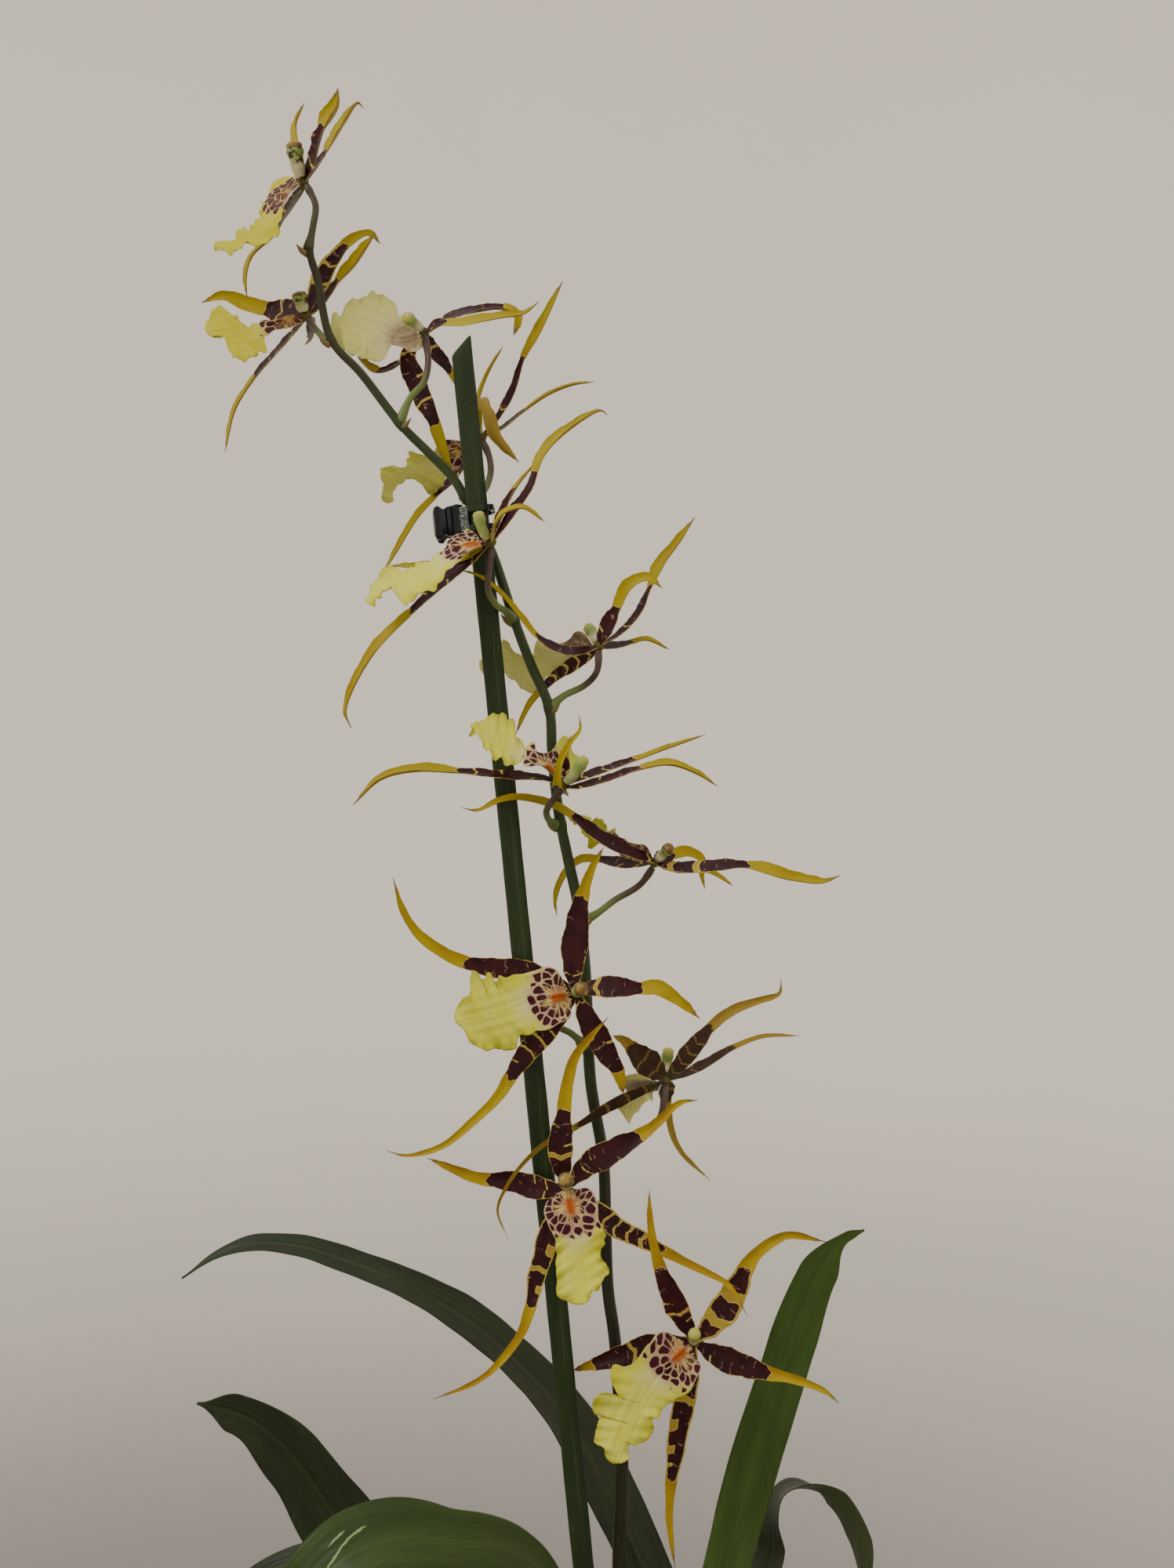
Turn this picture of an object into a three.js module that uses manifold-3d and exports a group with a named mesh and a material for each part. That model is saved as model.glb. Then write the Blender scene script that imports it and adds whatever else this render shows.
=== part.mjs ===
// A potted brassia orchid in flower: a plain pot filled with bark, four pseudobulbs with strap
// leaves, and one tall flower stem that is clipped to a flat green stake and carries twelve
// spidery blooms. Millimetres, +Z up, origin at the centre of the pot's flat base.
//
// What grows is laid out on an upright front sheet in the plane y = 0, seen from EYE. A place
// is written [u, v, y]: u steps to the right and v steps down on the sheet, and y the depth in
// millimetres, positive towards the back. It lies on the line of sight through (u, v).
import * as THREE from "three";
import { mergeVertices } from "three/addons/utils/BufferGeometryUtils.js";
import Module from "manifold-3d";

const wasm = await Module();
wasm.setup();

// ---------- driving dimensions ----------
const SHEET_STEP = 0.36; // one sheet step in millimetres
const SHEET_CENTRE = [748.5, 1000];
const EYE = new THREE.Vector3(-18.5, -740, 595);
const GAP = 0.3; // between pieces that touch

const POT = {
  height: 130, rimRadius: 75, rimDrop: 14, rimProud: 3, baseRadius: 52, wall: 3.2, round: 1.2, sides: 28,
};
const BARK = { level: 113, sides: 24, seed: 7, chips: 34, chipSize: [15, 9, 6], spread: 0.3, margin: 12 };
const BULB = { height: 82, sunk: 14, halfWidth: 16, halfThick: 10.5, rib: 0.04, sides: 12 };
// slope is the lean to the right per step down; the top end runs from v 427 down to v 455.
const STAKE = { width: 9.7, thick: 4, centre: [588, 440], slope: 0.1, topEnd: [427, 455], foot: 48 };
// Radii, widths and fractions along a piece are profiles: lists of [t, value], t from 0 to 1.
const STEM = { segments: 42, sides: 6, radii: [[0, 3.3], [0.45, 2.7], [0.75, 2.3], [1, 1.8]] };
const PEDICEL = { segments: 7, sides: 5, radii: [[0, 2.1], [0.25, 1.35], [0.8, 1.35], [1, 1.5]] };
const BRACT = {
  segments: 2, sides: 4, radii: [[0, 1.6], [0.5, 1.1], [1, 0.3]],
  route: [[0, 6, 0], [7, 3, -2], [15, -6, -4]], // from the node, in sheet steps and millimetres
};
const TEPAL = { thick: 1.2, taper: 0.4, stations: 8, fold: 0.14 };
const LIP = {
  thick: 0.9, stations: 9, across: 4, cup: 0.1,
  frill: { from: 0.35, lift: 1.5, scallop: 0.09, waves: 15, shift: 1.7 },
  notch: { from: 0.85, depth: 0.16 },
};
const COLUMN = {
  segments: 6, sides: 6,
  radii: [[0, 1.1], [0.2, 1.9], [0.6, 2.1], [0.82, 2.5], [0.94, 2], [1, 0.9]],
};
const HUB = { radius: 2.5, sides: 6, rings: 4, seat: 0.7 }; // seat: the gap to what stands on it
// fold is the lift of the edges, as a part of the half width, at the foot and on the blade.
const LEAF = {
  thick: 1.6, edge: 0.8, stations: 16, fold: [[0, 0.6], [0.33, 0.15], [1, 0.15]], twistTo: 0.45,
};
const GOLDEN_ANGLE = Math.PI * (3 - Math.sqrt(5));

// ---------- colours ----------
const finish = (color, roughness, metalness = 0) =>
  new THREE.MeshStandardMaterial({ color, roughness, metalness });
const MATERIALS = {
  tepal: finish(0xb8861f, 0.5),
  lip: finish(0xd6cf6a, 0.5),
  column: finish(0x9fae62, 0.45),
  stem: finish(0x4c5a2e, 0.5),
  leaf: finish(0x33491f, 0.4),
  bulb: finish(0x66803a, 0.45),
  bark: finish(0x5a3a24, 0.9),
  pot: finish(0x3c413f, 0.55),
  stake: finish(0x27401f, 0.45),
  clip: finish(0x141a26, 0.15),
  metal: finish(0x9a9ca0, 0.3, 1),
};

// ---------- layout ----------
const VIEW = new THREE.Vector3(0, 1, 0);

function place([u, v, y]) {
  const reach = 1 - y / EYE.y;
  return new THREE.Vector3(
    EYE.x + (u - SHEET_CENTRE[0]) * SHEET_STEP * reach,
    y,
    EYE.z - (v - SHEET_CENTRE[1]) * SHEET_STEP * reach
  );
}

const smoothCurve = (points) => new THREE.CatmullRomCurve3(points.map(place), false, "centripetal");

// Reads a profile, a list of [t, value] pairs, at t.
function readProfile(profile, t) {
  const next = profile.findIndex(([at]) => at >= t);
  if (next < 1) return profile[next === 0 ? 0 : profile.length - 1][1];
  const [t0, a] = profile[next - 1];
  const [t1, b] = profile[next];
  const s = (t - t0) / (t1 - t0);
  return a + (b - a) * s * s * (3 - 2 * s);
}

// Rises from 0 at the given t to 1 at the end.
const ramp = (t, from) => Math.max(0, t - from) / (1 - from);

// A curve whose point at the given index is drawn in to just clear of a bloom's hub.
function seatedCurve(points, hub, index) {
  const places = points.map(place);
  const centre = place(hub);
  const away = places[index].clone().sub(centre).normalize();
  places[index] = centre.addScaledVector(away, HUB.radius + HUB.seat);
  return new THREE.CatmullRomCurve3(places, false, "centripetal");
}

// A repeatable draw between 0 and 1.
function makeDraw(seed) {
  let state = seed;
  return () => {
    state = (state * 16807) % 2147483647;
    return state / 2147483647;
  };
}

// Frames along a curve: at, along, side and up at each station. The frame is set where the
// curve lies flattest on the sheet and carried from there to both ends without twisting.
// A positive turn brings the lower (or right-hand) edge towards the front.
function framesAlong(curve, stations, turnDegrees) {
  const frames = [];
  for (let i = 0; i <= stations; i += 1) {
    frames.push({ at: curve.getPointAt(i / stations), along: curve.getTangentAt(i / stations) });
  }
  const flatness = (frame) => new THREE.Vector3().crossVectors(frame.along, VIEW).length();
  let start = 0;
  frames.forEach((frame, i) => {
    if (flatness(frame) > flatness(frames[start]) + 1e-6) start = i;
  });
  const turn = THREE.MathUtils.degToRad(turnDegrees);
  const flat = new THREE.Vector3().crossVectors(frames[start].along, VIEW).normalize();
  if (flat.z - 0.3 * flat.x > 0) flat.negate();
  const front = new THREE.Vector3().crossVectors(frames[start].along, flat).normalize();
  if (front.y > 0) front.negate();
  frames[start].side = flat.multiplyScalar(Math.cos(turn)).addScaledVector(front, Math.sin(turn));
  const carry = (from, to) => {
    const side = from.side.clone().addScaledVector(to.along, -from.side.dot(to.along));
    to.side = side.normalize();
  };
  for (let i = start + 1; i <= stations; i += 1) carry(frames[i - 1], frames[i]);
  for (let i = start - 1; i >= 0; i -= 1) carry(frames[i + 1], frames[i]);
  const facing = new THREE.Vector3().crossVectors(frames[start].side, frames[start].along);
  const sign = facing.y > 0 ? -1 : 1;
  for (const frame of frames) {
    frame.up = new THREE.Vector3().crossVectors(frame.side, frame.along).multiplyScalar(sign);
  }
  return frames;
}

// ---------- closed meshes ----------
function meshFrom(vertices, triangles) {
  let volume = 0;
  for (const [a, b, c] of triangles) {
    volume += vertices[a].dot(new THREE.Vector3().crossVectors(vertices[b], vertices[c]));
  }
  const index = triangles.flatMap(([a, b, c]) => (volume < 0 ? [a, c, b] : [a, b, c]));
  const geometry = new THREE.BufferGeometry();
  geometry.setAttribute(
    "position",
    new THREE.Float32BufferAttribute(vertices.flatMap((p) => [p.x, p.y, p.z]), 3)
  );
  geometry.setIndex(index);
  return geometry;
}

// Joins rings of equally many points into one body with flat ends.
function loft(rings) {
  const sides = rings[0].length;
  const triangles = [];
  for (let i = 0; i + 1 < rings.length; i += 1) {
    for (let j = 0; j < sides; j += 1) {
      const k = (j + 1) % sides;
      const [a, b] = [i * sides + j, i * sides + k];
      triangles.push([a, b, b + sides], [a, b + sides, a + sides]);
    }
  }
  const last = (rings.length - 1) * sides;
  for (let j = 1; j + 1 < sides; j += 1) {
    triangles.push([0, j + 1, j], [last, last + j, last + j + 1]);
  }
  return meshFrom(rings.flat(), triangles);
}

// A thin sheet of points[i][j], thickened along normals[i]. Both faces are split alike.
function thinSheet(points, normals, thick) {
  const [rows, cols] = [points.length, points[0].length];
  const offset = rows * cols;
  const vertices = [];
  for (const sign of [0.5, -0.5]) {
    points.forEach((row, i) =>
      row.forEach((p) => vertices.push(p.clone().addScaledVector(normals[i], sign * thick)))
    );
  }
  const triangles = [];
  const quad = (a, b, c, d) => triangles.push([a, b, c], [a, c, d]);
  for (let i = 0; i + 1 < rows; i += 1) {
    for (let j = 0; j + 1 < cols; j += 1) {
      const [a, b] = [i * cols + j, (i + 1) * cols + j];
      const [c, d] = [b + 1, a + 1];
      quad(a, b, c, d);
      triangles.push(
        [a + offset, c + offset, b + offset],
        [a + offset, d + offset, c + offset]
      );
    }
  }
  const rim = [];
  for (let j = 0; j + 1 < cols; j += 1) rim.push(j);
  for (let i = 0; i + 1 < rows; i += 1) rim.push(i * cols + cols - 1);
  for (let j = cols - 1; j > 0; j -= 1) rim.push((rows - 1) * cols + j);
  for (let i = rows - 1; i > 0; i -= 1) rim.push(i * cols);
  rim.forEach((a, k) => {
    const b = rim[(k + 1) % rim.length];
    quad(a, b, b + offset, a + offset);
  });
  return meshFrom(vertices, triangles);
}

// ---------- joining and cutting ----------
function toSolid(geometry) {
  const bare = geometry.clone();
  for (const name of Object.keys(bare.attributes)) {
    if (name !== "position") bare.deleteAttribute(name);
  }
  const merged = mergeVertices(bare, 1e-5);
  return new wasm.Manifold(
    new wasm.Mesh({
      numProp: 3,
      vertProperties: new Float32Array(merged.attributes.position.array),
      triVerts: new Uint32Array(merged.index.array),
    })
  );
}

function toGeometry(solid) {
  const mesh = solid.getMesh();
  const geometry = new THREE.BufferGeometry();
  geometry.setAttribute("position", new THREE.Float32BufferAttribute(mesh.vertProperties, 3));
  geometry.setIndex([...mesh.triVerts]);
  return geometry;
}

const joinAll = (geometries) =>
  toGeometry(geometries.map(toSolid).reduce((sum, solid) => sum.add(solid)));

const cutAll = (body, cutters) =>
  toGeometry(cutters.map(toSolid).reduce((rest, solid) => rest.subtract(solid), toSolid(body)));

// ---------- stems and tubes ----------
// A tapered round body along a curve; radii is a profile along it.
function taperedTube(curve, { segments, sides, radii }) {
  const rings = framesAlong(curve, segments, 0).map((frame, i) => {
    const radius = readProfile(radii, i / segments);
    return Array.from({ length: sides }, (_, k) => {
      const angle = (k / sides) * 2 * Math.PI;
      return frame.at
        .clone()
        .addScaledVector(frame.side, radius * Math.cos(angle))
        .addScaledVector(frame.up, radius * Math.sin(angle));
    });
  });
  return loft(rings);
}

const STEM_ROUTE = [
  [806, 2345, 9], [803, 2220, 9], [795, 2100, 9], [789, 2000, 9], [793, 1872, 9], [784, 1711, 9],
  [775, 1644, 9], [772, 1560, 9], [769, 1478, 9], [753, 1380, 8.5], [746, 1237, 8], [738, 1160, 8],
  [724, 1095, 8], [712, 1035, 8], [704, 962, 8], [700, 903, 8], [677, 848, 8], [655, 789, 7.5],
  [641, 745, 7], [627, 705, 7], [616, 682, 7], [609, 665, 7], [602, 648, 7], [591, 631, 6.5],
  [577, 609, 6], [545, 576, 5], [512, 543, 3], [460, 476, 1.5], [422, 433, 0], [405, 357, -1],
  [398, 335, -2], [392, 313, -2],
];

// Each bloom's stalk, from its node inside the stem to just behind the bloom.
const PEDICELS = {
  bloom_01: [[393, 318, -2], [399, 290, -1], [402, 262, 0], [395, 242, 1]],
  bloom_02: [[421, 434, 0], [410, 428, 6], [399, 415, 11], [393, 408, 14]],
  bloom_03: [[509, 540, 3], [523, 508, 4], [540, 488, 8], [546, 464, 11], [545, 440, 12]],
  bloom_04: [
    [590, 634, 7], [603, 633, 14], [617, 626, 20], [625, 606, 25], [624, 585, 30], [617, 568, 33],
  ],
  bloom_05: [
    [654, 790, 7], [645, 780, 1], [632, 771, -5], [623, 753, -10], [623, 729, -11], [626, 704, -11],
  ],
  bloom_06: [[699, 904, 8], [720, 887, 10], [744, 875, 9], [761, 856, 3], [764, 838, -2]],
  bloom_07: [[711, 1052, 8], [700, 1046, 2], [697, 1033, -5], [704, 1021, -6.5], [714, 1011, -6.5]],
  bloom_08: [[742, 1175, 8], [760, 1166, 8], [784, 1148, 8], [815, 1129, 7], [830, 1112, 5]],
  bloom_09: [[749, 1336, 8], [728, 1318, 3], [710, 1307, -2], [712, 1288, -4], [726, 1274, -7]],
  bloom_10: [
    [768, 1482, 9], [792, 1465, 4], [822, 1447, -1], [842, 1425, -5], [847, 1402, -5], [848, 1388, -2],
  ],
  bloom_11: [[771, 1566, 9], [760, 1552, 2], [742, 1534, -3], [728, 1521, -8]],
  bloom_12: [[793, 1806, 9], [815, 1787, 4], [845, 1759, -2], [868, 1733, -8], [880, 1719, -11.5]],
};

function makeStem() {
  const route = smoothCurve(STEM_ROUTE);
  const parts = [taperedTube(route, STEM)];
  for (const [name, stalk] of Object.entries(PEDICELS)) {
    const curve = seatedCurve(stalk, BLOOMS[name].hub, stalk.length - 1);
    parts.push(taperedTube(curve, PEDICEL), makeBract(stalk));
  }
  return joinAll(parts);
}

// The small dry bract under a stalk: a curved cone that leaves the stem below the stalk.
function makeBract([node, next]) {
  const [u, v, y] = node;
  const lean = next[0] > u ? 1 : -1;
  const route = BRACT.route.map(([right, down, back]) => [u + lean * right, v + down, y + back]);
  return taperedTube(smoothCurve(route), BRACT);
}

// ---------- blooms ----------
// Width along a tepal: a lance-shaped blade that runs out into a long tail.
const TEPAL_WIDTH = [
  [0, 0.24], [0.06, 0.4], [0.16, 0.8], [0.3, 1], [0.46, 0.78], [0.62, 0.46], [0.82, 0.26], [1, 0.09],
];

function makeTepal({ width, turn, path }, hub) {
  const frames = framesAlong(smoothCurve([hub, ...path]), TEPAL.stations, turn);
  const rings = frames.map(({ at, side, up }, i) => {
    const t = i / TEPAL.stations;
    const half = (width / 2) * readProfile(TEPAL_WIDTH, t);
    const ridge = (TEPAL.thick / 2) * (1 - TEPAL.taper * t);
    const raise = TEPAL.fold * half;
    return [
      at.clone().addScaledVector(side, half).addScaledVector(up, raise),
      at.clone().addScaledVector(up, ridge),
      at.clone().addScaledVector(side, -half).addScaledVector(up, raise),
      at.clone().addScaledVector(up, -ridge),
    ];
  });
  return loft(rings);
}

// The lip: a fiddle-shaped blade with two side lobes, a waist and a broad ruffled apron that
// ends in a shallow notch. widths holds the half widths of lobes, waist and apron.
function makeLip({ hub, lip }, phase) {
  const [lobe, waist, apron] = lip.widths;
  const halfWidth = [
    [0, 0.15 * lobe], [0.1, 0.75 * lobe], [0.22, lobe], [0.4, waist], [0.55, 0.86 * apron],
    [0.72, apron], [0.88, 0.8 * apron], [1, 0.34 * apron],
  ];
  const { thick, stations, across, cup, frill, notch } = LIP;
  const frames = framesAlong(seatedCurve(lip.path, hub, 0), stations, lip.turn);
  const points = frames.map(({ at, along, side, up }, i) => {
    const t = i / stations;
    const frilled = ramp(t, frill.from);
    return Array.from({ length: across + 1 }, (_, j) => {
      const s = (2 * j) / across - 1;
      const wave = frilled * Math.sin(phase + frill.waves * t + (s > 0 ? frill.shift : 0));
      const half = readProfile(halfWidth, t) * (1 + frill.scallop * wave);
      const lift = (frill.lift * wave - cup * half) * s * s;
      const notched = -notch.depth * apron * ramp(t, notch.from) * (1 - Math.abs(s));
      return at
        .clone()
        .addScaledVector(side, half * s)
        .addScaledVector(up, lift)
        .addScaledVector(along, notched);
    });
  });
  return thinSheet(points, frames.map(({ up }) => up), thick);
}

function makeColumn({ hub, column }) {
  return taperedTube(seatedCurve(column, hub, 0), COLUMN);
}

function makeTepals({ hub, tepals }) {
  const heart = new THREE.SphereGeometry(HUB.radius, HUB.sides, HUB.rings);
  heart.translate(...place(hub).toArray());
  return joinAll([heart, ...tepals.map((tepal) => makeTepal(tepal, hub))]);
}

// Twelve blooms, from the top of the stem down. Each has its hub, the column and the lip in
// front of it, and five tepals (three sepals and two petals).
const BLOOMS = {
  bloom_01: {
    hub: [387, 232, 4],
    column: [[381, 221, 0], [378, 205, -2], [374, 186, -3]],
    lip: {
      widths: [8, 7, 14], turn: 70,
      path: [
        [372, 238, -1], [352, 262, -4], [325, 298, -5], [275, 315, -4],
      ],
    },
    tepals: [
      { width: 8, turn: 60, path: [[386, 228, 5], [380, 192, 12], [377, 160, 17], [388, 131, 20]] },
      {
        width: 10, turn: 45,
        path: [
          [389, 229, 3], [402, 194, -6], [412, 165, -11], [430, 136, -14], [431, 113, -16],
        ],
      },
      {
        width: 8, turn: 60,
        path: [
          [390, 230, 5], [416, 193, 9], [440, 155, 13], [457, 132, 15], [463, 138, 16],
        ],
      },
      {
        width: 9, turn: 55,
        path: [
          [385, 236, 6], [367, 266, 15], [349, 300, 19], [322, 326, 18], [314, 350, 15], [315, 381, 12],
        ],
      },
      { width: 9, turn: 50, path: [[388, 237, 6], [374, 262, 24], [356, 286, 42], [338, 304, 56]] },
    ],
  },
  bloom_02: {
    hub: [391, 404, 16],
    column: [[386, 396, 13], [384, 386, 12], [380, 372, 11]],
    lip: {
      widths: [9, 9, 16], turn: 40,
      path: [
        [381, 409, 12], [352, 413, 7], [318, 424, 3], [272, 430, -2],
      ],
    },
    tepals: [
      {
        width: 11, turn: 40,
        path: [
          [393, 400, 17], [408, 362, 24], [424, 336, 29], [446, 311, 33], [470, 299, 35],
          [485, 311, 36],
        ],
      },
      {
        width: 9, turn: 60,
        path: [
          [395, 402, 16], [412, 384, 16], [432, 358, 13], [453, 336, 9], [479, 297, 4],
        ],
      },
      {
        width: 10, turn: 45,
        path: [
          [388, 402, 17], [368, 399, 21], [344, 396, 24], [313, 389, 25], [286, 379, 25],
          [257, 386, 24],
        ],
      },
      {
        width: 9, turn: 55,
        path: [
          [389, 407, 17], [371, 428, 22], [347, 455, 25], [326, 480, 25], [300, 522, 21],
          [287, 577, 15],
        ],
      },
      { width: 9, turn: 30, path: [[393, 408, 18], [399, 420, 30], [397, 432, 42], [389, 440, 52]] },
    ],
  },
  bloom_03: {
    hub: [541, 424, 18],
    column: [[535, 417, 14], [526, 410, 10], [516, 403, 6]],
    lip: {
      widths: [9, 10, 16], turn: 15,
      path: [
        [531, 431, 16], [508, 433, 14], [475, 420, 11], [428, 404, 8],
      ],
    },
    tepals: [
      {
        width: 10, turn: 40,
        path: [
          [545, 422, 17], [562, 413, 13], [595, 411, 9], [640, 404, 6], [668, 400, 5], [687, 385, 4],
        ],
      },
      {
        width: 10, turn: 55,
        path: [
          [546, 422, 19], [575, 404, 23], [607, 397, 25], [638, 394, 25], [658, 404, 23],
          [655, 428, 21],
        ],
      },
      {
        width: 11, turn: 20,
        path: [
          [537, 427, 18], [521, 455, 19], [535, 494, 18], [556, 540, 14], [577, 604, 12],
        ],
      },
      { width: 9, turn: 40, path: [[544, 429, 20], [553, 449, 24], [572, 474, 27], [590, 506, 28]] },
      {
        width: 9, turn: 50,
        path: [
          [538, 429, 20], [520, 454, 27], [498, 471, 32], [478, 474, 34], [456, 456, 35],
        ],
      },
    ],
  },
  bloom_04: {
    hub: [614, 558, 36],
    column: [[608, 550, 32], [601, 542, 29], [592, 535, 27]],
    lip: {
      widths: [8, 7, 12], turn: -50,
      path: [
        [604, 564, 33], [575, 574, 30], [540, 594, 28], [488, 624, 26],
      ],
    },
    tepals: [
      {
        width: 9, turn: 50,
        path: [
          [618, 553, 36], [633, 535, 38], [654, 497, 40], [667, 459, 40], [690, 418, 38],
          [718, 358, 34],
        ],
      },
      {
        width: 8, turn: 60,
        path: [
          [619, 556, 35], [640, 546, 31], [667, 525, 26], [700, 503, 21], [731, 491, 18],
          [759, 487, 16],
        ],
      },
      {
        width: 9, turn: 10,
        path: [
          [612, 552, 36], [607, 530, 33], [610, 511, 25], [620, 522, 16], [632, 556, 11],
          [662, 590, 12],
        ],
      },
      {
        width: 8, turn: 65,
        path: [
          [612, 551, 38], [608, 527, 43], [614, 497, 46], [626, 469, 46], [642, 441, 44],
        ],
      },
      {
        width: 9, turn: 50,
        path: [
          [609, 563, 39], [591, 592, 43], [573, 616, 45], [555, 634, 44], [532, 660, 42],
          [507, 701, 38], [487, 734, 34],
        ],
      },
    ],
  },
  bloom_05: {
    hub: [626, 691, -14],
    column: [[619, 686, -18], [614, 672, -19], [609, 652, -19]],
    lip: {
      widths: [8, 8, 14], turn: 58,
      path: [[612, 696, -19], [586, 701, -21], [555, 716, -22], [518, 740, -22], [468, 762, -21]],
    },
    tepals: [
      {
        width: 8, turn: 50,
        path: [
          [628, 687, -17], [631, 669, -24], [643, 654, -28], [667, 648, -30], [695, 666, -29],
        ],
      },
      {
        width: 8.5, turn: 55,
        path: [
          [630, 688, -14], [655, 652, -10], [677, 620, -7], [691, 583, -5], [714, 557, -4],
          [767, 524, -2], [774, 530, -2],
        ],
      },
      {
        width: 8, turn: 65,
        path: [
          [628, 687, -13], [636, 664, -9], [645, 645, -5], [658, 622, 0], [685, 588, 7],
        ],
      },
      {
        width: 10, turn: 50,
        path: [
          [622, 695, -13], [598, 717, -11], [562, 745, -10], [526, 780, -10], [475, 834, -10],
          [441, 906, -10], [448, 929, -11],
        ],
      },
      {
        width: 8, turn: 40,
        path: [
          [622, 693, -12], [597, 708, -8], [570, 717, -4], [540, 722, 0], [496, 722, 3],
        ],
      },
    ],
  },
  bloom_06: {
    hub: [763, 825, 5],
    column: [[760, 815, 9], [755, 807, 13], [748, 798, 16]],
    lip: {
      widths: [8, 8, 14], turn: -45,
      path: [[752, 823, 10], [735, 820, 15], [700, 832, 20], [660, 846, 24], [615, 850, 27]],
    },
    tepals: [
      {
        width: 9, turn: 50,
        path: [
          [758, 826, 3], [738, 831, 1], [712, 828, -1], [685, 812, -2], [661, 784, -3],
          [640, 759, -4.5], [610, 735, -6], [583, 726, -6],
        ],
      },
      {
        width: 9, turn: 45,
        path: [
          [758, 833, 7], [742, 843, 12], [718, 857, 18], [694, 879, 20], [676, 900, 20], [658, 936, 18],
        ],
      },
      {
        width: 11, turn: 25,
        path: [
          [765, 820, 4], [773, 803, 2], [787, 777, -1], [803, 748, -4], [826, 738, -6], [844, 750, -7],
        ],
      },
      {
        width: 9, turn: 50,
        path: [
          [768, 822, 6], [790, 808, 11], [815, 780, 15], [829, 750, 17], [844, 720, 18], [865, 692, 18],
          [886, 660, 17],
        ],
      },
      {
        width: 8, turn: 60,
        path: [
          [769, 826, 7], [790, 823, 11], [806, 820, 13], [824, 816, 14], [854, 829, 14],
        ],
      },
    ],
  },
  bloom_07: {
    hub: [718, 1002, -13],
    column: [[725, 995, -17], [735, 984, -18], [747, 965, -19]],
    lip: {
      widths: [8, 7, 13], turn: 52,
      path: [[710, 992, -18], [690, 975, -21], [660, 961, -23], [632, 945, -24], [604, 927, -24]],
    },
    tepals: [
      {
        width: 9, turn: 62,
        path: [
          [713, 1001, -12], [698, 994, -11], [653, 990, -9], [586, 985, -8], [530, 983, -8],
          [486, 994, -8], [450, 1027, -8],
        ],
      },
      {
        width: 9, turn: 15,
        path: [
          [716, 1008, -19], [712, 1003, -30], [714, 974, -38], [728, 947, -41], [740, 930, -41],
          [738, 911, -42],
        ],
      },
      {
        width: 8, turn: 62,
        path: [
          [723, 1000, -12], [740, 993, -10], [773, 981, -6], [808, 970, -3], [835, 960, -1],
          [900, 937, 2],
        ],
      },
      {
        width: 8, turn: 62,
        path: [
          [723, 1004, -14], [740, 1003, -17], [773, 994, -20], [815, 981, -22], [853, 975, -23],
          [887, 986, -23], [915, 1003, -22],
        ],
      },
      { width: 8, turn: 50, path: [[719, 996, -11], [722, 976, -7], [724, 957, -3], [728, 938, 0]] },
    ],
  },
  bloom_08: {
    hub: [835, 1100, 2],
    column: [[842, 1093, -2], [848, 1087, -4], [856, 1079, -7]],
    lip: {
      widths: [7, 6, 11], turn: -55,
      path: [
        [826, 1093, 2], [805, 1084, 5], [775, 1067, 9], [731, 1041, 13],
      ],
    },
    tepals: [
      {
        width: 9, turn: 35,
        path: [
          [830, 1097, -1], [801, 1085, -6], [767, 1068, -6], [732, 1043, -2.5], [705, 1028, 0.8],
          [660, 1018, -6], [636, 1022, -7], [608, 1034, -7], [588, 1030, -7],
        ],
      },
      {
        width: 9, turn: 55,
        path: [
          [829, 1101, 5], [794, 1101, 14], [763, 1097, 19], [739, 1099, 20], [720, 1118, 20],
          [709, 1148, 19], [710, 1168, 18],
        ],
      },
      {
        width: 9, turn: 50,
        path: [
          [841, 1102, 0], [870, 1107, -5], [915, 1105, -10], [955, 1105, -13], [1008, 1120, -15],
          [1050, 1125, -16], [1071, 1117, -16],
        ],
      },
      {
        width: 9, turn: 50,
        path: [
          [840, 1098, 5], [856, 1091, 10], [873, 1087, 14], [892, 1096, 16], [893, 1115, 15],
          [899, 1134, 14],
        ],
      },
      { width: 8, turn: 55, path: [[841, 1103, 6], [870, 1108, 14], [904, 1112, 20], [935, 1130, 24]] },
    ],
  },
  bloom_09: {
    hub: [735, 1267, -13],
    column: [[734, 1265, -17.5], [738, 1263, -21], [744, 1261, -26]],
    lip: {
      widths: [14, 12, 17], turn: 8,
      path: [[722, 1272, -19], [700, 1274, -21], [672, 1280, -21], [640, 1291, -23], [588, 1304, -29]],
    },
    tepals: [
      {
        width: 12.5, turn: 5,
        path: [
          [733, 1260, -13], [731, 1238, -12], [734, 1200, -11], [742, 1147, -10], [755, 1108, -10],
          [770, 1080, -11],
        ],
      },
      {
        width: 11, turn: 30,
        path: [
          [740, 1264, -14], [761, 1260, -15], [789, 1260, -17], [817, 1262, -18], [838, 1262, -19],
          [862, 1276, -19], [892, 1299, -18],
        ],
      },
      {
        width: 11, turn: 20,
        path: [
          [729, 1263, -12], [700, 1250, -10], [674, 1241, -9], [630, 1235, -9], [595, 1229, -10],
          [564, 1215, -11], [536, 1195, -12], [514, 1164, -13], [501, 1119, -14],
        ],
      },
      {
        width: 11, turn: 15,
        path: [
          [731, 1273, -14], [713, 1296, -14], [696, 1316, -13], [671, 1344, -12], [652, 1373, -11],
          [633, 1402, -11], [604, 1430, -11], [566, 1461, -12], [518, 1474, -12], [491, 1467, -12],
        ],
      },
      {
        width: 11.5, turn: 10,
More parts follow.
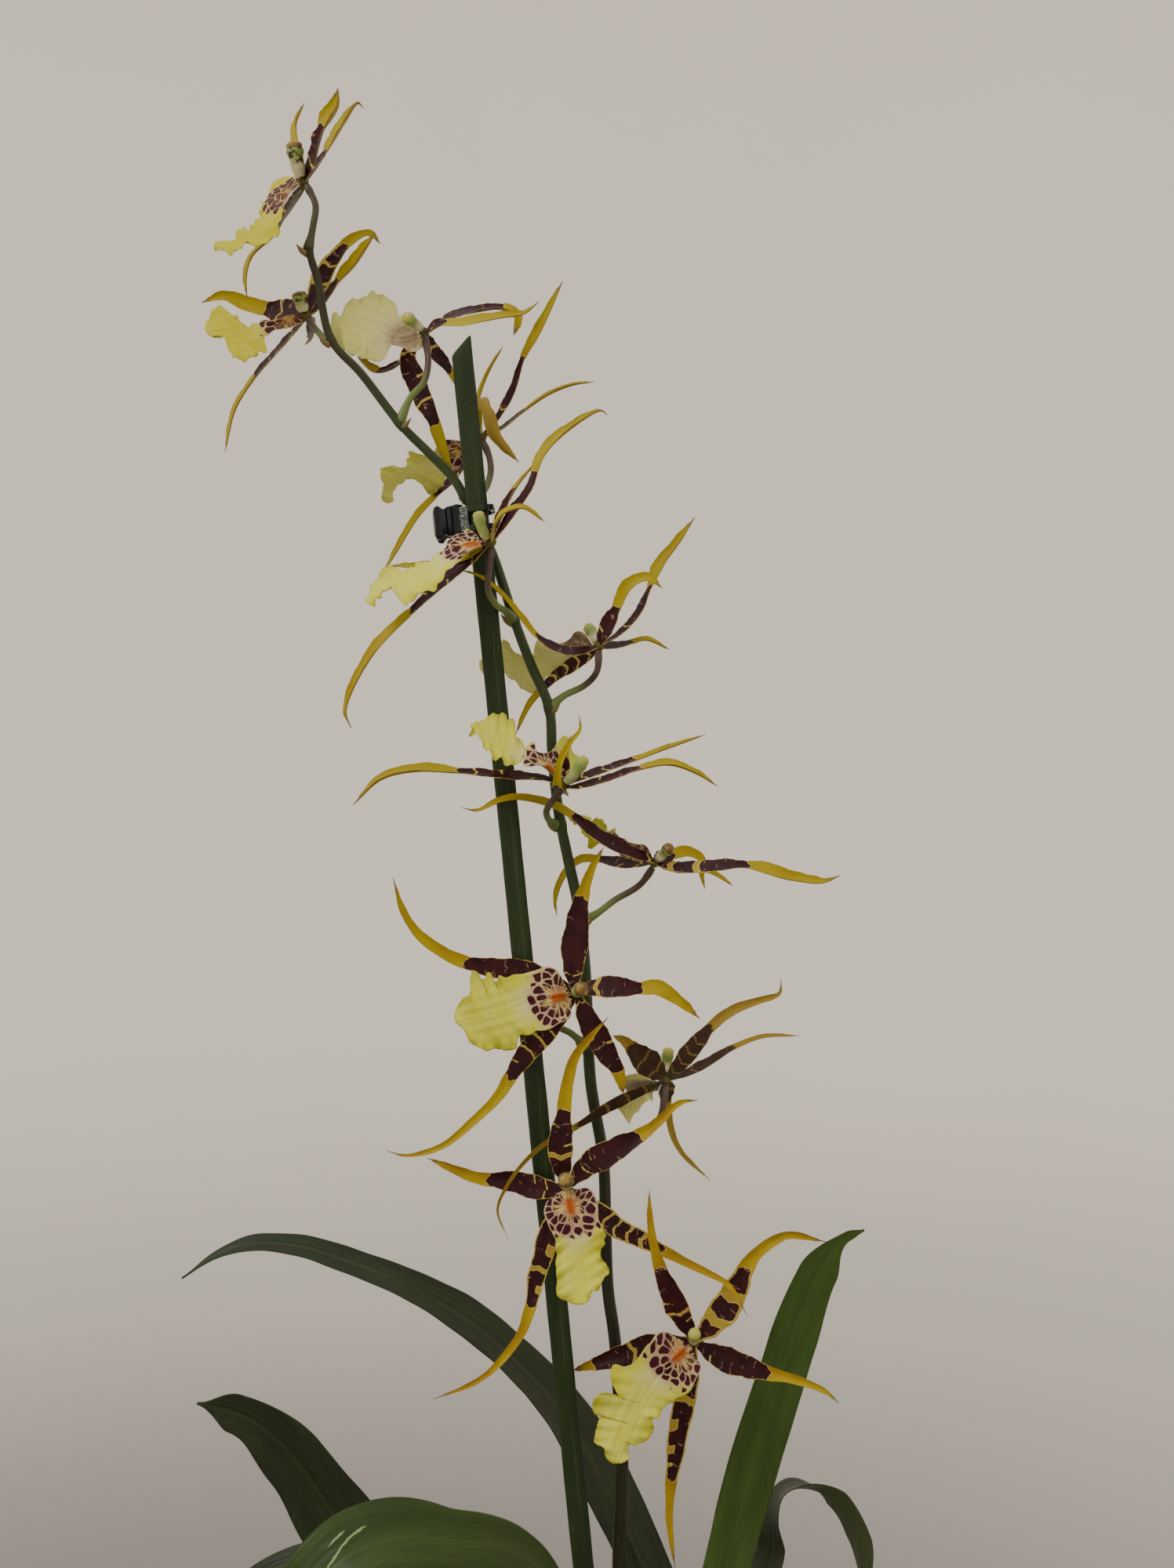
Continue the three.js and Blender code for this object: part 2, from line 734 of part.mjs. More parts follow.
        path: [
          [737, 1273, -14], [755, 1311, -14], [771, 1340, -14], [786, 1364, -13], [795, 1395, -12],
        ],
      },
    ],
  },
  bloom_10: {
    hub: [849, 1378, 2],
    column: [[850, 1369, 6], [850, 1357, 8], [853, 1336, 9]],
    lip: {
      widths: [8, 7, 10], turn: -40,
      path: [
        [840, 1379, 7], [822, 1380, 13], [807, 1390, 20], [806, 1410, 26], [804, 1434, 29],
      ],
    },
    tepals: [
      {
        width: 11.5, turn: 20,
        path: [
          [852, 1374, 1], [866, 1358, -1], [883, 1338, -3], [906, 1311, -5], [936, 1288, -7],
          [970, 1276, -8], [994, 1267, -9], [996, 1248, -9],
        ],
      },
      {
        width: 8, turn: 55,
        path: [
          [854, 1377, 3], [878, 1368, 6], [901, 1356, 9], [935, 1337, 12], [972, 1323, 14],
          [1020, 1321, 14],
        ],
      },
      {
        width: 13, turn: 15,
        path: [
          [846, 1374, 1], [833, 1362, -2], [818, 1350, -6], [804, 1337, -11], [792, 1325, -17],
          [781, 1321, -23],
        ],
      },
      {
        width: 10, turn: 30,
        path: [
          [844, 1380, 0], [811, 1394, -3], [776, 1411, -4], [740, 1433, -6], [696, 1457, -8],
          [667, 1483, -9], [646, 1512, -9.5], [634, 1544, -10], [649, 1582, -10],
        ],
      },
      {
        width: 9, turn: 25,
        path: [
          [849, 1384, 4], [850, 1402, 7], [852, 1421, 9], [857, 1447, 10], [870, 1472, 10],
          [906, 1506, 9],
        ],
      },
    ],
  },
  bloom_11: {
    hub: [722, 1513, -18],
    column: [[722, 1511, -23], [722, 1508, -27], [721, 1502, -31]],
    lip: {
      widths: [13, 10, 12], turn: 4,
      path: [[724, 1523, -24], [729, 1546, -26], [734, 1580, -27], [739, 1620, -29], [742, 1662, -34]],
    },
    tepals: [
      {
        width: 11.5, turn: 0,
        path: [
          [721, 1506, -18], [716, 1488, -19], [715, 1453, -20], [719, 1418, -20], [723, 1383, -20],
          [734, 1346, -21], [750, 1325, -22], [776, 1297, -24],
        ],
      },
      {
        width: 12, turn: 10,
        path: [
          [727, 1509, -18], [749, 1487, -18], [784, 1466, -17], [813, 1450, -16], [838, 1432, -15],
          [866, 1407, -15], [890, 1403, -15],
        ],
      },
      {
        width: 11, turn: 8,
        path: [
          [717, 1514, -17], [700, 1517, -11], [684, 1514, -8], [660, 1508, -5.5], [637, 1505, -4.5],
          [608, 1502, -4.5], [579, 1491, -5], [545, 1477, -6],
        ],
      },
      {
        width: 11, turn: 15,
        path: [
          [719, 1520, -17], [709, 1545, -14], [701, 1570, -12], [693, 1600, -11], [684, 1632, -10],
          [677, 1667, -10], [665, 1700, -10], [637, 1738, -10], [608, 1762, -10], [552, 1785, -10],
        ],
      },
      {
        width: 10.5, turn: 15,
        path: [
          [727, 1518, -17], [745, 1533, -16], [763, 1545, -15], [784, 1564, -14], [813, 1579, -13],
          [843, 1594, -13], [872, 1609, -15], [901, 1623, -19], [931, 1641, -24], [953, 1679, -28],
        ],
      },
    ],
  },
  bloom_12: {
    hub: [885, 1712, -16],
    column: [[884, 1710, -21], [885, 1706, -25], [886, 1699, -30]],
    lip: {
      widths: [15, 12, 16], turn: 0,
      path: [[876, 1720, -22], [858, 1735, -24], [832, 1765, -25], [808, 1807, -28], [786, 1862, -34]],
    },
    tepals: [
      {
        width: 11, turn: 10,
        path: [
          [883, 1706, -17], [872, 1684, -18], [859, 1657, -20], [844, 1621, -22], [834, 1587, -23],
          [829, 1550, -23], [828, 1517, -23],
        ],
      },
      {
        width: 13.5, turn: 5,
        path: [
          [888, 1707, -17], [903, 1694, -17], [923, 1670, -17], [942, 1637, -17], [953, 1613, -17],
          [972, 1592, -18], [1003, 1575, -19], [1054, 1584, -19],
        ],
      },
      {
        width: 11.5, turn: 12,
        path: [
          [890, 1714, -16], [905, 1724, -15], [925, 1733, -14], [955, 1744, -14], [984, 1752, -15],
          [1019, 1761, -16], [1051, 1774, -17], [1070, 1790, -18],
        ],
      },
      {
        width: 11, turn: 15,
        path: [
          [885, 1718, -17], [883, 1745, -17], [877, 1777, -16], [869, 1805, -15], [862, 1851, -14],
          [857, 1885, -14], [854, 1930, -15], [857, 1970, -16], [861, 2000, -17],
        ],
      },
      {
        width: 11, turn: 15,
        path: [
          [880, 1711, -16], [850, 1713, -10], [821, 1720, -4], [796, 1730, 0.5], [764, 1739, 3.5],
          [731, 1748, 5],
        ],
      },
    ],
  },
};

// ---------- leaves ----------
// widths is a profile of the full width in millimetres along the leaf, turn is its roll in
// degrees, and twist what more it is rolled at the foot.
const LEAVES = {
  leaf_a: {
    turn: 62,
    widths: [[0, 9], [0.12, 24], [0.3, 32], [0.6, 25], [0.85, 17], [1, 1.6]],
    twist: -38,
    path: [
      [880, 2132.5, 7.8], [846, 2066, 22], [819, 2000, 32], [770, 1893, 38], [718, 1802, 38],
      [664, 1742, 36], [600, 1687, 32], [520, 1640, 26], [443, 1609, 24], [380, 1590, 22],
      [320, 1587, 20], [275, 1602, 19], [232, 1630, 18],
    ],
  },
  leaf_b: {
    turn: 0,
    widths: [[0, 9], [0.2, 22], [0.55, 33], [0.75, 24], [0.9, 13], [1, 1.6]],
    path: [
      [721, 2166, -16], [660, 2138, 0], [560, 2090, 14], [470, 2010, 22], [425, 1950, 25],
      [385, 1896, 26], [345, 1845, 26], [300, 1806, 26], [251, 1793, 25],
    ],
  },
  leaf_c: {
    turn: 30,
    widths: [[0, 9], [0.18, 24], [0.5, 33], [0.8, 27], [0.93, 15], [1, 1.6]],
    path: [
      [724, 2186.5, -23], [718, 2070, -26], [690, 1990, -30], [640, 1957, -42], [580, 1950, -56],
      [510, 1955, -70], [440, 1985, -82], [375, 2060, -90], [330, 2170, -94], [312, 2290, -92],
    ],
  },
  leaf_d: {
    turn: 0,
    widths: [[0, 9], [0.2, 22], [0.45, 25], [0.75, 23], [0.9, 16], [1, 1.6]],
    path: [
      [890, 2140.5, 3.4], [904, 2075, 12], [925, 2000, 20], [947, 1915, 24], [969, 1839, 26],
      [989, 1775, 27], [1010, 1713, 28], [1031, 1657, 28], [1053, 1608, 27], [1074, 1583, 26],
      [1102, 1569, 25],
    ],
  },
  leaf_e: {
    turn: 58,
    widths: [[0, 9], [0.25, 20], [0.55, 26], [0.8, 20], [0.93, 11], [1, 1.6]],
    path: [
      [904, 2105.5, 39], [945, 2050, 44], [978, 1990, 48], [993, 1930, 48], [1018, 1901, 46],
      [1050, 1908, 43], [1080, 1940, 40], [1098, 1990, 38], [1106, 2060, 36], [1100, 2150, 34],
    ],
  },
  leaf_f: {
    turn: 60,
    widths: [[0, 9], [0.25, 20], [0.55, 25], [0.85, 17], [1, 1.6]],
    path: [
      [707, 2126.5, 33], [660, 2080, 42], [590, 2045, 50], [490, 2012, 56], [390, 1996, 60],
      [310, 2030, 60], [255, 2110, 58],
    ],
  },
  leaf_g: {
    turn: 20,
    widths: [[0, 9], [0.25, 20], [0.55, 26], [0.85, 18], [1, 1.6]],
    path: [
      [894, 2097.5, 43.4], [886, 2070, 66], [868, 2058, 98], [850, 2080, 134], [838, 2140, 164],
      [830, 2220, 180],
    ],
  },
  leaf_h: {
    turn: 20,
    widths: [[0, 9], [0.25, 18], [0.55, 22], [0.85, 14], [1, 1.6]],
    path: [
      [709, 2120.5, 36.2], [690, 2082, 60], [670, 2062, 90], [655, 2076, 124], [646, 2130, 150],
      [642, 2205, 164],
    ],
  },
};

// A strap leaf: folded along its midrib at the foot, opening out along its length.
function makeLeaf({ path, widths, turn, twist = 0 }) {
  const { stations, fold, twistTo } = LEAF;
  const frames = framesAlong(smoothCurve(path), stations, turn);
  const rings = frames.map(({ at, along, side, up }, i) => {
    const t = i / stations;
    const roll = THREE.MathUtils.degToRad(twist * Math.max(0, 1 - t / twistTo));
    const across = side.clone().applyAxisAngle(along, roll);
    const over = up.clone().applyAxisAngle(along, roll);
    const half = readProfile(widths, t) / 2;
    const raise = half * readProfile(fold, t);
    const [rib, rim] = [LEAF.thick / 2, LEAF.edge / 2];
    const corner = (s, lift, offset) =>
      at.clone().addScaledVector(across, s * half).addScaledVector(over, lift + offset);
    return [
      corner(1, raise, rim), corner(0, 0, rib), corner(-1, raise, rim),
      corner(-1, raise, -rim), corner(0, 0, -rib), corner(1, raise, -rim),
    ];
  });
  return loft(rings);
}

// ---------- pot, bark and pseudobulbs ----------
function makePot() {
  const { height, rimRadius, rimDrop, rimProud, baseRadius, wall, round, sides } = POT;
  const underRim = height - rimDrop;
  const outline = [
    [0, 0], [baseRadius - round, 0], [baseRadius, round], [rimRadius - rimProud, underRim],
    [rimRadius, underRim + round], [rimRadius, height - round], [rimRadius - round, height],
    [innerRadius(height), height], [innerRadius(wall), wall], [0, wall],
  ];
  const points = outline.map(([r, z]) => new THREE.Vector2(r, z));
  return new THREE.LatheGeometry(points, sides).rotateX(Math.PI / 2);
}

// The pot's inner radius at a height.
function innerRadius(z) {
  const [bottom, top] = [POT.baseRadius - POT.wall, POT.rimRadius - POT.rimProud - POT.wall];
  return bottom + ((top - bottom) * (z - POT.wall)) / (POT.height - POT.wall);
}

// Where each pseudobulb stands: [x, y, lean towards +x in degrees, turn about z, size].
const BULBS = {
  pseudobulb_1: [-21, -20, -5, -12, 1],
  pseudobulb_2: [26, 6, 4, 14, 1.02],
  pseudobulb_3: [34, 39, 6, -20, 0.92],
  pseudobulb_4: [-28, 33, -6, 28, 0.85],
};

const BULB_PROFILE = [[0, 0.72], [0.2, 0.86], [0.42, 1], [0.68, 0.86], [0.88, 0.5], [1, 0.22]];

// One pseudobulb, flattened and slightly ribbed; below the bark it is a plain straight foot.
// With grow it is the hole round that foot, larger by grow.
function makeBulb([x, y, lean, spin, size], grow = 0) {
  const rings = [];
  const levels = grow ? [-1, 0.2] : [-1, 0, 0.2, 0.36, 0.52, 0.68, 0.82, 0.92, 1];
  for (const level of levels) {
    const z = level < 0 ? -BULB.sunk : level * (BULB.height - BULB.sunk) * size;
    const bulge = level < 0.2 ? BULB_PROFILE[1][1] : readProfile(BULB_PROFILE, level);
    const ring = [];
    for (let k = 0; k < BULB.sides; k += 1) {
      const angle = (k / BULB.sides) * 2 * Math.PI;
      const rib = 1 + BULB.rib * Math.cos(3 * angle);
      ring.push(
        new THREE.Vector3(
          (BULB.halfWidth * size * bulge * rib + grow) * Math.cos(angle),
          (BULB.halfThick * size * bulge * rib + grow) * Math.sin(angle),
          z - (level < 0 ? grow : 0)
        )
      );
    }
    rings.push(ring);
  }
  const geometry = loft(rings);
  geometry.rotateZ(THREE.MathUtils.degToRad(spin)).rotateY(THREE.MathUtils.degToRad(lean));
  return geometry.translate(x, y, BARK.level);
}

// The bark: a fill with chips of bark set into its top, and plain holes for what stands in it.
function makeBark() {
  const { level, sides, seed, chips, chipSize, spread, margin } = BARK;
  const floor = POT.wall + GAP;
  const radiusAt = (z) => innerRadius(z) * Math.cos(Math.PI / POT.sides) - GAP;
  const fill = new THREE.CylinderGeometry(radiusAt(level), radiusAt(floor), level - floor, sides);
  fill.rotateX(Math.PI / 2).translate(0, 0, (level + floor) / 2);
  const draw = makeDraw(seed);
  const swing = () => spread * (2 * draw() - 1);
  const parts = [fill];
  for (let i = 0; i < chips; i += 1) {
    const [long, wide, deep] = chipSize.map((size) => size * (1 + swing()));
    const chip = new THREE.BoxGeometry(long, wide, deep);
    chip.rotateX(swing()).rotateY(swing()).rotateZ(Math.PI * draw());
    const radius = (innerRadius(level) - margin) * Math.sqrt((i + 0.5) / chips);
    const angle = i * GOLDEN_ANGLE;
    parts.push(chip.translate(radius * Math.cos(angle), radius * Math.sin(angle), level));
  }
  const holes = Object.values(BULBS).map((bulb) => makeBulb(bulb, 2 * GAP));
  holes.push(makeStake(2 * GAP), makeStemHole());
  return cutAll(joinAll(parts), holes);
}

// A straight hole for the stem's foot that runs out above the chips.
function makeStemHole() {
  const foot = place(STEM_ROUTE[0]);
  const radius = STEM.radii[0][1] + 2 * GAP;
  const depth = 2 * (BARK.level - foot.z);
  const hole = new THREE.CylinderGeometry(radius, radius, depth, BARK.sides / 2);
  return hole.rotateX(Math.PI / 2).translate(foot.x, foot.y, foot.z + depth / 2 - 2 * GAP);
}

// ---------- stake ----------
const stakeCentre = (v) => STAKE.centre[0] + STAKE.slope * (v - STAKE.centre[1]);

// A flat strip with broad chamfers, cut off obliquely at the top. With grow it is its hole.
function makeStake(grow = 0) {
  const { width, thick, topEnd, foot } = STAKE;
  const [half, deep] = [width / 2 + grow, thick / 2 + grow];
  const [flat, flank] = [0.72 * half, 0.3 * deep];
  const section = [
    [-half, -flank], [-flat, -deep], [flat, -deep], [half, -flank],
    [half, flank], [flat, deep], [-flat, deep], [-half, flank],
  ];
  const footLevel = SHEET_CENTRE[1] + (EYE.z - foot + grow) / SHEET_STEP;
  const ringAt = (levelAt) =>
    section.map(([x, y]) => {
      const v = levelAt(x / half);
      return place([stakeCentre(v), v, 0]).add(new THREE.Vector3(x, y, 0));
    });
  const topAt = (s) => THREE.MathUtils.lerp(topEnd[1], topEnd[0], (1 + s) / 2);
  return loft([ringAt(() => footLevel), ringAt(topAt)]);
}

// ---------- clip ----------
// A small claw clip that holds the stem against the stake. It is drawn in its own frame: x to
// the right, y back, z along the stake, with its pin on the z axis.
const CLIP = {
  pin: [585, 666, 3.6],
  pinRadius: 1,
  pinHole: 1.4,
  knuckle: { radius: 2.5, height: 2.2, front: 6.6, back: 3.9 },
  arm: { out: 3.6, aside: -0.4 },
  height: 16,
  thick: 1.7,
  ribRadius: 1.3,
  finger: { height: 3.6, at: 4.4 },
  spring: { inner: 1.35, outer: 2.3, length: 5 },
};
// Half of the clip's outline, from the grip's end past the pin to the claw's tip, for the half
// that lies in front (negative y). The back half mirrors it.
const CLAW_LINE = [
  [-11, -6.5], [-7, -5.2], [-3, -3.4], [0, -4.6], [4, -6.8], [10, -6.9], [14.8, -6.6], [16.2, -4.4],
  [16, -1.4],
];

// A strip of constant thickness along a flat line, as a closed outline.
function stripOutline(line, thick) {
  const left = [];
  const right = [];
  line.forEach(([x, y], i) => {
    const [x0, y0] = line[Math.max(0, i - 1)];
    const [x1, y1] = line[Math.min(line.length - 1, i + 1)];
    const length = Math.hypot(x1 - x0, y1 - y0);
    const [nx, ny] = [(-(y1 - y0) / length) * (thick / 2), ((x1 - x0) / length) * (thick / 2)];
    left.push(new THREE.Vector2(x + nx, y + ny));
    right.unshift(new THREE.Vector2(x - nx, y - ny));
  });
  return new THREE.Shape([...left, ...right]);
}

function plate(outline, height, z) {
  const body = new THREE.ExtrudeGeometry(outline, { depth: height, bevelEnabled: false });
  return body.translate(0, 0, z - height / 2);
}

function disc(radius, height, z, sides = 14) {
  const body = new THREE.CylinderGeometry(radius, radius, height, sides);
  return body.rotateX(Math.PI / 2).translate(0, 0, z);
}

// One jaw: a ribbed grip, an arm with two knuckles round the pin, and two claw fingers. side is
// -1 for the front jaw and 1 for the back one.
function makeJaw(side) {
  const { height, thick, ribRadius, finger, knuckle, arm, pinHole } = CLIP;
  const line = CLAW_LINE.map(([x, y]) => [x, -y * side]);
  const parts = [plate(stripOutline(line.slice(0, 4), thick), height, 0)];
  for (const z of [-finger.at, finger.at]) {
    parts.push(plate(stripOutline(line.slice(2), thick), finger.height, z));
  }
  for (const [x, y] of line.slice(0, 2)) parts.push(disc(ribRadius, height, 0, 8).translate(x, y, 0));
  const armOutline = stripOutline([[0, 0], [arm.aside, side * arm.out]], knuckle.height);
  const at = side < 0 ? knuckle.front : knuckle.back;
  for (const z of [-at, at]) {
    parts.push(disc(knuckle.radius, knuckle.height, z), plate(armOutline, knuckle.height, z));
  }
  return cutAll(joinAll(parts), [disc(pinHole, 2 * height, 0)]);
}

// The coiled spring round the pin, as a plain sleeve.
function makeSpring() {
  const { inner, outer, length } = CLIP.spring;
  const [low, high] = [-length / 2, length / 2];
  const outline = [[inner, low], [outer, low], [outer, high], [inner, high], [inner, low]];
  const points = outline.map(([r, z]) => new THREE.Vector2(r, z));
  return new THREE.LatheGeometry(points, 12).rotateX(Math.PI / 2);
}

// ---------- assembly ----------
const plant = new THREE.Group();

function add(name, geometry, material, holder = plant) {
  const mesh = new THREE.Mesh(geometry, MATERIALS[material]);
  mesh.name = name;
  holder.add(mesh);
}

add("pot", makePot(), "pot");
add("bark", makeBark(), "bark");
for (const [name, bulb] of Object.entries(BULBS)) add(name, makeBulb(bulb), "bulb");
for (const [name, leaf] of Object.entries(LEAVES)) add(name, makeLeaf(leaf), "leaf");
add("stake", makeStake(), "stake");
add("flower_stem", makeStem(), "stem");

Object.entries(BLOOMS).forEach(([name, bloom], index) => {
  add(`${name}_tepals`, makeTepals(bloom), "tepal");
  add(`${name}_lip`, makeLip(bloom, 1.3 * index), "lip");
  add(`${name}_column`, makeColumn(bloom), "column");
});

const clip = new THREE.Group();
clip.position.copy(place(CLIP.pin));
clip.rotation.y = -Math.atan(STAKE.slope);
plant.add(clip);
add("clip_jaw_front", makeJaw(-1), "clip", clip);
add("clip_jaw_back", makeJaw(1), "clip", clip);
add("clip_pin", disc(CLIP.pinRadius, CLIP.height, 0, 12), "metal", clip);
add("clip_spring", makeSpring(), "metal", clip);

export default plant;
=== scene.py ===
"""A potted brassia orchid in flower, dressed over its frame.

The blooms, leaves, stem, stake, clip, bark and pot replace the plain solids of the frame with
finer pieces of the same form. What grows is laid out on an upright front sheet in the plane
y = 0, seen from EYE. A place is written (u, v, y): u steps to the right and v steps down on the
sheet, and y the depth in millimetres. It lies on the line of sight through (u, v).
"""

import math
import random
from collections import namedtuple

import bpy
import numpy as np
from bpy.props import FloatProperty, FloatVectorProperty, IntProperty, PointerProperty
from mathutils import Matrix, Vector


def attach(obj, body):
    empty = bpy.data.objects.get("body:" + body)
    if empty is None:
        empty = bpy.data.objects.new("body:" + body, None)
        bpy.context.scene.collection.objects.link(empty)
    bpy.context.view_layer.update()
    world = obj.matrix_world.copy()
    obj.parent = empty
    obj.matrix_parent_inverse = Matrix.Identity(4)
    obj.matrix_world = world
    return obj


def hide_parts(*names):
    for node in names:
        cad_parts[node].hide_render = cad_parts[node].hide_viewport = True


bl_info = {
    "name": "Brassia Orchid",
    "version": (1, 0, 0),
    "blender": (4, 5, 0),
    "location": "View3D > Sidebar > Orchid",
    "description": "Builds a potted brassia orchid in flower",
    "category": "Add Mesh",
}

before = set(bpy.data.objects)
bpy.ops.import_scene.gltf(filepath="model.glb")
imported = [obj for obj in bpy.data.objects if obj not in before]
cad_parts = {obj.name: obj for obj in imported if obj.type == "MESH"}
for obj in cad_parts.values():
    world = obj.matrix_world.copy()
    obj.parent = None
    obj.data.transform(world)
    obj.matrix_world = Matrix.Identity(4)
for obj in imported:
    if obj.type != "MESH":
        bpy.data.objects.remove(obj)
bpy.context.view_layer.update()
PLANT = "plant"
CLIP_JAW = "clip_jaw"

# ---------- the front sheet ----------
MM = 0.001
SHEET_STEP = 0.36 * MM
SHEET_CENTRE = (748.5, 1000)
EYE = np.array((-18.5, -740, 595)) * MM
VIEW = np.array((0.0, 1.0, 0.0))
FULL_TURN = 2 * math.pi


def place(point):
    """The place of a sheet point (u, v, y), in metres."""
    u, v, y = point
    reach = 1 - y * MM / EYE[1]
    right = (u - SHEET_CENTRE[0]) * SHEET_STEP * reach
    down = (v - SHEET_CENTRE[1]) * SHEET_STEP * reach
    return np.array((EYE[0] + right, y * MM, EYE[2] - down))


def on_sheet(points):
    """The sheet's u and v of places in metres."""
    reach = 1 - points[:, 1] / EYE[1]
    u = SHEET_CENTRE[0] + (points[:, 0] - EYE[0]) / (SHEET_STEP * reach)
    v = SHEET_CENTRE[1] - (points[:, 2] - EYE[2]) / (SHEET_STEP * reach)
    return np.stack((u, v), axis=1)


def unit(vectors):
    return vectors / np.linalg.norm(vectors, axis=-1, keepdims=True)


def circle(sides):
    """Angles all round, evenly spaced."""
    return np.linspace(0, FULL_TURN, sides, endpoint=False)


def per_side(values, sides):
    """A value for each ring, given to each of its sides."""
    return np.repeat(values[:, None], sides, axis=1)


def profile(table, shares):
    """Reads a profile, pairs of share and value, at many shares, eased between the pairs."""
    at, value = np.array(table, float).T
    i = np.clip(np.searchsorted(at, shares, side="left") - 1, 0, len(at) - 2)
    s = np.clip((shares - at[i]) / (at[i + 1] - at[i]), 0, 1)
    return value[i] + (value[i + 1] - value[i]) * s * s * (3 - 2 * s)


def ripple(x, seed):
    """A smooth, uneven wave between about -1 and 1."""
    wave = np.sin(x + 1.3 * seed) + 0.6 * np.sin(2.3 * x + 4.1 * seed + 1)
    return (wave + 0.4 * np.sin(5.1 * x + 7.7 * seed + 2)) / 1.6


class Route:
    """A smooth curve through places, walked by its share of length from 0 to 1."""

    STEPS = 60

    def __init__(self, places):
        p = np.array(places, float)
        p = np.vstack((2 * p[0] - p[1], p, 2 * p[-1] - p[-2]))
        t = np.linspace(0, 1, self.STEPS, endpoint=False)[:, None]
        walked = []
        for p0, p1, p2, p3 in zip(p, p[1:], p[2:], p[3:]):
            d0, d1, d2 = (np.linalg.norm(b - a) ** 0.5 for a, b in ((p0, p1), (p1, p2), (p2, p3)))
            m1 = ((p1 - p0) / d0 - (p2 - p0) / (d0 + d1) + (p2 - p1) / d1) * d1
            m2 = ((p2 - p1) / d1 - (p3 - p1) / (d1 + d2) + (p3 - p2) / d2) * d1
            bend = -3 * p1 + 3 * p2 - 2 * m1 - m2
            walked.append(p1 + m1 * t + bend * t**2 + (2 * p1 - 2 * p2 + m1 + m2) * t**3)
        self.points = np.vstack((*walked, p[-2:-1]))
        steps = np.linalg.norm(np.diff(self.points, axis=0), axis=1)
        walked_length = np.concatenate(([0], np.cumsum(steps)))
        self.length = walked_length[-1]
        self.shares = walked_length / self.length
        self.tangents = unit(np.gradient(self.points, self.shares, axis=0))

    def _read(self, table, shares):
        return np.stack([np.interp(shares, self.shares, column) for column in table.T], axis=1)

    def at(self, shares):
        return self._read(self.points, shares)

    def along(self, shares):
        return unit(self._read(self.tangents, shares))

    def frames(self, shares, turn=0.0, stations=8):
        """Places, and side, up and along directions, set where the curve lies flattest on the
        sheet and carried from there to both ends. A positive turn, in degrees, brings the lower
        or right-hand edge towards the front."""
        coarse = np.linspace(0, 1, stations + 1)
        flatness = np.linalg.norm(np.cross(self.along(coarse), VIEW), axis=1)
        start = coarse[int(np.argmax(flatness - 1e-6 * coarse))]
        fine = np.linspace(0, 1, 321)
        along = self.along(fine)
        k = int(round(start * 320))
        flat = unit(np.cross(along[k], VIEW))
        if flat[2] - 0.3 * flat[0] > 0:
            flat = -flat
        front = unit(np.cross(along[k], flat))
        if front[1] > 0:
            front = -front
        angle = math.radians(turn)
        side = np.zeros_like(along)
        side[k] = math.cos(angle) * flat + math.sin(angle) * front
        for order in (range(k + 1, len(fine)), range(k - 1, -1, -1)):
            last = side[k]
            for i in order:
                last = unit(last - along[i] * np.dot(last, along[i]))
                side[i] = last
        sign = -1 if np.cross(side[k], along[k])[1] > 0 else 1
        sides = np.stack([np.interp(shares, fine, column) for column in side.T], axis=1)
        alongs = self.along(shares)
        sides = unit(sides - alongs * np.sum(sides * alongs, axis=1, keepdims=True))
        return self.at(shares), sides, np.cross(sides, alongs) * sign, alongs


def seated(points, hub, index, gap):
    """Places of points, with the one at index drawn in to a gap from the centre of a hub."""
    places = [place(point) for point in points]
    centre = place(hub)
    places[index] = centre + unit(places[index] - centre) * gap
    return places


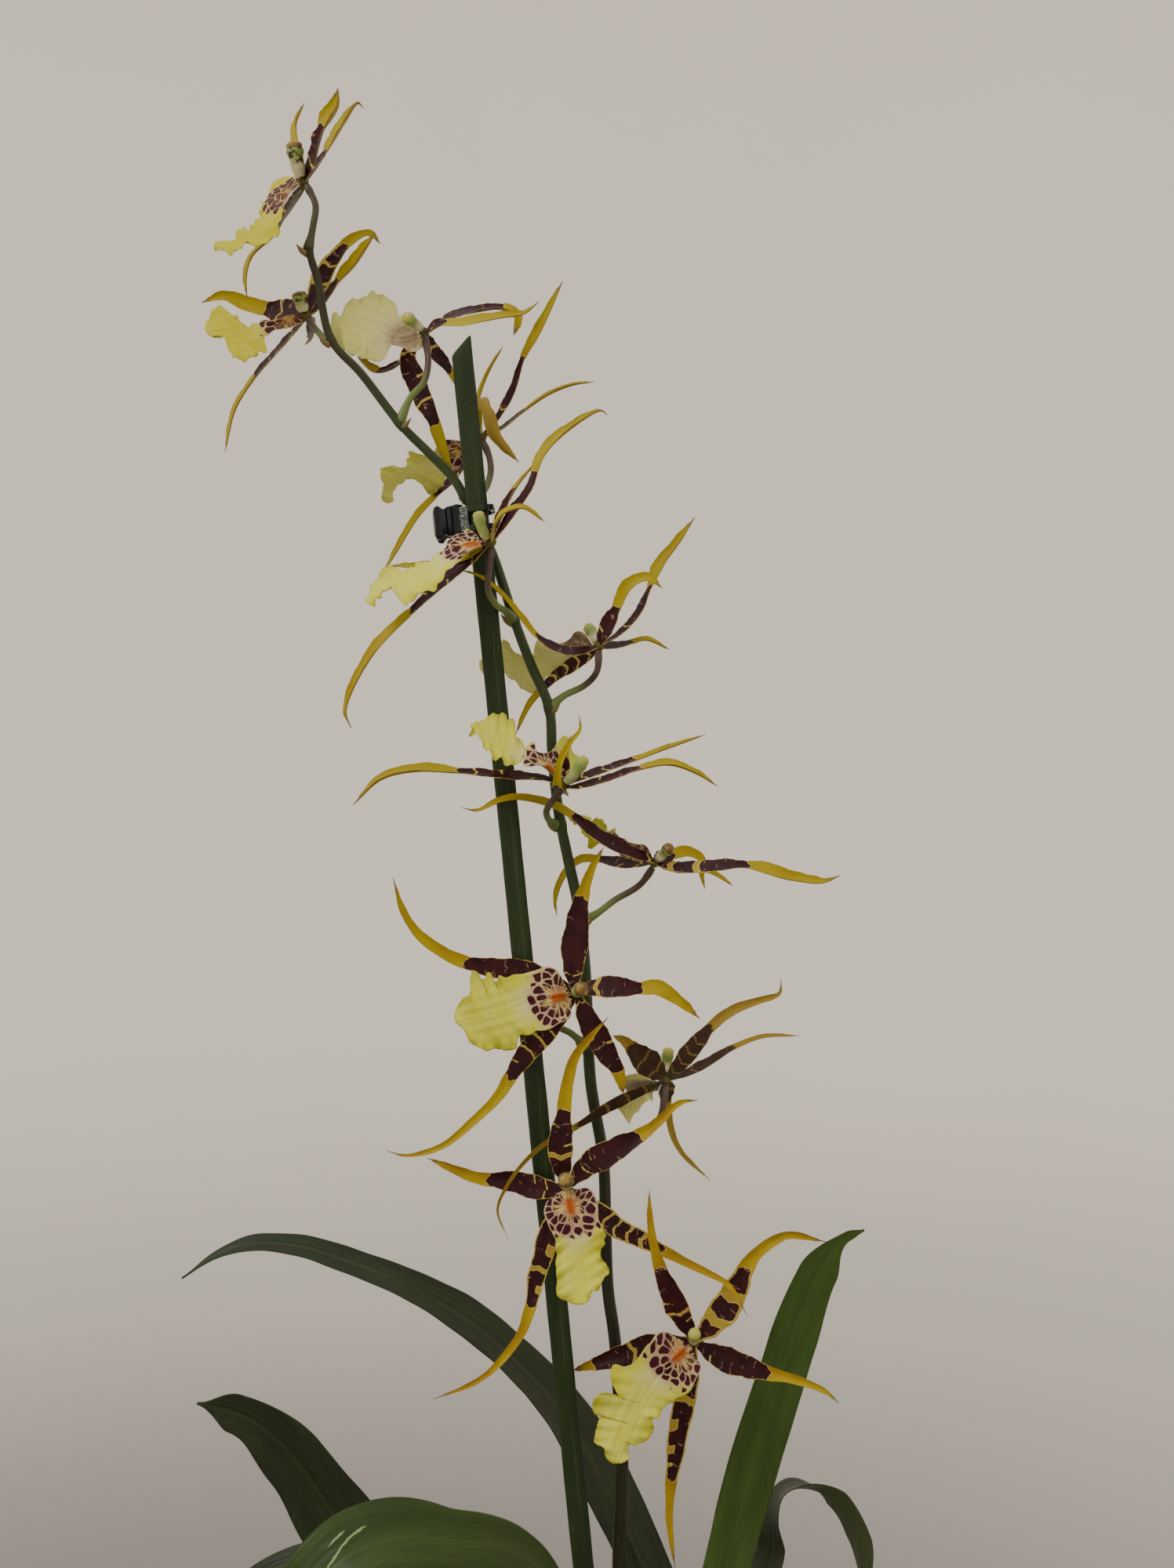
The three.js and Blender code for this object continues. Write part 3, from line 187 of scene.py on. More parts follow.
# ---------- closed meshes ----------
class Body:
    """Collects closed lofts into one mesh, with named values at its points."""

    def __init__(self):
        self.points = []
        self.faces = []
        self.values = {}
        self.count = 0

    def loft(self, rings, closed=False, **values):
        """Adds rings of equally many points, an even number, joined and closed at both ends, or
        joined from the last to the first where closed."""
        rings = np.asarray(rings, float)
        rows, sides = rings.shape[:2]
        index = np.arange(rows * sides).reshape(rows, sides)
        joined = np.vstack((index, index[:1])) if closed else index
        a, b = joined[:-1], np.roll(joined[:-1], -1, axis=1)
        c, d = np.roll(joined[1:], -1, axis=1), joined[1:]
        faces = np.stack((a, b, c, d), axis=-1).reshape(-1, 4)
        half = sides // 2
        caps = []
        ends = () if closed else ((index[0], False), (index[-1], True))
        for ring, forward in ends:
            for j in range(half):
                corners = [ring[j], ring[j + 1], ring[(-j - 1) % sides], ring[-j % sides]]
                corners = list(dict.fromkeys(corners))
                caps.append(corners if forward else corners[::-1])
        flat = rings.reshape(-1, 3)
        middle = flat.mean(axis=0)
        p, q, r, s = (flat[faces[:, i]] - middle for i in range(4))
        volume = np.sum(p * np.cross(q, r)) + np.sum(p * np.cross(r, s))
        faces = faces.tolist() + caps
        if volume < 0:
            faces = [face[::-1] for face in faces]
        self.faces += [[i + self.count for i in face] for face in faces]
        self.points.append(flat)
        for name in sorted({*self.values, *values}):
            value = values.get(name, 0.0)
            spread = np.broadcast_to(np.asarray(value, float), (rows, sides)).reshape(-1)
            self.values.setdefault(name, [np.zeros(self.count)]).append(spread)
        self.count += rows * sides

    def sheet(self, top, bottom, facing=True, **values):
        """Adds a thin sheet from the rows of its two faces, which meet halfway at their edges. Its
        values are those of the top's rows, and its value face tells the side that faces out."""
        for edge in (0, -1):
            top[:, edge] = (top[:, edge] + bottom[:, edge]) / 2
        for key, value in values.items():
            if np.ndim(value):
                values[key] = both_faces(value, value)
        ones = np.ones(top.shape[:2])
        face = both_faces(ones, 0 * ones)
        self.loft(both_faces(top, bottom), face=face if facing else 1 - face, **values)

    def build(self, name, material, smooth=180.0):
        """Makes the object, shaded smooth over edges that turn less than smooth degrees."""
        mesh = bpy.data.meshes.new(name)
        mesh.from_pydata(np.vstack(self.points).tolist(), [], self.faces)
        for key, spreads in self.values.items():
            attribute = mesh.attributes.new(key, "FLOAT", "POINT")
            attribute.data.foreach_set("value", np.concatenate(spreads).astype(np.float32))
        mesh.shade_smooth()
        if smooth < 180:
            mesh.set_sharp_from_angle(angle=math.radians(smooth))
        mesh.materials.append(material)
        piece = bpy.data.objects.new(name, mesh)
        bpy.context.scene.collection.objects.link(piece)
        return piece


def tube_rings(route, shares, radii, sides, squash=1.0, turn=0.0):
    """Round rings along a route; radii is one radius per share, or one per share and side."""
    at, side, up, _ = route.frames(shares, turn)
    angles = circle(sides)
    radii = np.broadcast_to(np.asarray(radii, float).reshape(len(shares), -1), (len(shares), sides))
    across = side[:, None] * (radii * np.cos(angles))[..., None]
    over = up[:, None] * (radii * np.sin(angles) * squash)[..., None]
    return at[:, None] + across + over


def rounded(corners, radius, shares=(0, 0.25, 0.5, 0.75, 1), closed=True):
    """The points of an outline with its corners rounded, all but the ends of an open one."""
    corners = np.array(corners, float)
    ends = () if closed else (0, len(corners) - 1)
    points = []
    for i, corner in enumerate(corners):
        if i in ends:
            points.append(corner)
            continue
        before = unit(corners[i - 1] - corner)
        after = unit(corners[(i + 1) % len(corners)] - corner)
        for share in shares:
            first = corner + before * radius * (1 - share)
            second = corner + after * radius * share
            points.append(first * (1 - share) + second * share)
    return np.array(points)


def turn_about(rings, i, j, angle):
    """Turns rings about the origin, from axis i towards axis j."""
    a, b = rings[..., i].copy(), rings[..., j].copy()
    rings[..., i] = a * math.cos(angle) - b * math.sin(angle)
    rings[..., j] = a * math.sin(angle) + b * math.cos(angle)


def both_faces(top, bottom):
    """Rings of a thin body from the rows of its top and its bottom, without the bottom's edges."""
    return np.concatenate((top, bottom[:, -2:0:-1]), axis=1)


def dress(piece, body, node):
    """Hands a finished piece to the frame."""
    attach(piece, body)
    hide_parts(node)


# ---------- shader building ----------
def paint(red, green, blue):
    """A colour as a shader takes it, from its everyday 0 to 255 values."""
    shares = [channel / 255 for channel in (red, green, blue)]
    return tuple(s / 12.92 if s <= 0.04045 else ((s + 0.055) / 1.055) ** 2.4 for s in shares) + (1,)


class Nodes:
    """Adds nodes to a tree, each returned as the output that is used."""

    def __init__(self, tree):
        self.tree = tree

    def node(self, kind, settings=None, output=0, **sockets):
        made = self.tree.nodes.new(kind)
        for name, value in (settings or {}).items():
            setattr(made, name, value)
        for name, value in sockets.items():
            self.feed(made, name.replace("_", " "), value)
        return made if output is None else made.outputs[output]

    def feed(self, made, name, value):
        socket = made.inputs[int(name)] if name.isdigit() else made.inputs[name]
        if isinstance(value, bpy.types.NodeSocket):
            self.tree.links.new(value, socket)
        else:
            socket.default_value = value

    def attribute(self, name):
        return self.node("ShaderNodeAttribute", {"attribute_name": name}, "Fac")

    def attributes(self, *names):
        return [self.attribute(name) for name in names]

    def place(self):
        return self.node("ShaderNodeTexCoord", output="Object")

    def math(self, operation, a, b=0.0, c=0.0, clamp=False):
        made = self.node("ShaderNodeMath", {"operation": operation, "use_clamp": clamp}, None)
        for i, value in enumerate((a, b, c)):
            self.feed(made, str(i), value)
        return made.outputs[0]

    def times(self, first, *others):
        for other in others:
            first = self.math("MULTIPLY", first, other)
        return first

    def plus(self, a, b, clamp=False):
        return self.math("ADD", a, b, clamp=clamp)

    def minus(self, a, b, clamp=False):
        return self.math("SUBTRACT", a, b, clamp=clamp)

    def size(self, a):
        return self.math("ABSOLUTE", a)

    def ramp(self, value, low, high, to_low=0.0, to_high=1.0):
        """Carries value from low..high to to_low..to_high, smoothly and clamped."""
        settings = {"interpolation_type": "SMOOTHSTEP"}
        made = self.node("ShaderNodeMapRange", settings, None)
        for i, number in enumerate((value, low, high, to_low, to_high)):
            self.feed(made, str(i), number)
        return made.outputs[0]

    def mix(self, share, a, b, blend="MIX"):
        settings = {"data_type": "RGBA", "blend_type": blend, "clamp_factor": True}
        made = self.node("ShaderNodeMix", settings, None)
        for i, value in ((0, share), (6, a), (7, b)):
            self.feed(made, str(i), value)
        return made.outputs[2]

    def vector(self, x, y, z=0.0):
        return self.node("ShaderNodeCombineXYZ", X=x, Y=y, Z=z)

    def noise(self, at, scale, detail=2.0, roughness=0.5):
        sockets = {"Vector": at, "Scale": scale, "Detail": detail, "Roughness": roughness}
        return self.node("ShaderNodeTexNoise", output=0, **sockets)

    def cells(self, at, scale, feature="F1", jitter=1.0, flat=False):
        settings = {"feature": feature, "voronoi_dimensions": "2D" if flat else "3D"}
        sockets = {"Vector": at, "Scale": scale, "Randomness": jitter}
        return self.node("ShaderNodeTexVoronoi", settings, "Distance", **sockets)

    def group(self, group, output, **sockets):
        return self.node("ShaderNodeGroup", {"node_tree": group}, output, **sockets)

    def drift(self, groups, at, scale, first, second):
        """Soft patches of two colours."""
        sockets = {"Vector": at, "Scale": scale, "Color A": first, "Color B": second}
        return self.group(groups["tint"], "Color", **sockets)

    def veins(self, groups, along, across, spacing):
        sockets = {"Along": along, "Across": across, "Spacing": spacing}
        return self.group(groups["veins"], None, **sockets).outputs

    def wear(self, groups, at, scale):
        return self.group(groups["wear"], None, Vector=at, Scale=scale).outputs


def material(name, build, **constants):
    """A material whose build function adds the nodes that feed its Principled BSDF."""
    made = bpy.data.materials.new(name)
    made.use_nodes = True
    nodes = Nodes(made.node_tree)
    shader = made.node_tree.nodes["Principled BSDF"]
    for key, value in constants.items():
        shader.inputs[key.replace("_", " ")].default_value = value
    for key, value in build(nodes).items():
        if key == "Bump":
            height, strength, distance = value
            normal = nodes.node("ShaderNodeBump", Strength=strength, Distance=distance, Height=height)
            nodes.feed(shader, "Normal", normal)
        else:
            nodes.feed(shader, key, value)
    made.diffuse_color = shader.inputs["Base Color"].default_value
    return made


def shader_group(name, inputs, outputs, build):
    """A node group that materials share. inputs gives each input's default, or else its kind,
    and outputs each output's kind."""
    group = bpy.data.node_groups.new(name, "ShaderNodeTree")
    for key, value in inputs.items():
        kind = "NodeSocket" + (value if isinstance(value, str) else "Float")
        socket = group.interface.new_socket(name=key, in_out="INPUT", socket_type=kind)
        if not isinstance(value, str):
            socket.default_value = value
    for key, kind in outputs.items():
        group.interface.new_socket(name=key, in_out="OUTPUT", socket_type="NodeSocket" + kind)
    nodes = Nodes(group)
    given = group.nodes.new("NodeGroupInput").outputs
    result = build(nodes, given)
    end = group.nodes.new("NodeGroupOutput")
    for key, value in result.items():
        nodes.feed(end, key, value)
    return group


# ---------- where it all grows ----------
STEM_ROUTE = (
    (806, 2345, 9), (803, 2220, 9), (795, 2100, 9), (789, 2000, 9), (793, 1872, 9), (784, 1711, 9),
    (775, 1644, 9), (772, 1560, 9), (769, 1478, 9), (753, 1380, 8.5), (746, 1237, 8), (738, 1160, 8),
    (724, 1095, 8), (712, 1035, 8), (704, 962, 8), (700, 903, 8), (677, 848, 8), (655, 789, 7.5),
    (641, 745, 7), (627, 705, 7), (616, 682, 7), (609, 665, 7), (602, 648, 7), (591, 631, 6.5),
    (577, 609, 6), (545, 576, 5), (512, 543, 3), (460, 476, 1.5), (422, 433, 0), (405, 357, -1),
    (398, 335, -2), (392, 313, -2),
)
# Each bloom's stalk, from its node inside the stem to just behind the bloom.
STALKS = {
    "bloom_01": ((393, 318, -2), (399, 290, -1), (402, 262, 0), (395, 242, 1)),
    "bloom_02": ((421, 434, 0), (410, 428, 6), (399, 415, 11), (393, 408, 14)),
    "bloom_03": ((509, 540, 3), (523, 508, 4), (540, 488, 8), (546, 464, 11), (545, 440, 12)),
    "bloom_04": (
        (590, 634, 7), (603, 633, 14), (617, 626, 20), (625, 606, 25), (624, 585, 30), (617, 568, 33),
    ),
    "bloom_05": (
        (654, 790, 7), (645, 780, 1), (632, 771, -5), (623, 753, -10), (623, 729, -11), (626, 704, -11),
    ),
    "bloom_06": ((699, 904, 8), (720, 887, 10), (744, 875, 9), (761, 856, 3), (764, 838, -2)),
    "bloom_07": ((711, 1052, 8), (700, 1046, 2), (697, 1033, -5), (704, 1021, -6.5), (714, 1011, -6.5)),
    "bloom_08": ((742, 1175, 8), (760, 1166, 8), (784, 1148, 8), (815, 1129, 7), (830, 1112, 5)),
    "bloom_09": ((749, 1336, 8), (728, 1318, 3), (710, 1307, -2), (712, 1288, -4), (726, 1274, -7)),
    "bloom_10": (
        (768, 1482, 9), (792, 1465, 4), (822, 1447, -1), (842, 1425, -5), (847, 1402, -5),
        (848, 1388, -2),
    ),
    "bloom_11": ((771, 1566, 9), (760, 1552, 2), (742, 1534, -3), (728, 1521, -8)),
    "bloom_12": ((793, 1806, 9), (815, 1787, 4), (845, 1759, -2), (868, 1733, -8), (880, 1719, -11.5)),
}

# Each bloom's hub, its column's path, and its lip's turn in degrees and path.
Bloom = namedtuple("Bloom", "hub column lip_turn lip")
BLOOMS = {
    "bloom_01": Bloom((387, 232, 4), ((381, 221, 0), (378, 203, -2), (374, 180, -3)), 70, ((372, 238, -1),
        (352, 262, -4), (325, 298, -5), (275, 315, -4))),
    "bloom_02": Bloom((391, 404, 16), ((386, 396, 13), (384, 386, 12), (380, 372, 11)), 40,
        ((381, 409, 12), (352, 413, 7), (318, 424, 3), (272, 430, -2))),
    "bloom_03": Bloom((541, 424, 18), ((535, 417, 14), (526, 410, 10), (516, 403, 6)), 15,
        ((531, 431, 16), (508, 433, 14), (475, 420, 11), (428, 404, 8))),
    "bloom_04": Bloom((614, 558, 36), ((608, 550, 32), (601, 542, 29), (592, 535, 27)), -50,
        ((604, 564, 33), (575, 574, 30), (540, 594, 28), (488, 624, 26))),
    "bloom_05": Bloom((626, 691, -14), ((619, 686, -18), (614, 672, -19), (609, 652, -19)), 58,
        ((612, 696, -19), (586, 701, -21), (555, 716, -22), (518, 740, -22), (468, 762, -21))),
    "bloom_06": Bloom((763, 825, 5), ((760, 815, 9), (755, 807, 13), (748, 798, 16)), -45,
        ((752, 823, 10), (735, 820, 15), (700, 832, 20), (660, 846, 24), (615, 850, 27))),
    "bloom_07": Bloom((718, 1002, -13), ((725, 995, -17), (735, 984, -18), (747, 965, -19)), 52,
        ((710, 992, -18), (690, 975, -21), (660, 961, -23), (632, 945, -24), (604, 927, -24))),
    "bloom_08": Bloom((835, 1100, 2), ((842, 1093, -2), (848, 1087, -4), (856, 1079, -7)), -55,
        ((826, 1093, 2), (805, 1084, 5), (775, 1067, 9), (731, 1041, 13))),
    "bloom_09": Bloom((735, 1267, -13), ((734, 1265, -17.5), (738, 1263, -21), (744, 1261, -26)), 8,
        ((722, 1272, -19), (700, 1274, -21), (672, 1280, -21), (640, 1291, -23), (588, 1304, -29))),
    "bloom_10": Bloom((849, 1378, 2), ((850, 1369, 6), (850, 1357, 8), (853, 1336, 9)), -40,
        ((840, 1381, 7), (828, 1383, 12), (814, 1392, 19), (808, 1411, 26), (803, 1434, 29))),
    "bloom_11": Bloom((722, 1513, -18), ((722, 1511, -23), (722, 1508, -27), (721, 1502, -31)), 4,
        ((724, 1523, -24), (729, 1546, -26), (734, 1580, -27), (739, 1620, -29), (742, 1662, -34))),
    "bloom_12": Bloom((885, 1712, -16), ((884, 1710, -21), (885, 1706, -25), (886, 1699, -30)), 0,
        ((876, 1720, -22), (858, 1735, -24), (832, 1765, -25), (808, 1807, -28), (786, 1862, -34))),
}

# A tepal's width in millimetres and its blade's turn in degrees, where its dark part ends on the
# sheet, and its path. Then how broad its tail is, how wide its pale margin is, and the pale bars
# of its dark part: where along it each lies, half its width, and 1 or -1 where it is only at the
# lower or the upper edge.
Tepal = namedtuple("Tepal", "width turn border path tail margin bars", defaults=(0.9, 0.12, ()))
TEPALS = {
    "bloom_01": (
        Tepal(8, 60, None, ((386, 228, 5), (380, 192, 12), (377, 160, 17), (388, 131, 20)), tail=1.6),
        Tepal(12, 45, (412, 165), ((389, 229, 3), (402, 194, -6), (412, 165, -11), (430, 136, -14),
            (431, 113, -16)), tail=2.3, bars=((0.4, 0.5, 0),)),
        Tepal(10, 55, (416, 193), ((390, 230, 5), (416, 193, 9), (440, 155, 13), (457, 132, 15),
            (463, 138, 16)), tail=2.0, bars=((0.5, 0.5, 0),)),
        Tepal(9, 55, (349, 300), ((385, 236, 6), (367, 266, 15), (349, 300, 19), (322, 326, 18),
            (314, 350, 15), (315, 381, 12)), tail=1.15, bars=((0.35, 0.6, 0), (0.62, 0.5, 0))),
        Tepal(9, 50, (352, 290), ((388, 237, 6), (374, 262, 24), (356, 286, 42), (338, 304, 56))),
    ),
    "bloom_02": (
        Tepal(11, 40, (437, 314), ((393, 400, 17), (408, 362, 24), (424, 336, 29), (446, 311, 33),
            (470, 299, 35), (485, 311, 36)), tail=1.3, margin=1.0, bars=((0.45, 0.9, 0),
            (0.72, 0.8, 0))),
        Tepal(10, 48, (430, 360), ((395, 402, 16), (412, 384, 16), (432, 358, 13), (453, 336, 9),
            (479, 297, 4)), tail=2.3, margin=0.6, bars=((0.5, 0.4, 0),)),
        Tepal(14, 15, (340, 398), ((388, 402, 17), (368, 399, 21), (344, 396, 24), (313, 389, 25),
            (286, 379, 25), (257, 386, 24)), tail=1.35, bars=((0.4, 0.5, 1), (0.7, 0.5, 0))),
        Tepal(9, 55, (326, 479), ((389, 407, 17), (371, 428, 22), (347, 455, 25), (326, 480, 25),
            (300, 522, 21), (287, 577, 15)), tail=1.15, bars=((0.3, 0.5, 0), (0.6, 0.4, 1))),
        Tepal(9, 30, (397, 428), ((393, 408, 18), (399, 420, 30), (397, 432, 42), (389, 440, 52))),
    ),
    "bloom_03": (
        Tepal(10, 40, (566, 413), ((545, 422, 17), (562, 413, 13), (595, 411, 9), (640, 404, 6),
            (668, 400, 5), (687, 385, 4)), tail=1.7),
        Tepal(10, 55, (638, 394), ((546, 422, 19), (575, 404, 23), (607, 397, 25), (638, 394, 25),
            (658, 404, 23), (655, 428, 21)), tail=1.5, bars=((0.3, 0.5, -1),)),
        Tepal(11, 20, (555, 540), ((537, 427, 18), (521, 455, 19), (535, 494, 18), (556, 540, 14),
            (577, 604, 12)), tail=1.3, bars=((0.25, 0.6, 0), (0.5, 0.6, 1),
            (0.75, 0.6, 0))),
        Tepal(9, 40, (572, 474), ((544, 429, 20), (553, 449, 24), (572, 474, 27), (590, 506, 28)),
            tail=1.15, bars=((0.4, 0.6, 0),)),
        Tepal(9, 50, (482, 476), ((538, 429, 20), (520, 454, 27), (498, 471, 32), (478, 474, 34),
            (456, 456, 35)), tail=1.7, bars=((0.35, 0.6, 0), (0.65, 0.5, 0))),
    ),
    "bloom_04": (
        Tepal(6, 45, (667, 459), ((618, 553, 36), (633, 535, 38), (654, 497, 40), (667, 459, 40),
            (690, 418, 38), (718, 358, 34)), tail=2.6, bars=((0.4, 0.5, 0),)),
        Tepal(8, 60, (667, 525), ((619, 556, 35), (640, 546, 31), (667, 525, 26), (700, 503, 21),
            (731, 491, 18), (759, 487, 16)), tail=1.3),
        Tepal(9, 40, None, ((612, 552, 36), (607, 530, 33), (610, 511, 25), (620, 522, 16),
            (632, 556, 11), (662, 590, 12)), tail=1.7),
        Tepal(8, 65, None, ((612, 551, 38), (608, 527, 43), (614, 497, 46), (626, 469, 46),
            (642, 441, 44)), tail=1.1),
        Tepal(9, 50, (558, 630), ((609, 563, 39), (591, 592, 43), (573, 616, 45), (555, 634, 44),
            (532, 660, 42), (507, 701, 38), (487, 734, 34)), tail=1.5, bars=((0.3, 0.5, 0),
            (0.6, 0.5, 1))),
    ),
    "bloom_05": (
        Tepal(8, 50, None, ((628, 687, -17), (631, 669, -24), (643, 654, -28), (667, 648, -30),
            (695, 666, -29)), tail=1.1),
        Tepal(8.5, 55, (683, 604), ((630, 688, -14), (655, 652, -10), (677, 620, -7), (691, 583, -5),
            (714, 557, -4), (767, 524, -2), (774, 530, -2)), tail=2.1, bars=((0.5, 0.4, -1),)),
        Tepal(8, 65, (657, 624), ((628, 687, -13), (636, 664, -9), (645, 645, -5), (658, 622, 0),
            (685, 588, 7))),
        Tepal(10, 50, (526, 780), ((622, 695, -13), (598, 717, -11), (562, 745, -10), (526, 780, -10),
            (475, 834, -10), (441, 906, -10), (448, 929, -11)), tail=1.7, bars=((0.25, 0.5, 0),
            (0.55, 0.5, 1), (0.8, 0.4, -1))),
        Tepal(8, 40, None, ((622, 693, -12), (597, 708, -8), (570, 717, -4), (540, 722, 0),
            (496, 722, 3)), tail=1.3),
    ),
    "bloom_06": (
        Tepal(7.5, 50, (685, 812), ((758, 826, 3), (738, 831, 1), (712, 828, -1), (685, 812, -2),
            (661, 784, -3), (640, 759, -4.5), (610, 735, -6), (583, 726, -6)), tail=1.3),
        Tepal(9, 45, (694, 879), ((758, 833, 7), (742, 843, 12), (718, 857, 18), (694, 879, 20),
            (676, 900, 20), (658, 936, 18)), tail=1.15, bars=((0.2, 0.6, 0), (0.4, 0.6, 0),
            (0.6, 0.6, 0), (0.8, 0.6, 0))),
        Tepal(11, 25, (787, 777), ((765, 820, 4), (773, 803, 2), (787, 777, -1), (803, 748, -4),
            (826, 738, -6), (844, 750, -7)), tail=1.7, bars=((0.4, 0.5, -1),)),
        Tepal(6, 50, (829, 750), ((768, 822, 6), (790, 808, 11), (815, 780, 15), (829, 750, 17),
            (844, 720, 18), (865, 692, 18), (886, 660, 17)), tail=3.0, bars=((0.45, 0.4, 0),)),
        Tepal(8, 60, (804, 820), ((769, 826, 7), (790, 823, 11), (806, 820, 13), (824, 816, 14),
            (854, 829, 14)), tail=1.15),
    ),
    "bloom_07": (
        Tepal(9, 62, (586, 985), ((713, 1001, -12), (698, 994, -11), (653, 990, -9), (586, 985, -8),
            (530, 983, -8), (486, 994, -8), (450, 1027, -8)), tail=2.0, bars=((0.3, 0.5, 1),
            (0.6, 0.5, -1), (0.85, 0.5, 0))),
        Tepal(9, 15, (713, 1003), ((716, 1008, -19), (712, 1003, -30), (714, 974, -38), (728, 947, -41),
            (740, 930, -41), (738, 911, -42))),
        Tepal(8, 62, (808, 970), ((723, 1000, -12), (740, 993, -10), (773, 981, -6), (808, 970, -3),
            (835, 960, -1), (900, 937, 2)), tail=1.15, bars=((0.3, 0.4, 0), (0.6, 0.4, 0))),
        Tepal(8, 62, (815, 982), ((723, 1004, -14), (740, 1003, -17), (773, 994, -20), (815, 981, -22),
            (853, 975, -23), (887, 986, -23), (915, 1003, -22)), tail=1.7, bars=((0.25, 0.4, 1),
            (0.5, 0.5, -1))),
        Tepal(8, 50, (723, 970), ((719, 996, -11), (722, 976, -7), (724, 957, -3), (728, 938, 0)),
            bars=((0.5, 0.7, 0),)),
    ),
    "bloom_08": (
        Tepal(9, 35, (732, 1043), ((830, 1097, -1), (801, 1085, -6), (767, 1068, -6), (732, 1043, -2.5),
            (705, 1028, 0.8), (660, 1018, -6), (636, 1022, -7), (608, 1034, -7), (588, 1030, -7)),
            tail=1.3, bars=((0.12, 0.6, 0),)),
        Tepal(9, 55, (763, 1097), ((829, 1101, 5), (794, 1101, 14), (763, 1097, 19), (739, 1099, 20),
            (720, 1118, 20), (709, 1148, 19), (710, 1168, 18)), tail=1.5, bars=((0.3, 0.5, 0),
            (0.6, 0.5, 1))),
        Tepal(9, 50, (953, 1105), ((841, 1102, 0), (870, 1107, -5), (915, 1105, -10), (955, 1105, -13),
            (1008, 1120, -15), (1050, 1125, -16), (1071, 1117, -16)), tail=2.0, bars=((0.2, 1.4, 0),
            (0.48, 1.6, 0))),
        Tepal(9, 50, (856, 1091), ((840, 1098, 5), (856, 1091, 10), (873, 1087, 14), (892, 1096, 16),
            (893, 1115, 15), (899, 1134, 14)), tail=1.7),
        Tepal(8, 55, (890, 1110), ((841, 1103, 6), (870, 1108, 14), (904, 1112, 20), (935, 1130, 24)),
            tail=1.15, bars=((0.4, 0.6, 0),)),
    ),
    "bloom_09": (
        Tepal(12.5, 5, (742, 1147), ((733, 1260, -13), (731, 1238, -12), (734, 1200, -11),
            (742, 1147, -10), (755, 1108, -10), (770, 1080, -11)), bars=((0.2, 0.3, 0),)),
        Tepal(11, 30, (817, 1262), ((740, 1264, -14), (761, 1260, -15), (789, 1260, -17),
            (817, 1262, -18), (838, 1262, -19), (862, 1276, -19), (892, 1299, -18)), tail=1.6,
            bars=((0.12, 0.5, 0), (0.34, 1.0, 0))),
        Tepal(11, 20, (595, 1229), ((729, 1263, -12), (700, 1250, -10), (674, 1241, -9), (630, 1235, -9),
            (595, 1229, -10), (564, 1215, -11), (536, 1195, -12), (514, 1164, -13), (501, 1119, -14)),
            tail=1.15, bars=((0.35, 0.35, -1), (0.2, 0.35, 0))),
        Tepal(11, 15, (652, 1373), ((731, 1273, -14), (713, 1296, -14), (696, 1316, -13),
            (671, 1344, -12), (652, 1373, -11), (633, 1402, -11), (604, 1430, -11), (566, 1461, -12),
            (518, 1474, -12), (491, 1467, -12)), bars=((0.42, 0.4, 1), (0.55, 0.6, 0),
            (0.7, 0.5, 0), (0.85, 0.35, -1))),
        Tepal(11.5, 10, (786, 1364), ((737, 1273, -14), (755, 1311, -14), (771, 1340, -14),
            (786, 1364, -13), (795, 1395, -12)), tail=1.1, bars=((0.12, 0.35, 0), (0.55, 0.6, 1),
            (0.66, 0.5, -1))),
    ),
    "bloom_10": (
        Tepal(8.5, 20, (906, 1311), ((852, 1374, 1), (866, 1358, -1), (883, 1338, -3), (906, 1311, -5),
            (936, 1288, -7), (970, 1276, -8), (994, 1267, -9), (996, 1248, -9)), tail=1.3,
            bars=((0.2, 0.5, 0), (0.38, 0.5, 0), (0.56, 0.5, 0), (0.74, 0.5, 0))),
        Tepal(6, 55, (935, 1337), ((854, 1377, 3), (878, 1368, 6), (901, 1356, 9), (935, 1337, 12),
            (972, 1323, 14), (1020, 1321, 14)), tail=1.15, bars=((0.4, 0.5, 0),)),
        Tepal(13, 15, (802, 1337), ((846, 1374, 1), (833, 1362, -2), (818, 1350, -6), (804, 1337, -11),
            (792, 1325, -17), (781, 1321, -23)), bars=((0.3, 0.6, 0), (0.62, 0.6, 0))),
        Tepal(6.5, 30, (740, 1433), ((844, 1380, 0), (811, 1394, -3), (776, 1411, -4), (740, 1433, -6),
            (696, 1457, -8), (667, 1483, -9), (646, 1512, -9.5), (634, 1544, -10), (649, 1582, -10)),
            bars=((0.25, 0.6, 0), (0.45, 0.6, 0), (0.68, 0.7, 0))),
        Tepal(9, 25, (850, 1402), ((849, 1384, 4), (850, 1402, 7), (852, 1421, 9), (857, 1447, 10),
            (870, 1472, 10), (906, 1506, 9)), bars=((0.5, 0.8, 0),)),
    ),
    "bloom_11": (
        Tepal(11.5, 0, (719, 1418), ((721, 1506, -18), (716, 1488, -19), (715, 1453, -20),
            (719, 1418, -20), (723, 1383, -20), (734, 1346, -21), (750, 1325, -22), (776, 1297, -24)),
            tail=1.1, bars=((0.42, 1.1, 0), (0.56, 0.35, 1), (0.8, 0.3, -1))),
        Tepal(12, 10, (813, 1450), ((727, 1509, -18), (749, 1487, -18), (784, 1466, -17),
            (813, 1450, -16), (838, 1432, -15), (866, 1407, -15), (890, 1403, -15)),
            bars=((0.16, 0.35, -1), (0.3, 0.3, 0), (0.42, 0.3, -1))),
        Tepal(11, 8, (625, 1505), ((717, 1514, -17), (700, 1517, -11), (684, 1514, -8), (660, 1508, -5.5),
            (637, 1505, -4.5), (608, 1502, -4.5), (579, 1491, -5), (545, 1477, -6)), tail=1.1,
            bars=((0.32, 0.35, 0), (0.48, 0.3, -1))),
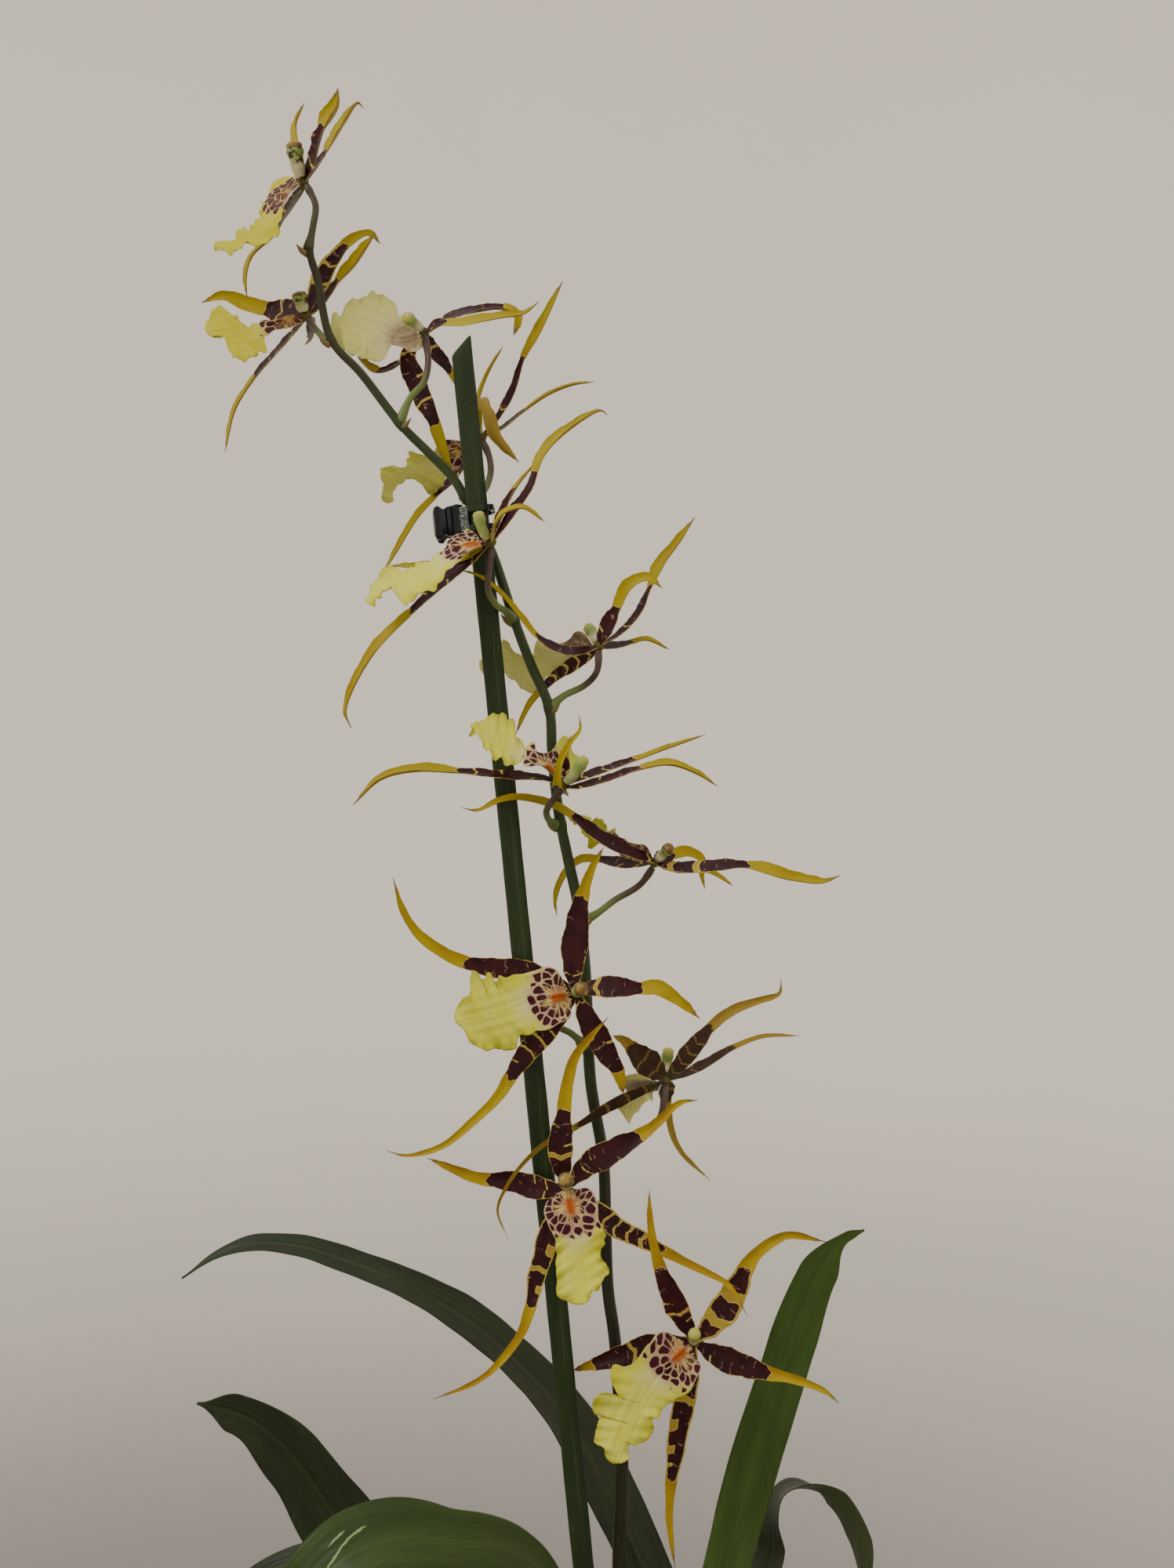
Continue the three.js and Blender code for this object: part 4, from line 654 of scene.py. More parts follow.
        Tepal(10, 15, (678, 1663), ((719, 1520, -17), (709, 1545, -14), (701, 1570, -12),
            (693, 1600, -11), (684, 1632, -10), (677, 1667, -10), (665, 1700, -10), (637, 1738, -10),
            (608, 1762, -10), (552, 1785, -10)), margin=0.5, bars=((0.14, 0.8, 0),
            (0.36, 1.6, 1), (0.55, 2.6, 1), (0.72, 1.2, 0), (0.88, 1.8, 1))),
        Tepal(9.5, 15, (843, 1594), ((727, 1518, -17), (745, 1533, -16), (763, 1545, -15),
            (784, 1564, -14), (813, 1579, -13), (843, 1594, -13), (872, 1609, -15), (901, 1623, -19),
            (931, 1641, -24), (953, 1679, -28)), margin=0.5, bars=((0.3, 0.5, 0),
            (0.46, 0.6, 0), (0.57, 0.5, 0), (0.69, 0.7, 0), (0.82, 1.0, 0))),
    ),
    "bloom_12": (
        Tepal(11, 10, (843, 1619), ((883, 1706, -17), (872, 1684, -18), (859, 1657, -20),
            (844, 1621, -22), (834, 1587, -23), (829, 1550, -23), (828, 1517, -23)),
            bars=((0.42, 0.7, 0), (0.3, 0.3, 1), (0.56, 0.4, -1))),
        Tepal(13.5, 5, (950, 1620), ((888, 1707, -17), (903, 1694, -17), (923, 1670, -17),
            (942, 1637, -17), (953, 1613, -17), (972, 1592, -18), (1003, 1575, -19), (1054, 1584, -19)),
            margin=1.0, bars=((0.36, 2.3, 0), (0.68, 2.4, 0))),
        Tepal(11.5, 12, (978, 1750), ((890, 1714, -16), (905, 1724, -15), (925, 1733, -14),
            (955, 1744, -14), (984, 1752, -15), (1019, 1761, -16), (1051, 1774, -17), (1070, 1790, -18)),
            bars=((0.26, 0.35, 1),)),
        Tepal(10, 15, (859, 1884), ((885, 1718, -17), (883, 1745, -17), (877, 1777, -16),
            (869, 1805, -15), (862, 1851, -14), (857, 1885, -14), (854, 1930, -15), (857, 1970, -16),
            (861, 2000, -17)), margin=0.6, bars=((0.16, 0.8, 0), (0.42, 1.6, 0),
            (0.62, 2.6, -1), (0.8, 1.9, -1), (0.91, 0.8, -1))),
        Tepal(11, 15, (760, 1740), ((880, 1711, -16), (850, 1713, -10), (821, 1720, -4), (796, 1730, 0.5),
            (764, 1739, 3.5), (731, 1748, 5)), bars=((0.35, 1.4, 1), (0.62, 1.0, 0))),
    ),
}

# A leaf's turn in degrees, its twist and its width in millimetres by share, and its path.
Leaf = namedtuple("Leaf", "turn twist widths path")
LEAVES = {
    "leaf_a": Leaf(62, ((0, -38), (0.45, 0)), ((0, 9), (0.12, 24), (0.3, 31), (0.55, 24), (0.75, 16),
        (0.88, 10.5), (1, 1.2)), ((880, 2132.5, 7.8), (846, 2066, 22), (819, 2000, 32), (770, 1893, 38),
        (718, 1802, 38), (664, 1742, 36), (600, 1687, 32), (520, 1640, 26), (443, 1609, 24),
        (380, 1590, 22), (320, 1587, 20), (275, 1602, 19), (232, 1630, 18))),
    "leaf_b": Leaf(0, ((0, 0),), ((0, 9), (0.2, 24), (0.58, 38), (0.76, 31), (0.92, 19), (1, 1.2)),
        ((721, 2166, -16), (660, 2138, 0), (560, 2090, 14), (480, 2010, 22), (430, 1938, 25),
        (373, 1857, 26), (330, 1816, 26), (294, 1799, 26), (251, 1790, 25))),
    "leaf_c": Leaf(30, ((0, 0),), ((0, 9), (0.18, 24), (0.38, 27), (0.58, 35), (0.8, 28), (0.93, 15),
        (1, 1.6)), ((724, 2186.5, -23), (718, 2070, -26), (690, 2004, -30), (642, 1974, -42),
        (580, 1966, -56), (510, 1962, -70), (442, 1986, -82), (375, 2060, -90), (330, 2170, -94),
        (312, 2290, -92))),
    "leaf_d": Leaf(0, ((0, 0),), ((0, 9), (0.2, 22), (0.45, 24.5), (0.7, 23), (0.86, 19), (0.965, 5),
        (1, 1.2)), ((890, 2140.5, 3.4), (904, 2075, 12), (925, 2000, 20), (947, 1915, 24),
        (969, 1839, 26), (989, 1775, 27), (1006, 1722, 28), (1023, 1670, 28), (1040, 1628, 27),
        (1060, 1595, 26), (1079, 1578, 26), (1102, 1569, 25))),
    "leaf_e": Leaf(58, ((0.3, 0), (0.46, -52), (0.56, -94), (0.66, -88), (0.78, -60), (1, -60)), ((0, 9),
        (0.25, 21), (0.4, 23), (0.55, 19), (0.64, 19), (0.8, 14), (0.93, 10), (1, 1.6)),
        ((904, 2105.5, 39), (945, 2050, 44), (984, 1990, 48), (988, 1930, 48), (1003, 1901, 47),
        (1030, 1897, 45), (1057, 1908, 43), (1078, 1932, 41), (1092, 1962, 39), (1099, 2000, 38),
        (1104, 2060, 36), (1100, 2150, 34))),
    "leaf_f": Leaf(60, ((0, 0),), ((0, 9), (0.25, 20), (0.55, 25), (0.85, 17), (1, 1.6)),
        ((707, 2126.5, 33), (660, 2080, 42), (590, 2045, 50), (490, 2012, 56), (390, 1996, 60),
        (310, 2030, 60), (255, 2110, 58))),
    "leaf_g": Leaf(20, ((0, 0),), ((0, 9), (0.25, 20), (0.55, 26), (0.85, 18), (1, 1.6)),
        ((894, 2097.5, 43.4), (886, 2070, 66), (868, 2058, 98), (850, 2080, 134), (838, 2140, 164),
        (830, 2220, 180))),
    "leaf_h": Leaf(20, ((0, 0),), ((0, 9), (0.25, 18), (0.55, 22), (0.85, 14), (1, 1.6)),
        ((709, 2120.5, 36.2), (690, 2082, 60), (670, 2062, 90), (655, 2076, 124), (646, 2130, 150),
        (642, 2205, 164))),
}
# How young a leaf is, from 0 to 1.
YOUNG = {"leaf_c": 0.52, "leaf_d": 1.0}

# The rim of each bloom's lip, from its foot round its end and back: u and v in turn.
LIP_RIMS = {
    "bloom_01": (
        383, 229, 376, 228, 364, 228, 354, 231, 347, 238, 343, 249, 337, 260, 331, 270, 325, 279,
        319, 288, 311, 295, 302, 301, 291, 303, 280, 302, 271, 305, 269, 311, 279, 317, 294, 320,
        310, 318, 321, 313, 333, 308, 343, 302, 351, 295, 355, 287, 359, 277, 362, 267, 366, 258,
        371, 248, 377, 240, 383, 235,
    ),
    "bloom_02": (
        384, 405, 366, 404, 352, 408, 340, 408, 331, 409, 320, 412, 311, 414, 306, 410, 304, 404,
        303, 399, 297, 397, 289, 393, 281, 393, 272, 397, 265, 403, 261, 411, 261, 418, 265, 424,
        272, 427, 280, 429, 286, 431, 288, 438, 292, 446, 295, 451, 297, 458, 303, 461, 309, 462,
        318, 460, 327, 456, 334, 453, 339, 450, 340, 444, 338, 438, 337, 432, 339, 428, 344, 426,
        350, 422, 360, 421, 370, 420, 378, 417, 385, 412,
    ),
    "bloom_03": (
        541, 432, 536, 428, 531, 423, 530, 416, 529, 409, 526, 400, 518, 399, 509, 403, 506, 392,
        502, 384, 496, 378, 489, 374, 479, 372, 471, 375, 465, 380, 455, 380, 446, 382, 440, 387,
        439, 394, 435, 397, 430, 395, 424, 399, 422, 410, 422, 422, 425, 434, 432, 444, 440, 450,
        447, 454, 455, 455, 462, 459, 472, 459, 482, 461, 489, 459, 494, 452, 496, 445, 499, 441,
        506, 442, 515, 445, 520, 449, 528, 450, 536, 446, 541, 440,
    ),
    "bloom_04": (
        590, 575, 582, 566, 575, 560, 566, 560, 558, 566, 553, 575, 546, 583, 540, 580, 534, 577,
        528, 576, 524, 574, 521, 578, 523, 583, 522, 590, 519, 595, 510, 597, 502, 595, 499, 594,
        492, 597, 486, 599, 484, 606, 486, 613, 489, 618, 488, 624, 488, 630, 484, 633, 487, 637,
        490, 642, 495, 642, 499, 637, 503, 630, 508, 624, 515, 617, 522, 614, 530, 615, 537, 618,
        541, 622, 544, 628, 549, 633, 554, 633, 559, 628, 564, 620, 567, 611, 571, 604, 577, 600,
        583, 598, 587, 591, 590, 583,
    ),
    "bloom_05": (
        611, 694, 609, 688, 606, 683, 600, 679, 594, 677, 591, 682, 583, 683, 575, 688, 570, 693,
        569, 699, 563, 704, 556, 708, 550, 711, 543, 715, 536, 718, 532, 716, 527, 720, 519, 724,
        511, 728, 505, 727, 498, 727, 490, 728, 482, 730, 476, 736, 470, 743, 467, 750, 466, 758,
        465, 765, 471, 768, 478, 764, 486, 757, 494, 752, 499, 751, 504, 757, 508, 763, 513, 769,
        519, 773, 526, 769, 534, 765, 539, 759, 541, 755, 548, 752, 555, 748, 561, 742, 566, 738,
        568, 731, 573, 727, 578, 723, 584, 720, 590, 713, 597, 707, 604, 703,
    ),
    "bloom_06": (
        755, 824, 752, 812, 747, 806, 740, 803, 733, 805, 729, 811, 722, 817, 713, 820, 706, 821,
        700, 826, 694, 823, 688, 819, 683, 821, 681, 829, 678, 833, 670, 834, 664, 833, 657, 831,
        652, 828, 650, 820, 646, 817, 641, 818, 636, 822, 628, 830, 617, 838, 611, 842, 611, 850,
        613, 857, 615, 862, 625, 862, 636, 862, 645, 862, 655, 866, 661, 871, 664, 877, 667, 882,
        672, 884, 679, 881, 686, 877, 692, 873, 693, 866, 697, 861, 703, 864, 709, 862, 714, 856,
        720, 851, 727, 848, 733, 843, 742, 837, 752, 832,
    ),
    "bloom_07": (
        735, 975, 735, 966, 729, 961, 726, 950, 722, 940, 717, 939, 713, 943, 710, 950, 706, 957,
        700, 960, 694, 961, 688, 960, 684, 957, 683, 952, 682, 946, 677, 947, 672, 950, 669, 946,
        665, 942, 659, 938, 656, 934, 658, 929, 653, 924, 648, 919, 646, 913, 641, 909, 634, 910,
        627, 909, 620, 912, 612, 913, 607, 917, 603, 922, 598, 926, 602, 930, 607, 934, 609, 938,
        612, 945, 615, 952, 618, 959, 623, 962, 626, 968, 630, 972, 636, 969, 640, 973, 643, 978,
        650, 977, 655, 973, 660, 972, 666, 971, 670, 977, 676, 979, 684, 977, 692, 978, 700, 979,
        708, 981, 716, 984, 726, 984, 733, 981,
    ),
    "bloom_08": (
        833, 1094, 829, 1082, 824, 1076, 812, 1075, 802, 1073, 792, 1069, 785, 1064, 783, 1057, 778, 1056,
        772, 1052, 768, 1045, 763, 1042, 758, 1044, 752, 1048, 744, 1046, 735, 1045, 726, 1046, 722, 1048,
        728, 1053, 737, 1058, 746, 1062, 753, 1067, 753, 1074, 757, 1079, 763, 1077, 770, 1076, 778, 1078,
        784, 1081, 787, 1086, 792, 1091, 800, 1094, 812, 1097, 824, 1099,
    ),
    "bloom_09": (
        718, 1262, 715, 1250, 712, 1242, 706, 1236, 698, 1233, 690, 1235, 682, 1238, 674, 1240, 668, 1242,
        655, 1243, 645, 1247, 636, 1244, 634, 1251, 629, 1251, 627, 1241, 621, 1240, 620, 1247, 614, 1248,
        612, 1240, 603, 1237, 601, 1244, 600, 1251, 601, 1258, 600, 1264, 597, 1270, 590, 1273, 586, 1278,
        583, 1285, 581, 1291, 579, 1297, 582, 1305, 588, 1310, 593, 1316, 596, 1323, 599, 1329, 606, 1334,
        612, 1338, 620, 1341, 626, 1339, 633, 1337, 640, 1338, 647, 1340, 653, 1339, 659, 1337, 660, 1330,
        661, 1324, 664, 1320, 670, 1321, 677, 1320, 684, 1315, 690, 1315, 697, 1314, 704, 1311, 711, 1306,
        718, 1303, 724, 1300, 727, 1294, 725, 1288, 721, 1282, 718, 1276,
    ),
    "bloom_10": (
        838, 1381, 830, 1376, 822, 1372, 812, 1368, 804, 1369, 796, 1373, 794, 1380, 797, 1388, 797, 1397,
        794, 1405, 791, 1414, 795, 1422, 799, 1430, 803, 1433, 809, 1427, 814, 1423, 820, 1421, 823, 1415,
        824, 1409, 829, 1407, 832, 1402, 831, 1394, 833, 1390, 838, 1388,
    ),
    "bloom_11": (
        716, 1520, 706, 1529, 699, 1532, 695, 1540, 694, 1548, 697, 1556, 700, 1565, 704, 1573, 708, 1580,
        708, 1588, 708, 1595, 709, 1602, 708, 1610, 709, 1616, 710, 1625, 710, 1635, 709, 1645, 710, 1652,
        715, 1657, 722, 1659, 727, 1662, 734, 1664, 742, 1664, 748, 1661, 752, 1656, 754, 1649, 756, 1646,
        762, 1647, 765, 1643, 768, 1637, 772, 1628, 777, 1625, 776, 1618, 773, 1612, 769, 1607, 766, 1602,
        766, 1595, 769, 1591, 772, 1587, 770, 1583, 773, 1576, 770, 1570, 768, 1563, 764, 1557, 763, 1550,
        763, 1540, 761, 1530, 757, 1522, 752, 1517, 745, 1516, 737, 1518, 730, 1520,
    ),
    "bloom_12": (
        866, 1716, 858, 1706, 852, 1700, 845, 1698, 838, 1700, 833, 1705, 829, 1712, 824, 1716, 820, 1722,
        816, 1728, 811, 1735, 805, 1740, 798, 1744, 790, 1741, 782, 1740, 779, 1746, 778, 1752, 779, 1760,
        781, 1766, 784, 1772, 788, 1779, 793, 1783, 787, 1781, 780, 1777, 772, 1775, 764, 1777, 758, 1782,
        756, 1790, 757, 1798, 760, 1806, 766, 1806, 772, 1804, 768, 1808, 763, 1814, 761, 1822, 759, 1830,
        758, 1840, 763, 1844, 768, 1845, 770, 1850, 772, 1858, 777, 1865, 784, 1869, 791, 1867, 798, 1864,
        803, 1858, 803, 1850, 803, 1842, 808, 1844, 812, 1845, 815, 1842, 821, 1841, 828, 1836, 833, 1829,
        835, 1822, 832, 1815, 831, 1809, 834, 1808, 838, 1807, 842, 1801, 846, 1795, 852, 1791, 858, 1789,
        862, 1784, 868, 1782, 874, 1779, 880, 1774, 884, 1766, 887, 1758, 891, 1750, 892, 1742, 886, 1735,
        880, 1729,
    ),
}
# ---------- blooms ----------
HUB_RADIUS = 2.5 * MM
HUB_GAP = 3.2 * MM
BLADE_WIDTH = ((0, 0.24), (0.1, 0.4), (0.26, 0.76), (0.5, 1), (0.75, 0.86), (1, 0.56))
TAIL_WIDTH = ((0, 0.56), (0.3, 0.42), (0.7, 0.27), (0.88, 0.13), (0.94, 0.045), (1, 0.02))
SPECKLED_COLUMNS = ("bloom_01", "bloom_02", "bloom_08", "bloom_09", "bloom_11")
COLUMN_SWELL = {"bloom_01": 1.4, "bloom_02": 1.3, "bloom_09": 1.2, "bloom_11": 1.25}
# How each lip is coloured: above 0 its yellow is deeper and its spots fuller; below 0 its apron is drawn
# paler, painted light that lifts a lip turned away into shade.
LIP_TONE_AND_PAINTED_LIGHT = {"bloom_01": 1.0, "bloom_02": 1.0, "bloom_03": 0.5, "bloom_04": -0.35, "bloom_06": -0.3}
TEPAL_THICK = 0.6
TEPAL_WAVE = 3.1
TEPAL_RIPPLE = 0.07
TEPAL_RIBS = 15
GROOVE_DEEP = 0.3
GROOVE_WIDE = 0.09
# Of a tepal without a dark part: the share where its tail starts, and a border far before its foot.
PLAIN_SHARE = 0.5
NO_DARK = -30.0
TEPAL_CURL = ((0, 0.3), (0.3, 0.3), (0.55, 0.85), (0.8, 1.2), (1, 1.3))
# How high a lip's waves stand, and how far its end bows down and its foot curls up, in millimetres.
LIP_RUFFLE = 3.0
LIP_FRILL = 0.9
LIP_DROOP = 1.5
LIP_LIFT = 1.2
LIP_RIBS = 0.3
KEEL_HIGH = 1.4
KEEL_WIDE = 0.6
KEEL_APART = 1.1
LIP_CALLUS = ((0, 0), (0.08, 1), (0.2, 0.9), (0.3, 0))
TURNED_AWAY = "bloom_10"
BACK_VIEWS = ("bloom_03", "bloom_06", "bloom_10")
COLUMN_SIDES = 20
COLUMN_RADII = (
    (0, 1.8), (0.2, 2.3), (0.5, 2.3), (0.7, 2.9), (0.79, 2.9), (0.82, 2.7), (0.88, 2.7), (0.95, 2.1),
    (0.98, 1.4), (1, 0.4),
)


def stations(share, dark_rows, tail_rows):
    """Shares along a tepal, closer together up to share, where its markings end."""
    return np.concatenate((np.linspace(0, share, dark_rows), np.linspace(share, 1, tail_rows)[1:]))


def add_tepal(body, hub, tepal, seed, facing, ripe):
    """Adds one tepal to a bloom's body: a folded blade that runs out into a curling tail."""
    route = Route([place(hub), *(place(point) for point in tepal.path)])
    border = tepal.border
    if border is None:
        share = PLAIN_SHARE
        dark = NO_DARK
    else:
        fine = np.linspace(0, 1, 400)
        gaps = on_sheet(route.at(fine)) - np.array(border)
        share = float(fine[np.argmin(np.sum(gaps**2, axis=1))])
        dark = share * route.length / MM
    t = stations(share, choices().orchid_blooms.dark_rows, choices().orchid_blooms.tail_rows)
    s = np.sin(np.linspace(-1, 1, choices().orchid_blooms.tepal_columns) * math.pi / 2)
    at, side, up, _ = route.frames(t, tepal.turn)
    length = t * route.length / MM
    past = np.clip((t - share) / (1 - share), 0, 1)
    swell = 1 + (tepal.tail - 1) * np.clip(past / 0.25, 0, 1)
    broad = np.where(t < share, profile(BLADE_WIDTH, t / share), profile(TAIL_WIDTH, past) * swell)
    half = tepal.width / 2 * broad
    grid_length, grid_s = np.meshgrid(length, s, indexing="ij")
    grid_half = per_side(half, len(s))
    curl = profile(TEPAL_CURL, t)[:, None]
    edge = np.abs(grid_s) ** 3
    wave = ripple(grid_length / TEPAL_WAVE + 2 * np.sign(grid_s), seed) * edge
    out = grid_half * np.sin(curl * grid_s) / np.sin(curl) * (1 + 0.05 * wave)
    rise = grid_half * (1 - np.cos(curl * grid_s)) / np.sin(curl) + TEPAL_RIPPLE * grid_half * wave
    rise += 0.03 * grid_half * np.cos(TEPAL_RIBS * grid_s) * (1 - edge)
    thick = TEPAL_THICK * (1 - 0.5 * t[:, None]) * (0.16 + 0.84 * (1 - grid_s**2))
    thick = np.minimum(thick, 0.5 * grid_half)
    groove = GROOVE_DEEP * np.exp(-((grid_s / GROOVE_WIDE) ** 2)) * np.minimum(1, grid_half / 3)

    def rows(height):
        over = up[:, None] * (height * MM)[..., None]
        return at[:, None] + side[:, None] * (out * MM)[..., None] + over

    # How far inside the maroon a point lies, in millimetres.
    ragged = 0.9 * ripple(2.6 * grid_s, seed + 0.5) + 1.6 * (1 - np.abs(grid_s))
    maroon = dark + ragged - grid_length
    margin = tepal.margin + 0.25 * np.maximum(0, ripple(grid_length / 2.3, seed + 3))
    maroon = np.minimum(maroon, grid_half * (1 - np.abs(grid_s)) - margin)
    for centre, width, edge_side in tepal.bars:
        slant = 1.6 * (np.abs(grid_s) - 0.4) + 0.5 * ripple(3 * grid_s, seed + centre)
        bar = np.abs(grid_length - centre * dark - slant) - width
        if edge_side:
            bar = np.maximum(bar, (0.15 - edge_side * grid_s) * grid_half)
        maroon = np.minimum(maroon, bar)
    body.sheet(
        rows(rise + thick - groove), rows(rise - thick - 0.8 * groove), facing,
        maroon=maroon, along=grid_length + 40 * seed, across=grid_s * grid_half,
        tail=per_side(t, len(s)), bar=np.clip((0.92 * dark - grid_length) / 2, 0, 1), ripe=ripe,
    )


def add_hub(body, hub):
    """Adds the small knob that a bloom's tepals, lip and column stand on."""
    levels = np.linspace(-1, 1, 9)
    angles = circle(16)
    radii = np.sqrt(np.maximum(0.002, 1 - levels**2)) * HUB_RADIUS
    around = np.stack((np.cos(angles), np.sin(angles)), axis=1)
    rings = np.zeros((9, 16, 3))
    rings[..., :2] = radii[:, None, None] * around
    rings[..., 2] = levels[:, None] * HUB_RADIUS
    body.loft(rings + place(hub), maroon=-1.5, along=0, across=0, face=0, tail=0.03, bar=0)


def make_tepals(name, bloom, order, coat):
    body = Body()
    add_hub(body, bloom.hub)
    for i, tepal in enumerate(TEPALS[name]):
        add_tepal(body, bloom.hub, tepal, 5 * order + i + 1, name != TURNED_AWAY, order / 11)
    dress(body.build(f"{name}_sepals_and_petals", coat), PLANT, f"{name}_tepals")


def lip_rims(name, route):
    """A lip's two rims, each as shares of the lip's length and places on the sheet."""
    rim = np.reshape(LIP_RIMS[name], (-1, 2)).astype(float)
    end = on_sheet(route.at(np.ones(1)))[0]
    tip = int(np.argmin(np.sum((rim - end) ** 2, axis=1)))
    middle = on_sheet(route.points)
    rims = []
    for edge in (rim[: tip + 1], rim[tip:][::-1]):
        curve = Route([(u, v, 0) for u, v in edge])
        points = curve.at(np.linspace(0, 1, 500))[:, :2]
        gaps = np.sum((points[:, None] - middle) ** 2, axis=2)
        shares = route.shares[np.argmin(gaps, axis=1)]
        rising = np.maximum.accumulate(shares)
        falling = np.minimum.accumulate(shares[::-1])[::-1]
        shares = (rising + falling) / 2 + 0.02 * np.linspace(0, 1, 500)
        shares = (shares - shares[0]) / (shares[-1] - shares[0])
        rims.append((shares, points))
    return rims


def lip_grid(name, route, rows, turn):
    """Lays rows of points across a lip, from rim to rim: their places on the lip's own sheet,
    their up directions, and how far along and across they lie in millimetres."""
    rims = lip_rims(name, route)
    fine = np.linspace(0, 1, 1500)
    edges = [np.stack([np.interp(fine, t, p[:, i]) for i in (0, 1)], axis=1) for t, p in rims]
    steps = sum(np.linalg.norm(np.diff(edge, axis=0), axis=1) for edge in edges) + 0.02
    walked = np.concatenate(([0], np.cumsum(steps)))
    t = np.interp(np.linspace(0, walked[-1], rows), walked, fine)
    at, side, up, along = route.frames(t, turn, 9)
    middle = on_sheet(at)
    ends = [np.stack([np.interp(t, fine, edge[:, i]) for i in (0, 1)], axis=1) for edge in edges]
    flat = side[:, (0, 2)] * (1, -1)
    if np.mean(np.sum((ends[0] - middle) * flat, axis=1)) > 0:
        ends.reverse()
    s = np.linspace(-1, 1, choices().orchid_blooms.lip_columns)
    rim = np.where((s < 0)[None, :, None], ends[0][:, None], ends[1][:, None])
    spot = middle[:, None] + np.abs(s)[None, :, None] * (rim - middle[:, None])
    reach = 1 - at[:, 1] / EYE[1]
    shift = (spot - middle[:, None]) * (SHEET_STEP * reach / MM)[:, None, None]
    ahead = along[:, (0, 2)] * (1, -1)
    cross = flat[:, 0] * ahead[:, 1] - flat[:, 1] * ahead[:, 0]
    cross = np.where(np.abs(cross) < 0.2, np.copysign(0.2, cross), cross)[:, None]
    aside = (shift[..., 0] * ahead[:, None, 1] - shift[..., 1] * ahead[:, None, 0]) / cross
    onward = (flat[:, None, 0] * shift[..., 1] - flat[:, None, 1] * shift[..., 0]) / cross
    depth = at[:, None, 1] / MM + aside * side[:, None, 1] + onward * along[:, None, 1]
    spread = 1 - depth * MM / EYE[1]
    points = np.stack(
        (
            EYE[0] + (spot[..., 0] - SHEET_CENTRE[0]) * SHEET_STEP * spread,
            depth * MM,
            EYE[2] - (spot[..., 1] - SHEET_CENTRE[1]) * SHEET_STEP * spread,
        ),
        axis=-1,
    )
    onward = onward + t[:, None] * route.length / MM
    return points, up, t, s, onward, aside


def make_lip(name, bloom, order, coat):
    """Makes a lip: side lobes, a waist and a broad ruffled apron, drawn in to its rim."""
    route = Route(seated(bloom.lip, bloom.hub, 0, HUB_GAP))
    rows = choices().orchid_blooms.lip_rows
    points, up, t, s, onward, aside = lip_grid(name, route, rows, bloom.lip_turn)
    grid_t, grid_s = np.meshgrid(t, s, indexing="ij")
    edge = np.abs(grid_s)
    swell = np.linalg.norm(points[:, (0, -1)] - points[:, 1:-1].mean(axis=1)[:, None], axis=-1)
    size = np.minimum(1, np.mean(swell, axis=1)[:, None] / MM / 6)
    frilled = np.clip((grid_t - 0.3) / 0.3, 0, 1)
    broad = ripple(0.24 * onward + 0.1 * aside + 2 * np.sign(grid_s), order + 1)
    fine = ripple(1.1 * onward - 0.5 * aside * np.sign(grid_s), order + 7)
    lift = (LIP_RUFFLE * broad * edge**1.5 + LIP_FRILL * fine * edge**4) * frilled * size
    lift -= LIP_DROOP * edge**2 * np.clip((grid_t - 0.55) / 0.45, 0, 1) * size
    lift += LIP_LIFT * edge**2 * np.clip(1 - grid_t / 0.45, 0, 1) * size
    lift += LIP_RIBS * np.cos(1.3 * aside) * (1 - edge) * frilled
    callus = profile(LIP_CALLUS, t)[:, None]
    keels = [np.exp(-(((aside - c) / KEEL_WIDE) ** 2)) for c in (-KEEL_APART, KEEL_APART)]
    lift += KEEL_HIGH * callus * sum(keels)
    lift -= 0.5 * np.exp(-((aside / 0.8) ** 2)) * np.minimum(1, grid_t / 0.4)
    thick = 0.14 + 0.26 * (1 - grid_s**2)

    def faces(height):
        return points + up[:, None] * (height * MM)[..., None]

    body = Body()
    body.sheet(
        faces(lift + thick), faces(lift - thick), name not in BACK_VIEWS,
        share=grid_t, along=onward, across=aside, edge=edge, seed=float(order),
        tone=LIP_TONE_AND_PAINTED_LIGHT.get(name, 0.0),
    )
    dress(body.build(f"{name}_lip_and_callus", coat), PLANT, f"{name}_lip")


def make_column(name, bloom, order, coat):
    """Makes a column: a thick stalk, hollowed in front, under its rounded anther cap."""
    route = Route(seated(bloom.column, bloom.hub, 0, HUB_GAP))
    t = np.concatenate((np.linspace(0, 0.8, 16), 1 - 0.16 * np.linspace(1, 0, 12) ** 1.6))
    radii = profile(COLUMN_RADII, t) * COLUMN_SWELL.get(name, 1) * MM
    sides = COLUMN_SIDES
    angles = circle(sides)
    facing = np.maximum(0, np.cos(angles + math.pi / 2 + math.pi))
    hollow = 1 - 0.22 * np.outer(np.sin(math.pi * np.clip(t / 0.8, 0, 1)), facing**2)
    neck = 1 - 0.12 * np.exp(-(((t - 0.8) / 0.03) ** 2))[:, None]
    body = Body()
    shades = per_side(t, sides)
    rings = tube_rings(route, t, radii[:, None] * hollow * neck, sides)
    body.loft(rings, share=shades, seed=0.1 * order, dark=float(name in SPECKLED_COLUMNS))
    dress(body.build(f"{name}_column_and_cap", coat), PLANT, f"{name}_column")


# ---------- stem ----------
STEM_SIDES = 18
STALK_SIDES = 14
# Shares of the stem where it has a joint without a bloom.
BARE_NODES = (0.03, 0.1, 0.19)
STEM_RADII = ((0, 3.3), (0.45, 2.7), (0.75, 2.3), (1, 1.8))
STALK_RADII = ((0, 2.5), (0.25, 1.6), (0.8, 1.5), (0.92, 1.8), (1, 1.5))
BRACT_RADII = ((0, 1.6), (0.5, 1.1), (1, 0.3))
BRACT_ROUTE = ((0, 6, 0), (7, 3, -2), (15, -6, -4))
BRACT_FLIPPED = ("bloom_01",)


